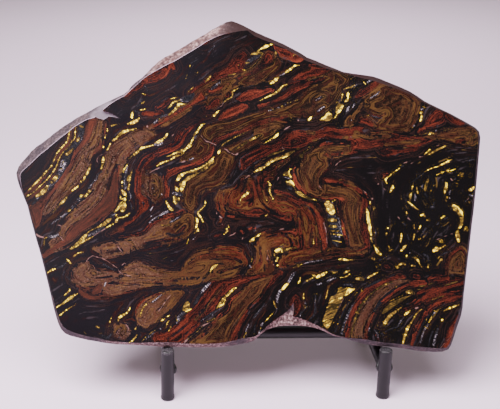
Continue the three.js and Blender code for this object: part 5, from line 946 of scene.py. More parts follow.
RIGHT_EDGE = [
    ("gold", 0.95, [(152.4, -1.4, 0.7), (154.6, -1.6, 1.1), (157, -3.4, 1.2), (159.2, -6, 0.9),
        (160.2, -9.4, 0.5)]),
    ("gold", 0.15, [(151.4, -2.2, 0.7), (154, -3.8, 0.7)]),
    ("gold", 0.1, [(157.4, -12.2, 0.5), (161, -12.4, 0.5)]),
    ("gold", 0.1, [(157.4, -14.8, 0.5), (160.8, -14.8, 0.5)]),
    ("gold", 0.95, [(157.8, -19, 0.7), (155.4, -21.4, 0.7)]),
    ("gold", 0.3, [(134.6, 19.4, 0.9), (133.6, 16.6, 2.3), (132.4, 13, 2.8), (131.6, 9.6, 1.9)]),
    ("silver", 0.7, [(130, 14.6, 0.7), (129.2, 11.4, 1.1)]),
    ("silver", 0.05, [(131.6, 7.6, 1.3), (133.6, 4, 0.9)]),
    ("gold", 0.4, [(130.2, 2.2, 0.8), (130.8, 0.6, 0.8), (132.4, -1.8, 0.5)]),
    ("gold", 0.15, [(136.6, 2.8, 0.9)]),
    ("silver", 0.5, [(138.6, 1, 0.6), (138, -1.4, 0.7), (136.4, -3.3, 0.9), (139, -3, 0.8)]),
    ("silver", 0, [(127, 22, 0.4), (133, 21, 0.4), (138, 17, 0.5), (136.6, 9, 0.5), (136, 4, 0.5)]),
    ("gold", 0.62, [(147.2, 15.6, 1.4), (148.1, 13.6, 2.1), (147.3, 11.4, 3), (146.6, 9.4, 2.3),
        (146.4, 7.8, 1.2)]),
    ("gold", 1, [(148.6, 15, 0.7), (147.8, 12.6, 0.9)]),
    ("gold", 1, [(146.4, 8.6, 1.1)]),
    ("gold", 1, [(148.3, 4.7, 1.3)]),
    ("silver", 0.8, [(150.4, 3.8, 0.9)]),
    ("gold", 0.5, [(146.4, 2.8, 0.9), (148.2, 1.5, 1.3)]),
    ("silver", 0.8, [(150.8, 9.4, 0.7), (150, 7, 0.6)]),
    ("silver", 0.8, [(151, 14.6, 0.5), (150.2, 12.8, 0.7)]),
    ("crack", 0.4, [(151.2, 18.6, 0.5), (152.3, 17.3, 0.8)]),
    ("silver", 1, [(154.6, 18.5, 1.2)]),
    ("gold", 0.3, [(157, 18.6, 0.9)]),
    ("silver", 0.4, [(155.4, 14.2, 0.8)]),
    ("gold", 0.25, [(158.6, 8, 0.7), (159.6, 6.8, 0.7)]),
    ("gold", 0.65, [(165.2, 9.8, 2.2), (167, 10.6, 3.2), (168.4, 11.6, 2.6)]),
    ("gold", 1, [(168.4, 12.6, 1.1)]),
    ("crack", 0.3, [(165.8, 15.6, 0.5), (167.4, 17.2, 0.7)]),
    ("crack", 0.9, [(163.6, 2.6, 0.7), (165.4, 4.6, 0.8)]),
    ("silver", 0.9, [(165.2, 6.4, 0.6), (167.4, 5.6, 0.9)]),
    ("crack", 0.9, [(160.3, 2, 0.6), (161, 0.8, 0.8)]),
    ("silver", 0.7, [(161.8, 1, 0.5), (163.2, 2.4, 0.7)]),
    ("gold", 0.3, [(164.6, 1.6, 0.9), (165.6, -0.6, 1.1)]),
    ("gold", 0.35, [(166.8, 28.6, 1.1)]),
    ("gold", 0.15, [(166, 21, 1.1)]),
    ("silver", 0.5, [(146.6, -11.6, 0.7), (148.4, -10.6, 0.7)]),
    ("silver", 0.6, [(140.5, -15.9, 0.6), (142.1, -14.7, 0.7)]),
    ("silver", 0.7, [(143.8, -17.8, 1.2)]),
    ("silver", 0.3, [(146.6, -18.4, 0.9)]),
    ("silver", 0.3, [(145.6, -12.8, 0.8)]),
    ("crack", 0.5, [(126.2, -20.6, 0.9)]),
    ("silver", 0.5, [(129.6, -21.2, 0.5), (132.4, -18.4, 0.5)]),
    ("gold", 0.7, [(135.2, -20.6, 1)]),
    ("gold", 0.45, [(131.6, -23.8, 0.8), (130, -25.6, 0.9)]),
    ("gold", 0.4, [(127.4, -26.6, 0.8)]),
    ("silver", 0.6, [(118, -23.6, 0.5), (119.6, -27.4, 0.7)]),
]

FOOT_AREAS = [
    ("brown", 0.7, [(-25.4, 0), (-25, 5), (-23.6, 9), (-20, 11), (-16, 11), (-12.6, 12), (-10, 16),
        (-7.6, 19), (-4, 21.6), (0, 21), (2, 16), (4, 10), (6, 4), (10, 0), (10, -3), (4, -3), (-4, -3.6),
        (-7, -5.4), (-12.6, -7), (-18, -6.6), (-20, -8.4), (-22.4, -6), (-25, -2)]),
    ("brown", 0.5, [(-64, -13), (-58, -11.4), (-51, -7), (-46, -5.6), (-41.4, -8), (-42, -14),
        (-42.6, -19.4), (-46, -23), (-52, -27), (-60, -30), (-66, -30), (-70, -22)]),
    ("brown", 0.8, [(-118, -32), (-112, -30), (-104, -27.6), (-96, -26), (-88, -24), (-80, -22), (-74, -17),
        (-68, -12), (-60, -9), (-58, -16), (-54, -26), (-60, -28.4), (-68, -30), (-76, -31), (-84, -32),
        (-88, -33.6), (-94, -36.6), (-100, -37.6), (-106, -38.6), (-110, -38.6), (-113, -36), (-117, -34)]),
    ("brown", 0.78, [(-135, -53), (-133, -48), (-130, -44.6), (-126, -41.6), (-122.6, -41.6), (-119, -44.6),
        (-115, -48.6), (-110, -48), (-104, -49.6), (-98, -50), (-94, -46), (-90, -43.6), (-84, -42.6),
        (-78, -43.6), (-70, -47.6), (-60, -49.6), (-52, -48.4), (-49, -44), (-46, -40), (-42, -36),
        (-36, -34), (-28, -32.6), (-22, -31), (-16, -31), (-10, -31.6), (-6, -33.6), (-5, -38), (-3, -41),
        (-2.4, -44), (-5, -46), (-8, -49), (-12, -53), (-17, -55), (-25, -56), (-33, -56.6), (-45, -60),
        (-55, -60), (-72, -60.4), (-84, -62), (-92, -64.6), (-100, -66.4), (-106, -66), (-110, -63.6),
        (-110.6, -60), (-113, -57.6), (-118, -59.6), (-124, -60), (-130, -58), (-134, -56)]),
    ("brown", 0.6, [(4, -29), (10, -27.6), (20, -30), (20, -36), (17, -40), (16, -46), (16, -51),
        (8, -51.6), (0, -53.6), (-4, -52.6), (-2, -49), (2, -46), (4, -40)]),
    ("brown", 0.5, [(22, -43), (26, -38), (32, -35.6), (40, -34), (50, -34), (50, -42), (40, -42.6),
        (34, -44), (28, -47), (22, -48)]),
    ("brown", 0.75, [(-86, -80), (-84, -75), (-80, -70.6), (-74, -67), (-68, -65.4), (-60, -64),
        (-54, -63.2), (-49, -65.6), (-53, -70), (-58, -76), (-62, -80), (-66, -83), (-70, -87), (-73, -90),
        (-78, -92), (-83, -90), (-86, -86)]),
    ("red", 0.5, [(-72, -97), (-64, -95.6), (-56, -91), (-52, -87), (-46, -80.6), (-42, -77), (-38, -71),
        (-33, -64), (-28, -58), (-22, -55.6), (-15, -56), (-8, -53.6), (0, -54), (10, -52), (14, -54),
        (8, -57), (0, -58), (-6, -60), (-13, -64), (-19, -69), (-24, -76), (-27, -79.6), (-34, -85.6),
        (-40, -91), (-48, -98), (-53, -103.4), (-62, -103.8), (-72, -103)]),
    ("brown", 0.5, [(-47, -104), (-38, -97), (-28, -88), (-20, -81.6), (-14, -73), (-8, -66), (-2, -60),
        (4, -56.6), (12, -54.4), (18, -53), (15, -58), (11, -62), (8, -68), (2, -74), (-4, -80), (-10, -88),
        (-15, -96), (-18, -104), (-30, -105), (-40, -104.6)]),
    ("red", 0.34, [(32, -70), (34, -68), (36, -70), (37.6, -74), (37, -78), (34.6, -82), (32.6, -84),
        (33, -80), (32.4, -76), (30, -75)]),
    ("brown", 0.55, [(-104, -98), (-103.6, -93), (-101, -89.6), (-97, -88), (-93, -88.6), (-90.6, -91.6),
        (-90, -95), (-91.6, -99), (-94, -101.4), (-99, -100.6)]),
    ("gold", 0.35, [(-51.6, -79.6), (-50.6, -75), (-47.6, -71.4), (-45.4, -73), (-45, -77), (-47, -80)]),
]

FOOT = [
    ("gold", 0.88, [(-33.6, 3, 0.9), (-33.4, 0.4, 1.1), (-34.6, -1.6, 0.9), (-36.6, -3.4, 0.9),
        (-38.4, -5.2, 1.2)]),
    ("gold", 0.85, [(-39, -5.6, 1.2), (-38.6, -7.4, 1.7), (-36.8, -9.4, 1.3), (-35.8, -11.6, 1),
        (-35, -13.6, 0.7)]),
    ("gold", 1, [(-41.2, -9.4, 0.5), (-39.8, -10.6, 1.5), (-39.4, -13, 2), (-40.2, -16, 1.7),
        (-40.9, -17.6, 0.8)]),
    ("gold", 0.75, [(-38.8, -17.8, 0.8), (-39, -19.2, 2), (-41, -20.6, 1.3), (-42.6, -21.6, 0.5)]),
    ("brown", 0.9, [(-36.4, -16.4, 0.7), (-36, -17.8, 0.7)]),
    ("red", 0.55, [(-63, -10.6, 1.4), (-60, -9, 1.8), (-56, -7.8, 1.7), (-53, -6.6, 1), (-50, -5, 0.7)]),
    ("silver", 0.6, [(-59.8, -13, 1), (-57, -11.4, 0.9), (-54, -9.6, 0.7), (-51, -8, 0.5)]),
    ("red", 0.75, [(-55.4, -22.4, 0.8), (-51.6, -19, 1.5), (-48.8, -16, 0.9)]),
    ("red", 0.5, [(-64, -27, 1.2), (-58, -25.6, 1.4), (-52, -26, 1)]),
    ("silver", 0, [(-62, -21.4, 0.8), (-56, -23, 0.9), (-50, -21, 0.6)]),
    ("gold", 0.85, [(-47.6, -29.4, 0.5), (-46.4, -26.4, 0.9), (-46, -25, 0.5)]),
    ("silver", 0.95, [(-43, -26, 0.7), (-41.6, -24.6, 0.8)]),
    ("red", 0.55, [(-19.4, 9.4, 0.7), (-20.2, 4, 0.9), (-19.6, -1, 0.9), (-17.6, -5, 0.7)]),
    ("red", 0.55, [(-22.4, 7, 0.8), (-23.4, 2, 0.9), (-22.6, -3, 0.9)]),
    ("red", 0.5, [(-14, 9, 0.7), (-16.4, 5, 0.8), (-16.6, 1, 0.9), (-15, -2.6, 0.9), (-11, -4.4, 0.9),
        (-5, -4, 0.9)]),
    ("brown", 1, [(-12.6, 7, 0.5), (-13.6, 3.6, 0.6), (-12.4, 0, 0.6), (-8, -2.4, 0.6), (-2, -2, 0.6)]),
    ("red", 0.85, [(-17.4, -4.6, 0.7), (-15, -5.8, 1.1), (-12, -6.6, 0.7)]),
    ("red", 0.5, [(-14, 10.4, 0.9), (-10, 12, 1.1), (-8, 15.6, 1.1), (-5, 19, 0.9)]),
    ("red", 0.5, [(-6, 10, 0.8), (-4, 13.6, 0.9), (-2.6, 17.6, 0.8)]),
    ("red", 0.85, [(-9.4, 2.6, 0.9), (-8.8, -0.2, 1.7), (-6.6, 0, 0.9)]),
    ("red", 0.75, [(-5, 1.8, 0.8), (-1, 3.2, 1.1), (1, 4.6, 0.9)]),
    ("red", 0.6, [(2.6, 5, 1.1), (1.2, 1.4, 1.1), (-1.4, -0.2, 0.9)]),
    ("red", 0.6, [(-6.8, -6.4, 1.1), (-3, -6, 1.9), (2, -6, 1.9)]),
    ("red", 0.6, [(-17, -8.4, 1.1), (-14, -9, 1.1), (-12, -9, 0.8)]),
    ("gold", 0.85, [(-7, 2, 0.8), (-7.2, 3.8, 0.9), (-5.8, 5.4, 1.5), (-3.4, 7.2, 2.3), (-1.6, 8.6, 1.9),
        (0.2, 9.9, 0.8)]),
    ("crack", 0.8, [(-3, 9.6, 0.5), (-2.2, 11, 0.8)]),
    ("crack", 1, [(-3.5, 19.6, 1), (-1.6, 21.2, 0.9), (0.6, 22.4, 0.9), (2.6, 23.6, 0.9)]),
    ("silver", 0.4, [(-15.2, 15.8, 0.9)]),
    ("silver", 0.1, [(-17, 14.4, 0.4), (-14.2, 14, 0.4)]),
    ("crack", 1, [(-25.2, -5, 0.8), (-25, -7.2, 1.3)]),
    ("brown", 0.9, [(-26.6, -6.6, 0.9)]),
    ("crack", 0.9, [(-23, -8.6, 0.7), (-21.2, -9.9, 0.7)]),
    ("brown", 0.85, [(-21.6, -11, 0.5), (-23.4, -13.4, 0.5)]),
    ("crack", 1, [(-23.8, -14.2, 0.9)]),
    ("crack", 1, [(-21, -15, 1), (-19.2, -13.2, 0.7)]),
    ("crack", 0.8, [(-18.8, -16.8, 0.9)]),
    ("gold", 0.9, [(-16.4, -15, 0.7), (-15.8, -17.4, 0.9)]),
    ("gold", 0.9, [(-17.6, -17.8, 1.3), (-17.2, -19.8, 1.7), (-18.8, -21.6, 0.9), (-20.2, -22.6, 0.5)]),
    ("crack", 0.7, [(-17, -24.4, 0.5), (-14.6, -23, 0.9), (-12.6, -22.2, 0.9), (-10.4, -20.7, 0.6)]),
    ("crack", 1, [(-6, -25.9, 1.2), (-5.4, -24.6, 0.7)]),
    ("red", 0.8, [(-6.8, -19.8, 0.5), (-5.2, -21.2, 0.6)]),
    ("red", 0.15, [(-25, -23.4, 1.4), (-21.6, -22, 1.4)]),
    ("red", 0.6, [(-98, -24.2, 0.9), (-90, -23.6, 1.1), (-84, -22.6, 1.5), (-78, -20, 1.3), (-73, -15, 1.9),
        (-67, -11.2, 2.2), (-61, -8.8, 1.9)]),
    ("red", 0.7, [(-108, -35.6, 1.2), (-103, -34.6, 1.4), (-97, -34, 1)]),
    ("brown", 1, [(-112, -32, 0.7), (-104, -30, 0.8), (-96, -28.4, 0.8), (-89, -27, 0.7)]),
    ("gold", 0.4, [(-67, -15, 0.9), (-63, -15.4, 0.9), (-59.6, -14.4, 0.7)]),
    ("brown", 1, [(-80, -25, 0.7), (-76, -24, 0.8), (-70, -22, 0.9), (-63, -21, 0.7)]),
    ("red", 0.55, [(-80, -28.8, 0.9), (-74, -28, 0.9), (-66, -26.4, 0.9), (-60, -24.6, 0.8)]),
    ("red", 0.6, [(-76, -31.6, 0.7), (-70, -31.4, 0.9), (-62, -29.8, 0.8)]),
    ("crack", 0.5, [(-100.4, -26, 0.4), (-99.4, -30, 0.5), (-98, -32.6, 0.8), (-95, -36, 0.5)]),
    ("crack", 0.3, [(-92, -26, 0.4), (-88, -28, 0.4), (-86.4, -31, 0.4), (-90, -34, 0.4)]),
    ("crack", 0.4, [(-113.4, -33, 0.4), (-111, -36, 0.6)]),
    ("gold", 0.25, [(-79, -35.6, 0.5), (-75, -36, 0.6), (-71.4, -36.6, 0.5)]),
    ("gold", 0.25, [(-65.6, -40.6, 0.8), (-62, -38.8, 0.6)]),
    ("silver", 0.2, [(-67, -34.6, 0.4), (-61, -32.4, 0.5), (-56, -31.4, 0.4)]),
    ("brown", 1, [(-127, -43.6, 0.7), (-131.4, -49.6, 0.7), (-130, -55, 0.7), (-124, -58.4, 0.7)]),
    ("brown", 1, [(-124, -44.6, 0.6), (-127.6, -49, 0.7), (-126, -54, 0.7), (-121, -56.6, 0.6),
        (-115, -56, 0.6)]),
    ("red", 0.45, [(-120, -47.6, 0.6), (-122.6, -51, 0.7), (-119, -54, 0.7), (-112, -54.2, 0.7),
        (-104, -53, 0.7)]),
    ("brown", 1, [(-112, -51, 0.7), (-104, -51.6, 0.8), (-98, -53, 0.7), (-92, -55, 0.6)]),
    ("red", 0.5, [(-134, -50, 0.8), (-133.4, -54, 1), (-128, -58.8, 0.8)]),
    ("brown", 1, [(-92, -47, 0.7), (-86, -45.8, 0.9), (-80, -48, 0.9), (-74, -51, 0.8), (-66, -53, 0.8),
        (-58, -53.4, 0.8), (-50, -52, 0.8), (-44, -48.6, 0.8), (-39, -45.4, 0.7)]),
    ("brown", 1, [(-95, -49.4, 0.7), (-89, -48.4, 0.7), (-83.6, -49, 0.8), (-79, -50.6, 0.8)]),
    ("brown", 0, [(-84, -53.4, 1), (-80, -52.2, 1.8), (-77, -53.6, 0.9)]),
    ("red", 0.85, [(-107, -58.6, 0.8), (-98, -58, 0.9), (-90, -58.4, 0.7), (-80, -57.6, 0.7),
        (-70, -57.5, 0.9), (-60, -56.9, 1), (-55, -56.6, 0.6)]),
    ("black", 0, [(-101, -60, 0.5), (-88, -60.1, 0.6), (-76, -59.3, 0.6), (-66, -59, 0.4)]),
    ("black", 0, [(-58, -55.2, 0.4), (-48, -54.8, 0.7), (-38, -55, 0.7), (-32, -55.2, 0.5)]),
    ("red", 0.5, [(-110, -65, 1.1), (-104, -66.6, 1.1), (-96, -65.6, 1.1), (-88, -63.6, 0.9)]),
    ("silver", 1, [(-109.4, -60.6, 0.8), (-108.7, -58.6, 1.2), (-108.2, -57.2, 0.5)]),
    ("silver", 0.3, [(-111.4, -65, 0.5), (-110.6, -62, 0.7)]),
    ("red", 0.42, [(-130, -60, 0.9), (-124, -62, 1.5), (-116, -61.8, 1.3), (-112.6, -59.6, 1.3)]),
    ("red", 0.45, [(-118, -66, 1.5), (-113.4, -63.8, 2.3), (-112, -61, 1.5)]),
    ("red", 0.36, [(-128, -63.6, 1.1), (-123, -67.6, 1.9), (-117, -69.2, 2.3), (-110, -69, 1.9),
        (-104, -68, 0.9)]),
    ("crack", 0.5, [(-122.8, -41.6, 0.5), (-121, -39.4, 0.6), (-118, -37.6, 0.6), (-114, -38.8, 0.5),
        (-110, -40, 0.5), (-106, -42.4, 0.6), (-103, -44.6, 0.6), (-100, -46.6, 0.6), (-98, -48.6, 0.5)]),
    ("crack", 0.8, [(-122.8, -41.6, 0.5), (-120.6, -44, 0.5), (-117.6, -45, 0.5), (-115.6, -48, 0.6),
        (-113, -48.8, 0.5), (-110.6, -47, 0.4)]),
    ("silver", 0.4, [(-110, -44, 0.9), (-106, -46.4, 1.1), (-101, -48.6, 0.7)]),
    ("crack", 0.7, [(-99, -48.6, 0.6), (-97, -50.6, 0.9), (-94, -51.6, 1.1), (-91, -53, 0.7),
        (-88, -51.8, 0.6), (-85, -51.4, 0.4)]),
    ("crack", 0.3, [(-96, -44.8, 0.4), (-94, -43, 0.6), (-92.8, -44.6, 0.4)]),
    ("crack", 0.7, [(-106, -56.2, 0.4), (-100, -54.6, 0.5), (-96, -52.6, 0.5)]),
    ("gold", 0.8, [(-125, -34.8, 0.7), (-129, -35.6, 0.9), (-131.8, -37.8, 1.6)]),
    ("gold", 0.8, [(-134.4, -43, 1.4), (-136, -41.4, 1.9), (-137.4, -39.8, 0.9)]),
    ("gold", 0.8, [(-152.6, -50.6, 0.8), (-150, -49, 1.3), (-148, -48, 2), (-145.4, -47, 1)]),
    ("silver", 0.5, [(-144, -46.6, 1.3), (-141, -45.6, 1.5), (-138.6, -43.4, 1.1)]),
    ("silver", 0.4, [(-140.2, -52, 0.9), (-139.2, -48.6, 0.7)]),
    ("silver", 0.3, [(-137.6, -53, 0.7), (-134.8, -56, 0.7)]),
    ("silver", 0.9, [(-148.4, -51.4, 0.8)]),
    ("gold", 0.5, [(-153.4, -51.8, 0.5), (-151.4, -55.4, 1)]),
    ("gold", 0.85, [(-139.6, -67.4, 0.5), (-137, -65, 1.1), (-135.2, -63.4, 1.3), (-135.4, -62, 0.7)]),
    ("gold", 0.85, [(-145.4, -76.3, 0.9), (-142, -74, 1.5), (-138, -71.6, 2.1), (-134, -68.6, 2.5),
        (-130.6, -66.6, 1.5), (-128.6, -65.4, 0.5)]),
    ("gold", 0.5, [(-141, -73.6, 0.8), (-137, -71.2, 0.9), (-133, -68.6, 0.7)]),
    ("gold", 0.8, [(-145, -83.6, 1.1), (-142, -81.4, 1.2), (-138.6, -78.6, 0.9), (-134.6, -76, 0.9),
        (-131.6, -74.6, 0.6), (-130.6, -73.2, 0.5)]),
    ("gold", 0.85, [(-99.2, -86.6, 1.1), (-98.4, -84, 2.1), (-96, -82.6, 2.3), (-93, -80.8, 1.5),
        (-91, -78.6, 1.3), (-89.8, -75.8, 0.6)]),
    ("gold", 0.55, [(-105.6, -87.6, 1.5), (-104.4, -84.6, 0.8), (-104, -83, 0.4)]),
    ("gold", 0.7, [(-106, -90.4, 0.6), (-104.4, -90.4, 0.8)]),
    ("gold", 0.55, [(-115.6, -90.4, 1.8), (-113.6, -91.6, 1.5)]),
    ("gold", 0.5, [(-124.8, -94.4, 0.9), (-122.8, -96.6, 0.9)]),
    ("silver", 0.6, [(-117.8, -93, 0.8)]),
    ("silver", 0.4, [(-96.2, -78.4, 0.8), (-95, -76.2, 0.6)]),
    ("silver", 0.3, [(-112, -97, 1.4), (-107, -99, 2), (-104, -96, 1)]),
    ("crack", 0.5, [(-93.6, -89, 0.4), (-91.4, -92, 0.6), (-92.6, -96, 0.5)]),
    ("crack", 0.2, [(-98, -99, 0.4), (-100, -95, 0.4), (-97, -92, 0.4)]),
    ("red", 0.48, [(-93.4, -86, 1.3), (-89, -85, 2.1), (-86.6, -86.6, 1.3)]),
    ("red", 0.55, [(-86, -83, 1.5), (-85.6, -79, 2.3), (-82.6, -73.6, 2.8), (-77, -69.6, 2.8),
        (-70, -67, 2), (-64, -65.6, 1)]),
    ("gold", 0.85, [(-82.6, -82.4, 0.7), (-81.6, -79, 0.9), (-80, -76, 0.9), (-77.8, -73.8, 0.8)]),
    ("silver", 0.95, [(-73.8, -72.8, 0.5), (-69.6, -69.6, 0.6), (-66.4, -66.8, 0.4)]),
    ("crack", 0.4, [(-69.4, -80, 0.5), (-66, -75.6, 0.8), (-63, -71, 0.6), (-59.4, -67, 0.5)]),
    ("crack", 0.6, [(-49, -61, 0.4), (-47.6, -64, 0.5), (-44.8, -66.2, 0.6)]),
    ("gold", 0.6, [(-91.4, -103.4, 1.1), (-88.4, -101, 1.5), (-86, -98.6, 1.9), (-84.8, -96.4, 0.8)]),
    ("gold", 0.6, [(-86.6, -92.8, 1.2), (-85.4, -91, 0.7)]),
    ("silver", 0.5, [(-82, -102.4, 1), (-79, -99.4, 2.2), (-75.6, -97.6, 2.4), (-72.4, -95, 1.6)]),
    ("gold", 0.5, [(-81.6, -102, 1), (-79.4, -99.6, 1.2), (-77.8, -98, 1.4)]),
    ("gold", 0.4, [(-75.8, -96.6, 1.3), (-73, -94.4, 1), (-71, -93.4, 0.8)]),
    ("silver", 0.5, [(-82.6, -96.6, 0.7), (-82, -98.2, 0.8)]),
    ("red", 0.85, [(-40, -39, 0.8), (-35, -38, 1.2), (-30, -37.4, 1.2), (-24, -37.2, 0.8)]),
    ("red", 0.65, [(-46.4, -44.4, 0.7), (-42, -41, 0.9), (-36, -40.4, 0.7), (-28, -39.6, 0.7),
        (-20, -39.4, 0.7), (-11, -41, 0.9), (-6.6, -43.4, 0.9)]),
    ("red", 0.5, [(-30, -34.4, 0.9), (-22, -33.4, 1.1), (-14, -33, 1.4), (-7.4, -34.8, 0.9)]),
    ("brown", 1, [(-40, -44, 0.7), (-33, -42.4, 0.8), (-26, -42, 0.7), (-17, -42.4, 0.8), (-10, -45, 0.8)]),
    ("brown", 1, [(-60, -51.6, 0.7), (-52, -50.6, 0.8), (-45, -47, 0.9), (-40, -44.4, 0.7)]),
    ("black", 0, [(-26, -44.2, 0.9), (-22.6, -44, 1.7), (-20, -44.6, 0.8)]),
    ("gold", 0.95, [(-29.9, -49.8, 0.9), (-28.6, -47.4, 2.2), (-26.6, -46, 2.4), (-24.2, -44.7, 0.8)]),
    ("gold", 0.6, [(-34.4, -53.6, 0.4), (-31.4, -51.4, 0.6)]),
    ("red", 0.45, [(-24, -51, 1.2), (-18, -49, 1.4), (-12, -47.6, 1.2), (-8, -46, 0.8)]),
    ("black", 0, [(-3.6, -34, 1.4), (-1, -38, 2.4), (0, -43, 2.6), (-3, -47.6, 2), (-7, -51.4, 1.8),
        (-6, -54, 1)]),
    ("gold", 0.35, [(0.8, -39.4, 1.1), (1.4, -41.4, 1.5), (0.4, -43.2, 0.9)]),
    ("silver", 0.95, [(-0.5, -45.4, 0.7), (0, -46.8, 0.8)]),
    ("silver", 0.9, [(-5.4, -52.4, 0.8)]),
    ("silver", 0.6, [(1.2, -28.8, 0.7), (2, -30.4, 0.5)]),
    ("red", 0.55, [(7, -29, 0.9), (7.6, -36, 1.2), (8, -43, 1.2), (4, -49, 1.2), (-2, -52.6, 1.1)]),
    ("brown", 0.98, [(9.6, -29, 0.7), (10.4, -36, 0.8), (10, -44, 0.9), (7, -50, 0.8)]),
    ("red", 0.6, [(12.4, -29, 0.9), (12.6, -36, 1), (14.4, -42, 1), (13.6, -49, 1)]),
    ("crack", 0.8, [(13, -34.8, 1.2)]),
    ("crack", 0.4, [(13.4, -38, 0.7), (12.6, -41.4, 0.8)]),
    ("gold", 0.3, [(11.4, -46, 0.9), (11.2, -48.6, 0.9)]),
    ("black", 0, [(17, -33.4, 1), (16.2, -37, 1), (16, -41.6, 1.2)]),
    ("gold", 0.42, [(20, -35.8, 2), (25, -34.9, 2.8), (28, -33.8, 2), (31, -32.6, 1.3),
        (34.4, -32.4, 0.9)]),
    ("gold", 1, [(18.5, -34.9, 1.2), (20.4, -33.9, 1.7), (23.4, -33.2, 1)]),
    ("gold", 0.5, [(23, -30.8, 0.8), (25.2, -29.5, 0.9)]),
    ("gold", 0.4, [(18, -37, 1.3), (18.6, -39.4, 1.9), (20.6, -40.2, 1.5), (19.4, -42.4, 1.8)]),
    ("gold", 1, [(21, -40, 0.9)]),
    ("crack", 1, [(17.3, -45, 1.1)]),
    ("gold", 0.9, [(20.5, -45.6, 1.1), (19.2, -47, 0.8)]),
    ("crack", 1, [(17, -49.6, 0.9)]),
    ("gold", 0.9, [(19, -49, 1.2)]),
    ("brown", 1, [(23, -43, 0.7), (29, -39.6, 0.9), (36, -37.4, 0.8), (44, -36, 0.6)]),
    ("brown", 0.98, [(33, -36.8, 0.7), (40, -35.2, 0.9), (48, -34.6, 0.6)]),
    ("red", 0.48, [(34, -41.6, 0.9), (42, -40.2, 1.2), (50, -39.4, 1.4)]),
    ("gold", 0.28, [(32.4, -47.6, 1.3), (36, -46, 1.5), (39.4, -45, 0.9)]),
    ("silver", 0.7, [(40, -44.8, 0.7), (44, -43.6, 1), (49, -42.7, 1), (54.4, -42, 0.6)]),
    ("gold", 0.6, [(46, -52.8, 0.9), (48.4, -53.8, 1.8)]),
    ("gold", 0.9, [(42, -57.6, 1.1), (45, -56.3, 1), (47.2, -55, 0.6)]),
    ("silver", 0.75, [(33.6, -51, 1), (31.6, -53, 2.1), (30, -56, 2.1), (28.4, -58.8, 1.5)]),
    ("gold", 0.95, [(28.4, -59.4, 1.4), (26.6, -60.8, 2.3), (24.8, -62.8, 2.4), (23.4, -64.4, 1)]),
    ("silver", 0.95, [(22.4, -65, 1.7), (20.8, -67.6, 1.3), (20.1, -70.6, 1.3), (20, -73.2, 0.8)]),
    ("gold", 0.4, [(17.2, -72.4, 1.3), (18, -75, 1.7), (18.8, -77.6, 1.2)]),
    ("silver", 0.6, [(19.4, -78.8, 0.8)]),
    ("gold", 0.85, [(37.5, -55.4, 1.1), (36.8, -57.8, 1), (35.2, -60.6, 0.7)]),
    ("gold", 0.8, [(17.6, -80.4, 0.7), (14, -84.4, 1.1), (10.6, -88, 0.7)]),
    ("silver", 0.9, [(9.4, -88.4, 0.9), (8, -91, 1.6), (7, -94.4, 1.4), (6.2, -97.4, 1)]),
    ("gold", 0.6, [(7.8, -91.6, 0.9), (7.2, -93.6, 0.7)]),
    ("silver", 0.4, [(10.4, -74.6, 0.8), (8, -78, 0.9), (5, -81.6, 1), (2.4, -85, 0.9)]),
    ("silver", 0.6, [(-1.4, -89.4, 0.8), (-3, -93.6, 0.9), (-3.6, -96.6, 1.2), (-6.6, -100.8, 1.1)]),
    ("gold", 0.8, [(-3.3, -96, 0.9), (-5.8, -100.2, 1.2)]),
    ("silver", 0.1, [(3.4, -90.6, 0.7), (2.6, -96, 0.7)]),
    ("gold", 0.8, [(40, -66.6, 0.7), (39.8, -70, 1.4), (40.2, -71.6, 0.8)]),
    ("silver", 0.9, [(41, -73.6, 1), (41.6, -76.6, 1.6), (40, -79.6, 0.9), (37.4, -82, 0.9),
        (37, -84.2, 0.6)]),
    ("gold", 0.7, [(41.4, -76, 0.9), (40.6, -78.6, 0.6)]),
    ("silver", 0.3, [(49, -68, 0.6), (48.4, -74, 0.9), (48.4, -79, 0.7), (47, -84, 0.9), (44, -86.6, 0.8)]),
    ("gold", 0.8, [(48.8, -72.8, 0.9)]),
    ("gold", 0.75, [(-67, -86.8, 1.8), (-64, -84.6, 1), (-60.8, -82.4, 1.3)]),
    ("gold", 0.65, [(-63.6, -92, 0.9), (-62.6, -88.4, 1.6), (-61, -86.4, 1.2)]),
    ("gold", 0.5, [(-61.4, -94.2, 1), (-60, -92, 1.7), (-59.6, -89.4, 1.2)]),
    ("silver", 0.8, [(-67.6, -92.8, 1.3)]),
    ("silver", 0.4, [(-50.6, -81, 2.6), (-53.4, -84, 3.2), (-55.4, -88, 2)]),
    ("gold", 0.75, [(-56, -82.6, 0.8), (-55.6, -85.4, 0.8), (-54.4, -88, 0.8)]),
    ("gold", 0.9, [(-48.6, -80, 0.7), (-46, -78.8, 1.1), (-43.4, -77.8, 0.8)]),
    ("silver", 0.15, [(-42.6, -74.4, 1.5), (-40, -70.4, 1.9), (-37.6, -66.8, 1.4)]),
    ("silver", 1, [(-36.6, -65.4, 1.8), (-34.4, -62.8, 2.4), (-32.6, -60.8, 2.2), (-29.6, -58.4, 0.8)]),
    ("silver", 0.5, [(-41.4, -74, 0.5), (-39.4, -71.6, 0.8)]),
    ("silver", 0.5, [(-38.6, -88, 0.6), (-33.4, -84.4, 1.2), (-29, -81.4, 1.5), (-25.6, -79.6, 1.3),
        (-22, -78, 0.6)]),
    ("silver", 1, [(-28.6, -82.6, 1)]),
    ("gold", 0.4, [(-33.2, -88, 0.7), (-30, -86.6, 1.2), (-26.6, -84.8, 0.7)]),
    ("gold", 0.5, [(-25.4, -77.6, 1.3), (-23, -74.6, 2.2), (-21, -71.6, 2.6), (-18.4, -68.6, 2.2),
        (-15.6, -65.6, 2.4), (-12.4, -63, 2.2), (-9.8, -62.2, 0.8)]),
    ("gold", 1, [(-23, -76.6, 1.2), (-20.6, -74.8, 0.9), (-18.9, -71.8, 0.7)]),
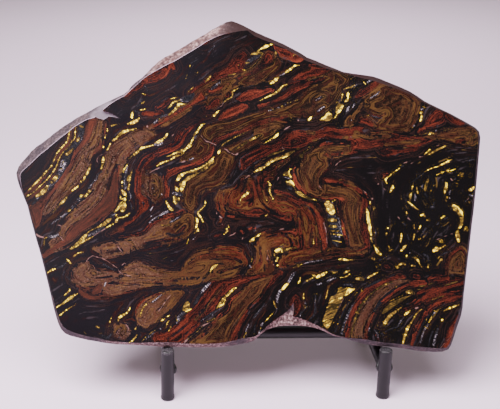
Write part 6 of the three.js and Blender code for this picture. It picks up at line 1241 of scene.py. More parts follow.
    ("gold", 0.9, [(-16.6, -67.6, 0.6), (-13.6, -64.6, 0.6)]),
    ("black", 0, [(-24.6, -81, 0.6), (-20, -77.6, 0.9), (-17.2, -73, 1), (-13, -68.6, 0.9),
        (-9, -64.2, 0.9), (-4, -60, 0.8), (0, -57.6, 0.6)]),
    ("black", 0, [(-49, -97.6, 0.9), (-43, -92, 0.6), (-38, -88.6, 0.6)]),
    ("red", 0.92, [(-24.8, -84.8, 0.9), (-22, -83, 2), (-19, -81, 1.8), (-16.6, -78.6, 1.8),
        (-15.6, -75.6, 1.3), (-15, -72.6, 1.3), (-12, -70, 1.3), (-9, -67.6, 1.1), (-6.6, -65, 0.8)]),
    ("crack", 0.5, [(-49.6, -103, 1.2), (-46.6, -99.4, 1.4), (-42.4, -97, 1.5), (-38.6, -93, 1.7),
        (-34.6, -90, 1.4), (-30, -88, 0.8)]),
    ("gold", 0.5, [(-47.6, -101, 0.8), (-44, -98, 0.8), (-39.6, -94.6, 0.9), (-36.4, -91.2, 0.8)]),
    ("red", 0.85, [(-37, -99, 1.2), (-32, -93.6, 1.7), (-28, -89, 1.5), (-25.6, -86.4, 0.9)]),
    ("brown", 1, [(-38, -102, 1.1), (-33, -97, 1.1), (-28, -90.6, 0.9), (-22, -86, 1.1),
        (-17.6, -82.6, 0.8)]),
    ("brown", 1, [(-15, -78, 1), (-10, -74, 1.1), (-6, -70, 1.1), (-2, -66, 1.1), (3.4, -60.4, 1)]),
    ("brown", 1, [(-13, -73.6, 0.8), (-8, -68.6, 1.1), (-3, -63.6, 0.9), (0.4, -59.6, 0.8)]),
    ("brown", 1, [(-22, -101, 0.9), (-17, -93, 0.9), (-11, -86, 0.8)]),
    ("brown", 1, [(-5, -75.6, 0.7), (4, -68, 1.1), (8, -63, 0.9), (11.4, -59.6, 0.8)]),
    ("brown", 0.95, [(2, -57.4, 1.2), (7, -57.4, 1.4), (11, -54.6, 0.9)]),
    ("brown", 0, [(-19, -92, 1), (-13, -83, 1.2), (-6, -75, 1), (0, -68.6, 1.2), (5, -63.6, 1)]),
    ("brown", 0, [(-34, -102, 1), (-27, -94.6, 1.2), (-20, -87.6, 1), (-13, -79, 0.9)]),
    ("red", 0.52, [(-15, -104.6, 3.2), (-12, -96, 3.5), (-8, -88, 3.5), (-4, -82, 2.9), (1, -76, 2.5),
        (6, -72, 2.1), (9.6, -67.6, 1.9), (12, -63, 2.3), (15, -58.6, 2.9), (19, -54, 3.8),
        (22.4, -51.4, 2.6)]),
    ("red", 0.6, [(-50, -87, 1), (-42, -80, 1.2), (-34, -71, 1.2), (-26, -62, 1)]),
    ("black", 0, [(-46, -88, 0.4), (-38, -80, 0.5), (-31, -72, 0.5), (-24, -63, 0.4)]),
    ("brown", 0.8, [(-41, -86, 0.8), (-34, -78, 1), (-28, -70, 0.9), (-20, -61, 0.9)]),
    ("black", 0, [(-62, -100, 0.4), (-52, -93, 0.5), (-45, -87, 0.4)]),
]

CREST_AREAS = [
    ("black", 0.5, [(15, 113), (22, 110), (31, 109), (34, 104), (27, 99), (20, 96), (14, 92), (8, 92),
        (12, 100)]),
    ("brown", 0.15, [(19, 110.5), (17, 106), (12, 103), (6, 100), (0, 97), (-6, 94), (-10, 90.5), (-4, 89),
        (4, 89.5), (9, 91), (14, 95), (18, 98), (22, 101.5), (25, 106), (23, 109)]),
    ("red", 0.5, [(-8, 96), (-2, 98), (3, 101), (7, 104.5), (10, 109), (11, 113), (14, 115.5), (17.5, 114),
        (19, 110.5), (17, 106), (12, 103.5), (7, 101), (2, 98), (-3, 95.5), (-8, 94)]),
    ("red", 0.2, [(-24, 100), (-17, 103.5), (-13, 107), (-10, 112), (-6, 114.5), (-3, 115), (0, 112),
        (-2, 109), (-5, 106), (-6, 103), (-4, 99.5), (-10, 98), (-17, 97.5), (-24, 97)]),
    ("red", 0.4, [(23, 114.5), (28, 116.5), (33, 115), (38, 112.5), (42, 110.5), (37, 109), (32, 108.5),
        (26, 111.5)]),
    ("brown", 0, [(5, 66), (12, 69), (20, 71), (28, 74), (35, 78), (41, 84), (46, 88), (52, 90), (60, 93),
        (68, 96), (75, 95), (72, 88), (68, 82), (64, 76), (58, 71), (52, 67), (44, 65), (30, 65), (18, 66),
        (10, 65)]),
    ("red", 0.5, [(30, 91.5), (33, 94.5), (38, 98), (43, 100.5), (50, 101.5), (57, 103), (61, 102.5),
        (62, 101), (57, 98.5), (50, 96.5), (43, 94), (36, 92.5)]),
    ("red", 0.5, [(6, 74.5), (12, 76), (18, 78), (24, 81.5), (28, 85), (33, 88.5), (38, 90), (44, 89.5),
        (38, 86.5), (33, 84), (29, 81), (24, 78), (18, 76), (12, 74), (8, 71.5)]),
    ("red", 0.6, [(-10, 79), (-6, 82.5), (-2, 85.5), (4, 86.6), (10, 86.8), (17, 87), (17, 85.5), (12, 83),
        (6, 80.5), (0, 78), (-6, 77.5)]),
    ("red", 0.7, [(-23, 63.5), (-21, 67), (-18, 70), (-12, 73.5), (-5, 75.7), (-1, 75.3), (-1, 73),
        (-6, 69.5), (-13, 66), (-19, 63.8)]),
    ("brown", 0.35, [(-35, 84), (-28, 88.5), (-20, 93), (-12, 95), (-8, 93.5), (-12, 90), (-14, 86),
        (-18, 83), (-20, 79), (-23, 74), (-27, 71.5), (-31, 74), (-32, 79)]),
    ("red", 0.6, [(-33, 84.5), (-28, 88), (-22, 90), (-19, 88.5), (-22, 85.5), (-28, 83.5)]),
    ("red", 0.5, [(-32, 72), (-29, 77), (-25, 80), (-22, 79.5), (-22, 75), (-27, 72)]),
    ("red", 0.6, [(-19, 81.5), (-16, 84.5), (-13.5, 84), (-16, 81.5)]),
]

CREST = [
    ("red", 0.4, [(42, 90.3, 1.6), (48, 91.5, 2), (54, 92.8, 2.5), (60, 95, 1.2)]),
    ("black", 0.5, [(20, 79.5, 0.5), (26, 82.5, 0.7), (30, 86, 0.7), (35, 88.3, 0.5)]),
    ("black", 0.5, [(-32, 81, 0.8), (-28, 82.5, 0.6), (-24, 82.5, 0.8), (-20, 84, 0.5)]),
    ("silver", 0.6, [(14.5, 70.3, 0.4), (17, 71, 0.6), (19, 71.2, 0.9)]),
    ("gold", 0.6, [(17.5, 71.5, 0.8), (19, 71, 0.8)]),
    ("silver", 0.7, [(21.5, 72.6, 0.6), (23, 72.9, 0.6)]),
    ("gold", 0.5, [(23.5, 73.5, 0.9), (25.5, 74, 0.9)]),
    ("silver", 0.8, [(26.3, 74.8, 0.8), (27.2, 75.3, 0.7)]),
    ("gold", 0.6, [(28.5, 76, 0.9), (29.6, 76.4, 0.9)]),
    ("gold", 0.6, [(31, 76.6, 0.8), (32, 77.2, 0.7)]),
    ("gold", 0.4, [(34.5, 77.8, 1.1), (36, 78.2, 1)]),
    ("gold", 0.7, [(26.8, 89.2, 0.6), (28.5, 89.3, 0.8)]),
    ("silver", 0.6, [(51.5, 78, 0.5), (53.5, 79.3, 0.5)]),
    ("gold", 0.8, [(55.3, 80.6, 0.9), (56.6, 81.1, 0.8)]),
    ("silver", 0.9, [(51.3, 69.6, 0.8), (53, 70.8, 0.9), (56.3, 73.2, 0.4)]),
    ("gold", 0.5, [(35, 115, 1.6), (34.3, 112.8, 1.8), (32.5, 110.8, 0.8)]),
    ("gold", 0.4, [(19.6, 114.3, 0.9), (20.4, 112, 1)]),
    ("crack", 0.5, [(20, 121.5, 0.8), (22.5, 120.4, 0.8)]),
    ("gold", 0.4, [(9.7, 120.9, 0.8), (10.5, 120.4, 0.8)]),
    ("crack", 0.4, [(57, 103, 1.2), (61, 102.3, 1.4)]),
    ("gold", 0.6, [(76, 93.6, 0.9), (78.3, 95.2, 0.9)]),
    ("gold", 0.7, [(70.6, 86.1, 0.7), (74, 87.2, 1), (77, 88.2, 1.1), (80, 89.8, 0.7)]),
    ("silver", 0.9, [(73, 69.4, 0.8), (74.6, 72.8, 1.1)]),
    ("silver", 0.8, [(77.7, 72.5, 0.5), (78.8, 75.3, 0.9)]),
]

AREAS = (LEFT_LIMB_AREAS + SHOULDER_AREAS + LOWER_RIGHT_AREAS + UPPER_RIGHT_AREAS + CORE_AREAS
         + RIGHT_EDGE_AREAS + FOOT_AREAS + CREST_AREAS)
LINES = (LEFT_LIMB + BAND_FIVE + SHOULDER + COLUMN + LOWER_RIGHT + UPPER_RIGHT + CORE + RIGHT_EDGE
         + FOOT + CREST)

# ---- helpers for the slab's mesh ------------------------------------------------------------------------

def to_face(points):
    """Turns points in metres into (u, v, w) in millimetres."""
    offset = np.asarray(points) / MM - DATUM
    return np.stack([offset @ U_AXIS, offset @ V_AXIS, offset @ W_AXIS], axis=1)


def from_face(uvw):
    """Turns (u, v, w) in millimetres into points in metres."""
    return (DATUM + uvw @ np.array([U_AXIS, V_AXIS, W_AXIS])) * MM


def split_long_edges(points, triangles, limit):
    """Halves the edges of a triangle list until none is longer than the limit. New points are appended."""
    while True:
        middles = {}

        def middle(a, b):
            """The point halfway along an edge that is too long, or None."""
            key = (min(a, b), max(a, b))
            if key not in middles:
                far = math.dist(points[a], points[b]) > limit
                middles[key] = len(points) if far else None
                if far:
                    points.append(tuple((x + y) / 2 for x, y in zip(points[a], points[b])))
            return middles[key]

        finer = []
        for a, b, c in triangles:
            for _ in range(3):
                if middle(a, b) is not None and middle(c, a) is None:
                    break
                a, b, c = b, c, a
            ab, bc, ca = middle(a, b), middle(b, c), middle(c, a)
            if ab is None:
                finer.append((a, b, c))
            elif bc is None:
                finer += [(a, ab, c), (ab, b, c)]
            elif ca is None:
                finer.append((ab, b, bc))
                if math.dist(points[a], points[bc]) < math.dist(points[ab], points[c]):
                    finer += [(a, ab, bc), (a, bc, c)]
                else:
                    finer += [(a, ab, c), (ab, bc, c)]
            else:
                finer += [(a, ab, ca), (ab, b, bc), (ca, bc, c), (ab, bc, ca)]
        if len(finer) == len(triangles):
            return finer
        triangles = finer


def open_rings(triangles):
    """The closed rings of points along edges that carry only one triangle, each in order."""
    edges = {edge for a, b, c in triangles for edge in ((a, b), (b, c), (c, a))}
    following = dict((b, a) for a, b in edges if (b, a) not in edges)
    rings = []
    while following:
        start, point = following.popitem()
        ring = [start]
        while point != start:
            ring.append(point)
            point = following.pop(point)
        rings.append(ring)
    return rings


def segment_distance(points, start, end):
    """Distance from each point to a segment, and how far along it the nearest place is (0 to 1)."""
    along = end - start
    t = np.clip((points - start) @ along / max(float(along @ along), 1e-9), 0, 1)
    return np.linalg.norm(points - start - t[:, None] * along, axis=1), t


def inside_polygon(points, corners):
    """Which of the points lie inside a closed outline."""
    inside = np.zeros(len(points), bool)
    x, y = points[:, 0], points[:, 1]
    for (x0, y0), (x1, y1) in zip(corners, np.roll(corners, -1, axis=0)):
        if y0 != y1:
            crosses = (y0 > y) != (y1 > y)
            inside ^= crosses & (x < (x1 - x0) * (y - y0) / (y1 - y0) + x0)
    return inside


def smooth_path(points):
    """A finer run of (u, v, width) through given ones."""
    points = np.asarray(points, float)
    if len(points) < 3:
        return points
    ends = np.vstack([2 * points[0] - points[1], points, 2 * points[-1] - points[-2]])
    run = []
    for p0, p1, p2, p3 in zip(ends, ends[1:], ends[2:], ends[3:]):
        steps = max(1, int(np.linalg.norm(p2[:2] - p1[:2]) / PATH_STEP))
        for t in np.arange(steps) / steps:
            run.append(0.5 * (2 * p1 + (p2 - p0) * t + (2 * p0 - 5 * p1 + 4 * p2 - p3) * t**2
                              + (3 * p1 - p0 - 3 * p2 + p3) * t**3))
    run.append(points[-1])
    run = np.array(run)
    run[:, 2] = np.maximum(run[:, 2], LEAST_WIDTH)
    return run


def narrow_band_points():
    """Points down the middle of every narrow band, so that the mesh follows it."""
    found = []
    for _, _, points in LINES:
        path = smooth_path(points)
        for a, b in zip(path, path[1:]):
            if min(a[2], b[2]) <= NARROW:
                steps = max(1, round(float(np.linalg.norm(b[:2] - a[:2])) / LINE_STEP))
                found += [a[:2] + (b[:2] - a[:2]) * k / steps for k in range(steps)]
    found = np.array(found)
    cells = np.round(found / LINE_GAP).astype(int)
    first_in_cell = np.unique(cells, axis=0, return_index=True)[1]
    return found[np.sort(first_in_cell)]


def plate_points(outer, step, extra):
    """An even triangular grid over the plate, giving way to the extra points."""
    low, high = outer.min(axis=0), outer.max(axis=0)
    row = step * math.sqrt(3) / 2
    u, v = np.meshgrid(np.arange(low[0], high[0], step), np.arange(low[1], high[1], row))
    u[1::2] += step / 2
    grid = np.stack([u.ravel(), v.ravel()], axis=1)
    if not len(extra):
        return grid
    cell = 0.5 * step
    size = np.ceil((high - low) / cell).astype(int) + 4
    taken = np.zeros(size, bool)
    places = np.clip(((extra - low) / cell).astype(int) + 1, 1, size - 2)
    for i in (-1, 0, 1):
        for j in (-1, 0, 1):
            taken[places[:, 0] + i, places[:, 1] + j] |= i * j == 0
    own = np.clip(((grid - low) / cell).astype(int) + 1, 0, size - 1)
    return np.concatenate([grid[~taken[own[:, 0], own[:, 1]]], extra])


def fill_plate(points, rings, step, extra=()):
    """Even triangles inside flat rings of points, facing the way that the rings turn. Points are appended."""
    flat = [np.array([points[k][:2] for k in ring]) for ring in rings]
    level = points[rings[0][0]][2]
    outer = np.concatenate(flat)
    grid = plate_points(outer, step, np.asarray(extra))
    keep = np.zeros(len(grid), bool)
    for ring in flat:
        keep ^= inside_polygon(grid, ring)
    for ring in flat:
        for start, end in zip(ring, np.roll(ring, -1, axis=0)):
            beside = np.abs(grid - (start + end) / 2) < np.abs(end - start) / 2 + step
            close = np.flatnonzero(beside.all(axis=1))
            keep[close[segment_distance(grid[close], start, end)[0] < EDGE_GAP * step]] = False
    edges = []
    for ring in flat:
        edges += [(len(edges) + k, len(edges) + (k + 1) % len(ring)) for k in range(len(ring))]
    places = [Vector(place) for place in np.concatenate([outer, grid[keep]])]
    made, _, triangles, origins, _, _ = delaunay_2d_cdt(places, edges, [], 0, TOUCHING)
    own = [k for ring in rings for k in ring]
    numbers = []
    for place, sources in zip(made, origins):
        known = [source for source in sources if source < len(own)]
        numbers.append(own[known[0]] if known else len(points))
        if not known:
            points.append((place.x, place.y, level))
    corners = np.array([[made[k][:] for k in triangle] for triangle in triangles])
    kept = np.zeros(len(corners), bool)
    for ring in flat:
        kept ^= inside_polygon(corners.mean(axis=1), ring)
    one, other = corners[:, 1] - corners[:, 0], corners[:, 2] - corners[:, 0]
    kept &= np.abs(one[:, 0] * other[:, 1] - one[:, 1] * other[:, 0]) > SLIVER
    return [tuple(numbers[k] for k in triangle) for triangle, keep_it in zip(triangles, kept) if keep_it]


# ---- painting the bands ---------------------------------------------------------------------------------

KINDS = ("red", "brown", "gold", "silver", "crack")     # a black band only covers others: it is ground


def closed(corners):
    """An area's outline as a path that ends where it starts."""
    return [(*corner, 1) for corner in (*corners, corners[0])]


def signed_distances(spots, shape, points):
    """How far each spot is outside a band (negative inside it), and how far along the band it lies.

    A shape is a line or an area."""
    found = np.full(len(spots), FAR)
    along = spots @ AREA_GRAIN
    if shape == "area":
        corners = smooth_path(closed(points))[:, :2]
        for start, end in zip(corners, corners[1:]):
            found = np.minimum(found, segment_distance(spots, start, end)[0])
        return np.where(inside_polygon(spots, corners[:-1]), -found, found), along
    path = smooth_path(points)
    if len(path) == 1:
        return np.linalg.norm(spots - path[0, :2], axis=1) - path[0, 2] / 2, along
    done = FIBRE_SHIFT * path[0, 0]
    for a, b in zip(path, path[1:]):
        distance, t = segment_distance(spots, a[:2], b[:2])
        distance -= (a[2] + (b[2] - a[2]) * t) / 2
        length = math.dist(a[:2], b[:2])
        along = np.where(distance < found, done + t * length, along)
        found = np.minimum(found, distance)
        done += length
    return found, along


def paint(spots):
    """Distances to each kind of band, its tone, and the length along fibrous bands.

    The bands are taken in the order drawn: a later one covers earlier ones. Silver shares gold's tone."""
    distance = {kind: np.full(len(spots), FAR) for kind in KINDS}
    tone = {kind: np.full(len(spots), 0.5) for kind in KINDS}
    along = np.zeros(len(spots))
    bands = [("area", *area) for area in AREAS] + [("line", *line) for line in LINES]
    for shape, kind, shade, points in bands:
        corners = np.array([p[:2] for p in points], float)
        middle = (corners.min(axis=0) + corners.max(axis=0)) / 2
        reach = np.ptp(corners, axis=0) / 2 + PAINT_REACH
        near = np.flatnonzero((np.abs(spots - middle) < reach).all(axis=1))
        found, run = signed_distances(spots[near], shape, points)
        for other in KINDS:
            if other != kind:
                distance[other][near] = np.maximum(distance[other][near], -found)
        if kind in distance:
            closer = found < np.minimum(distance[kind][near], TONE_REACH)
            closer |= found < TONE_OVERLAP
            tone["gold" if kind == "silver" else kind][near[closer]] = shade
            if kind in ("gold", "silver"):
                along[near[closer]] = run[closer]
            distance[kind][near] = np.minimum(distance[kind][near], found)
    return distance, tone, along


def band_directions(low, size, cell):
    """The bands' direction on a coarse grid, as the cosine and sine of its doubled angle."""
    u, v = np.meshgrid(low[0] + np.arange(size[0]) * cell, low[1] + np.arange(size[1]) * cell, indexing="ij")
    spots = np.stack([u.ravel(), v.ravel()], axis=1)
    total = np.zeros((len(spots), 2))
    runs = [points for kind, _, points in LINES if kind != "crack" and len(points) > 1]
    runs += [closed(points) for _, _, points in AREAS]
    for points in runs:
        path = smooth_path(points)
        for a, b in zip(path, path[1:]):
            along = (b - a)[:2]
            length = float(np.linalg.norm(along))
            if length < SHORT_SEGMENT:
                continue
            doubled = 2 * math.atan2(along[1], along[0])
            distance = segment_distance(spots, a[:2], b[:2])[0]
            weight = length / (distance**2 + PULL_SOFTENING) ** 1.5
            total += weight[:, None] * np.array([math.cos(doubled), math.sin(doubled)])
    return total.reshape(size[0], size[1], 2)


def sample(grid, places):
    """Reads a grid between its points. Places are in cells, and are kept just short of the last one."""
    top = np.array(grid.shape[:2]) - 1.001
    places = np.clip(places, 0, top)
    whole = places.astype(int)
    part = places - whole
    i, j = whole[..., 0], whole[..., 1]
    s, t = part[..., :1], part[..., 1:]
    return ((grid[i, j] * (1 - s) + grid[i + 1, j] * s) * (1 - t)
            + (grid[i, j + 1] * (1 - s) + grid[i + 1, j + 1] * s) * t)


def streaks(spots):
    """Three sets of streaks along the bands, each about 0 to 1: noise dragged along the nearest bands."""
    coarse = np.ceil(STREAK_AREA / DIRECTION_CELL).astype(int)
    direction = band_directions(STREAK_CORNER, coarse, DIRECTION_CELL)
    fine = (STREAK_AREA / STREAK_CELL).astype(int)
    here = np.stack(np.meshgrid(np.arange(fine[0]), np.arange(fine[1]), indexing="ij"), axis=-1).astype(float)
    doubled = sample(direction, here * STREAK_CELL / DIRECTION_CELL)
    angle = 0.5 * np.arctan2(doubled[..., 1], doubled[..., 0])
    flow = np.stack([np.cos(angle), np.sin(angle)], axis=-1)
    grain = np.random.default_rng(STREAK_SEED).normal(size=(*fine, 3))
    total = grain.copy()
    for sense in (1, -1):
        place = here.copy()
        heading = sense * flow
        for _ in range(STREAK_LENGTH):
            place = place + heading
            ahead = flow[tuple(np.clip(np.round(place).astype(int), 0, fine - 1).transpose(2, 0, 1))]
            turn = np.sign((ahead * heading).sum(axis=-1, keepdims=True))
            heading = ahead * np.where(turn == 0, 1, turn)
            total += sample(grain, place)
    total = 0.5 + STREAK_SPREAD * (total - total.mean(axis=(0, 1))) / total.std(axis=(0, 1))
    return sample(total, (spots - STREAK_CORNER) / STREAK_CELL)


def give_attribute(mesh, name, x, y, z):
    """Lets the mesh carry three numbers a point, for the materials to read."""
    attribute = mesh.attributes.new(name, "FLOAT_VECTOR", "POINT")
    attribute.data.foreach_set("vector", np.stack([x, y, z], axis=1).astype(np.float32).ravel())


# ---- the slab -------------------------------------------------------------------------------------------

FACE, WALL, BACK = range(3)


def slab_surface():
    """The solid's own outline and walls, with face, walls and back divided finely enough to paint.

    Returns points in (u, v, w), triangles, and which of FACE, WALL and BACK each triangle is."""
    solid = bmesh.new()
    solid.from_mesh(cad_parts["ironstone_slab"].data)
    bmesh.ops.remove_doubles(solid, verts=solid.verts, dist=WELDED)
    bmesh.ops.triangulate(solid, faces=solid.faces)
    solid.verts.index_update()
    points = [tuple(place) for place in to_face([vert.co for vert in solid.verts])]

    def lies_at(corners, level):
        """Whether these points are all in the plane of this w."""
        return max(abs(points[k][2] - level) for k in corners) < FLAT

    walls = []
    for face in solid.faces:
        corners = tuple(vert.index for vert in face.verts)
        if not (lies_at(corners, 0) or lies_at(corners, -THICKNESS)):
            walls.append(corners)
    solid.free()
    walls = split_long_edges(points, walls, WALL_STEP)
    rings = open_rings(walls)
    face_rings = [ring for ring in rings if lies_at(ring[:1], 0)]
    back_rings = [ring for ring in rings if lies_at(ring[:1], -THICKNESS)]
    front = fill_plate(points, face_rings, FACE_STEP, narrow_band_points())
    rear = fill_plate(points, back_rings, BACK_STEP)
    rear = [(a, c, b) for a, b, c in rear]
    kinds = [FACE] * len(front) + [WALL] * len(walls) + [BACK] * len(rear)
    return np.array(points), front + walls + rear, kinds


def roughen_walls(points, triangles, kinds):
    """Moves the broken walls' points in a little, unevenly, and leaves the edges of face and back alone."""
    normals = np.zeros_like(points)
    for corners, kind in zip(triangles, kinds):
        if kind == WALL:
            a, b, c = points[list(corners)]
            normals[list(corners)] += np.cross(b - a, c - a)
    length = np.linalg.norm(normals, axis=1)
    depth = -points[:, 2]
    edge = np.clip(np.minimum(depth, THICKNESS - depth) / KEPT_EDGE, 0, 1)
    for k in np.flatnonzero((length > 0) & (edge > 0)):
        place = Vector(points[k])
        bite = sum(share * noise.noise(place / size) for share, size in BITES)
        reach = WALL_BITE * min(1.0, (depth[k] - BITE_START) / BITE_RUN)
        points[k] -= normals[k] / length[k] * max(0.0, 0.5 + bite) * reach * edge[k]


def shape_slab():
    """Makes the stone in place of its node, with its bands painted on."""
    points, triangles, kinds = slab_surface()
    spots = points[:, :2].copy()
    depth = -points[:, 2]
    # The folds plunge a little, so that the bands drift as they go through the stone.
    drift = np.stack([PLUNGE_U * depth, PLUNGE_V * depth], axis=1)
    spots += drift * np.clip(depth / PLUNGE_START, 0, 1)[:, None]
    distance, tone, along = paint(spots)
    grain = streaks(spots)
    rim = rim_distance(points, triangles, kinds)
    roughen_walls(points, triangles, kinds)
    mesh = bpy.data.meshes.new("slab")
    mesh.from_pydata(from_face(points).tolist(), [], triangles)
    mesh.polygons.foreach_set("material_index", kinds)
    mesh.polygons.foreach_set("use_smooth", np.array(kinds) == WALL)
    give_attribute(mesh, "bands", distance["red"], distance["brown"], distance["gold"])
    give_attribute(mesh, "veins", distance["silver"], distance["crack"], rim)
    give_attribute(mesh, "tones", tone["red"], tone["brown"], tone["gold"])
    give_attribute(mesh, "streaks", *grain.T)
    give_attribute(mesh, "place", points[:, 0], points[:, 1], along)
    for material in (face_material(), wall_material(), back_material()):
        mesh.materials.append(material)
    slab = bpy.data.objects.new("slab", mesh)
    bpy.context.collection.objects.link(slab)
    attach(slab, "root")
    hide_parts("ironstone_slab")


def rim_distance(points, triangles, kinds):
    """How far each point of the walls is from the polished face's edge."""
    edge = sorted({k for corners, kind in zip(triangles, kinds) if kind == WALL for k in corners
                   if abs(points[k][2]) < FLAT})
    edge_points = points[edge]
    found = np.full(len(points), FAR)
    for k in np.flatnonzero(points[:, 2] < -FLAT):
        if points[k][2] > -RIM_DEPTH:
            found[k] = np.linalg.norm(edge_points - points[k], axis=1).min()
    found[edge] = 0
    return found


# ---- materials ------------------------------------------------------------------------------------------

def srgb(red, green, blue):
    """A colour given as it looks on screen, 0 to 255, as the shader wants it."""
    def linear(level):
        level /= 255
        return level / 12.92 if level <= 0.04045 else ((level + 0.055) / 1.055) ** 2.4
    return (linear(red), linear(green), linear(blue), 1.0)


class Recipe:
    """A node material under construction. Most methods add a node and return its output socket."""

    def __init__(self, name):
        self.material = bpy.data.materials.new(name)
        self.material.use_nodes = True
        self.nodes = self.material.node_tree.nodes
        self.links = self.material.node_tree.links
        self.shader = self.nodes["Principled BSDF"]

    def plug(self, socket, value):
        """Links a socket to the value if that is a socket too, and sets it otherwise."""
        if isinstance(value, bpy.types.NodeSocket):
            self.links.new(value, socket)
        else:
            socket.default_value = value

    def set(self, **values):
        """Gives the shader its inputs and returns the material."""
        for name, value in values.items():
            self.plug(self.shader.inputs[name.replace("_", " ")], value)
        return self.material

    def math(self, operation, *values):
        node = self.nodes.new("ShaderNodeMath")
        node.operation = operation
        for socket, value in zip(node.inputs, values):
            self.plug(socket, value)
        return node.outputs[0]

    def plus(self, first, *others):
        for other in others:
            first = self.math("ADD", first, other)
        return first

    def times(self, first, *others):
        for other in others:
            first = self.math("MULTIPLY", first, other)
        return first

    def swing(self, value, amount):
        """A 0 to 1 value turned into one that swings about 0 by the amount either way."""
        return self.math("MULTIPLY_ADD", value, 2 * amount, -amount)

    def swap(self, amount, first, second):
        """The first value where the amount is 0, the second where it is 1."""
        return self.math("MULTIPLY_ADD", self.math("SUBTRACT", second, first), amount, first)

    def step(self, value, low, high, to_low=0.0, to_high=1.0):
        """A smooth step: to_low where value is at or below low, to_high at or above high."""
        node = self.nodes.new("ShaderNodeMapRange")
        node.interpolation_type = "SMOOTHSTEP"
        for socket, number in zip(node.inputs, (value, low, high, to_low, to_high)):
            self.plug(socket, number)
        return node.outputs[0]

    def window(self, value, start, end):
        """1 from the end of the first step to the start of the second, 0 before and after them."""
        return self.times(self.step(value, *start), self.step(value, *end, 1, 0))

    def blend(self, amount, first, second):
        """The first colour where the amount is 0, the second where it is 1."""
        node = self.nodes.new("ShaderNodeMix")
        node.data_type = "RGBA"
        node.clamp_factor = True
        self.plug(node.inputs[0], amount)
        self.plug(node.inputs[6], first)
        self.plug(node.inputs[7], second)
        return node.outputs[2]

    def ramp(self, value, stops):
        """A colour for each value, from stops of (value, colour)."""
        node = self.nodes.new("ShaderNodeValToRGB")
        while len(node.color_ramp.elements) < len(stops):
            node.color_ramp.elements.new(0.5)
        for element, (place, colour) in zip(node.color_ramp.elements, stops):
            element.position = place
            element.color = colour
        self.plug(node.inputs[0], value)
        return node.outputs[0]

    def combine(self, *values):
        node = self.nodes.new("ShaderNodeCombineXYZ")
        for socket, value in zip(node.inputs, values):
            self.plug(socket, value)
        return node.outputs[0]

    def split(self, vector):
        node = self.nodes.new("ShaderNodeSeparateXYZ")
        self.links.new(vector, node.inputs[0])
        return node.outputs[0], node.outputs[1], node.outputs[2]

    def attribute(self, name):
        """The three numbers that the mesh carries under a name."""
        node = self.nodes.new("ShaderNodeAttribute")
        node.attribute_name = name
        return self.split(node.outputs["Vector"])

    def place(self, scale=(1, 1, 1)):
        """The object's own coordinates, in millimetres times the scale."""
        coordinates = self.nodes.new("ShaderNodeTexCoord").outputs["Object"]
        mapping = self.nodes.new("ShaderNodeMapping")
        self.links.new(coordinates, mapping.inputs[0])
        mapping.inputs["Scale"].default_value = [s / MM for s in scale]
        return mapping.outputs[0]

    def noise(self, size, detail=2.0, roughness=0.5, vector=None):
        """Cloudy noise, 0 to 1, with features of about the given size in millimetres."""
        node = self.nodes.new("ShaderNodeTexNoise")
        self.plug(node.inputs["Vector"], self.place() if vector is None else vector)
        node.inputs["Scale"].default_value = 1 / size
        node.inputs["Detail"].default_value = detail
        node.inputs["Roughness"].default_value = roughness
        return node.outputs[0]

    def cells(self, along, distance, length, width, detail, roughness):
        """Noise, 0 to 1, in cells of a length along a band and a width across it, in millimetres."""
        vector = self.combine(self.math("DIVIDE", along, length), self.math("DIVIDE", distance, width))
        return self.noise(1, detail, roughness, vector)

    def bump(self, height, distance, strength):
        node = self.nodes.new("ShaderNodeBump")
        self.plug(node.inputs["Height"], height)
        node.inputs["Distance"].default_value = distance * MM
        node.inputs["Strength"].default_value = strength
        return node.outputs[0]


# colours of the bands
# the ground under a painted veil of reflection, lighter and cooler, used at the left
GROUND_PAINTED_VEIL = srgb(17, 14, 19)
GROUND_WARM = srgb(9, 7, 9)
GROUND_LINE = srgb(36, 21, 19)
GROUND_STREAK = srgb(50, 43, 47)
MAROON = srgb(36, 12, 11)
RED = srgb(60, 23, 17)
RED_BRIGHT = srgb(76, 30, 22)
ORANGE = srgb(108, 50, 33)
DARK_BROWN = srgb(18, 10, 8)
BROWN = srgb(46, 29, 19)
RUST = srgb(58, 22, 12)
BRIGHT_BROWN = srgb(68, 44, 25)
MAUVE = srgb(52, 35, 29)
BRIGHT_MAUVE = srgb(72, 49, 38)
DUSTY = srgb(128, 104, 92)
OCHRE_LINE = srgb(94, 66, 33)
OLIVE = srgb(34, 27, 12)
DARK_GOLD = srgb(76, 60, 27)
GOLD = srgb(112, 88, 40)
GOLD_BRIGHT = srgb(173, 139, 38)
# painted highlights of the tiger's eye: the gold's brightest colour, and the colour of the glow that the face
# gives off at its glints
GOLD_GLINT = srgb(255, 228, 10)
PAINTED_GLINT_GLOW = srgb(255, 222, 40)
NO_LIGHT = srgb(0, 0, 0)
SILVER_DARK = srgb(16, 16, 20)
SILVER = srgb(44, 42, 47)
SILVER_BRIGHT = srgb(190, 178, 184)
CRACK = srgb(124, 92, 86)
RED_SHADES = ((0.0, GROUND_WARM), (0.18, MAROON), (0.42, RED), (0.66, RED_BRIGHT), (1.0, ORANGE))
GOLD_SHADES = ((0.0, OLIVE), (0.22, DARK_GOLD), (0.5, GOLD), (0.7, GOLD_BRIGHT), (0.88, GOLD_GLINT))
SILVER_SHADES = ((0.05, SILVER_DARK), (0.5, SILVER), (0.95, SILVER_BRIGHT))

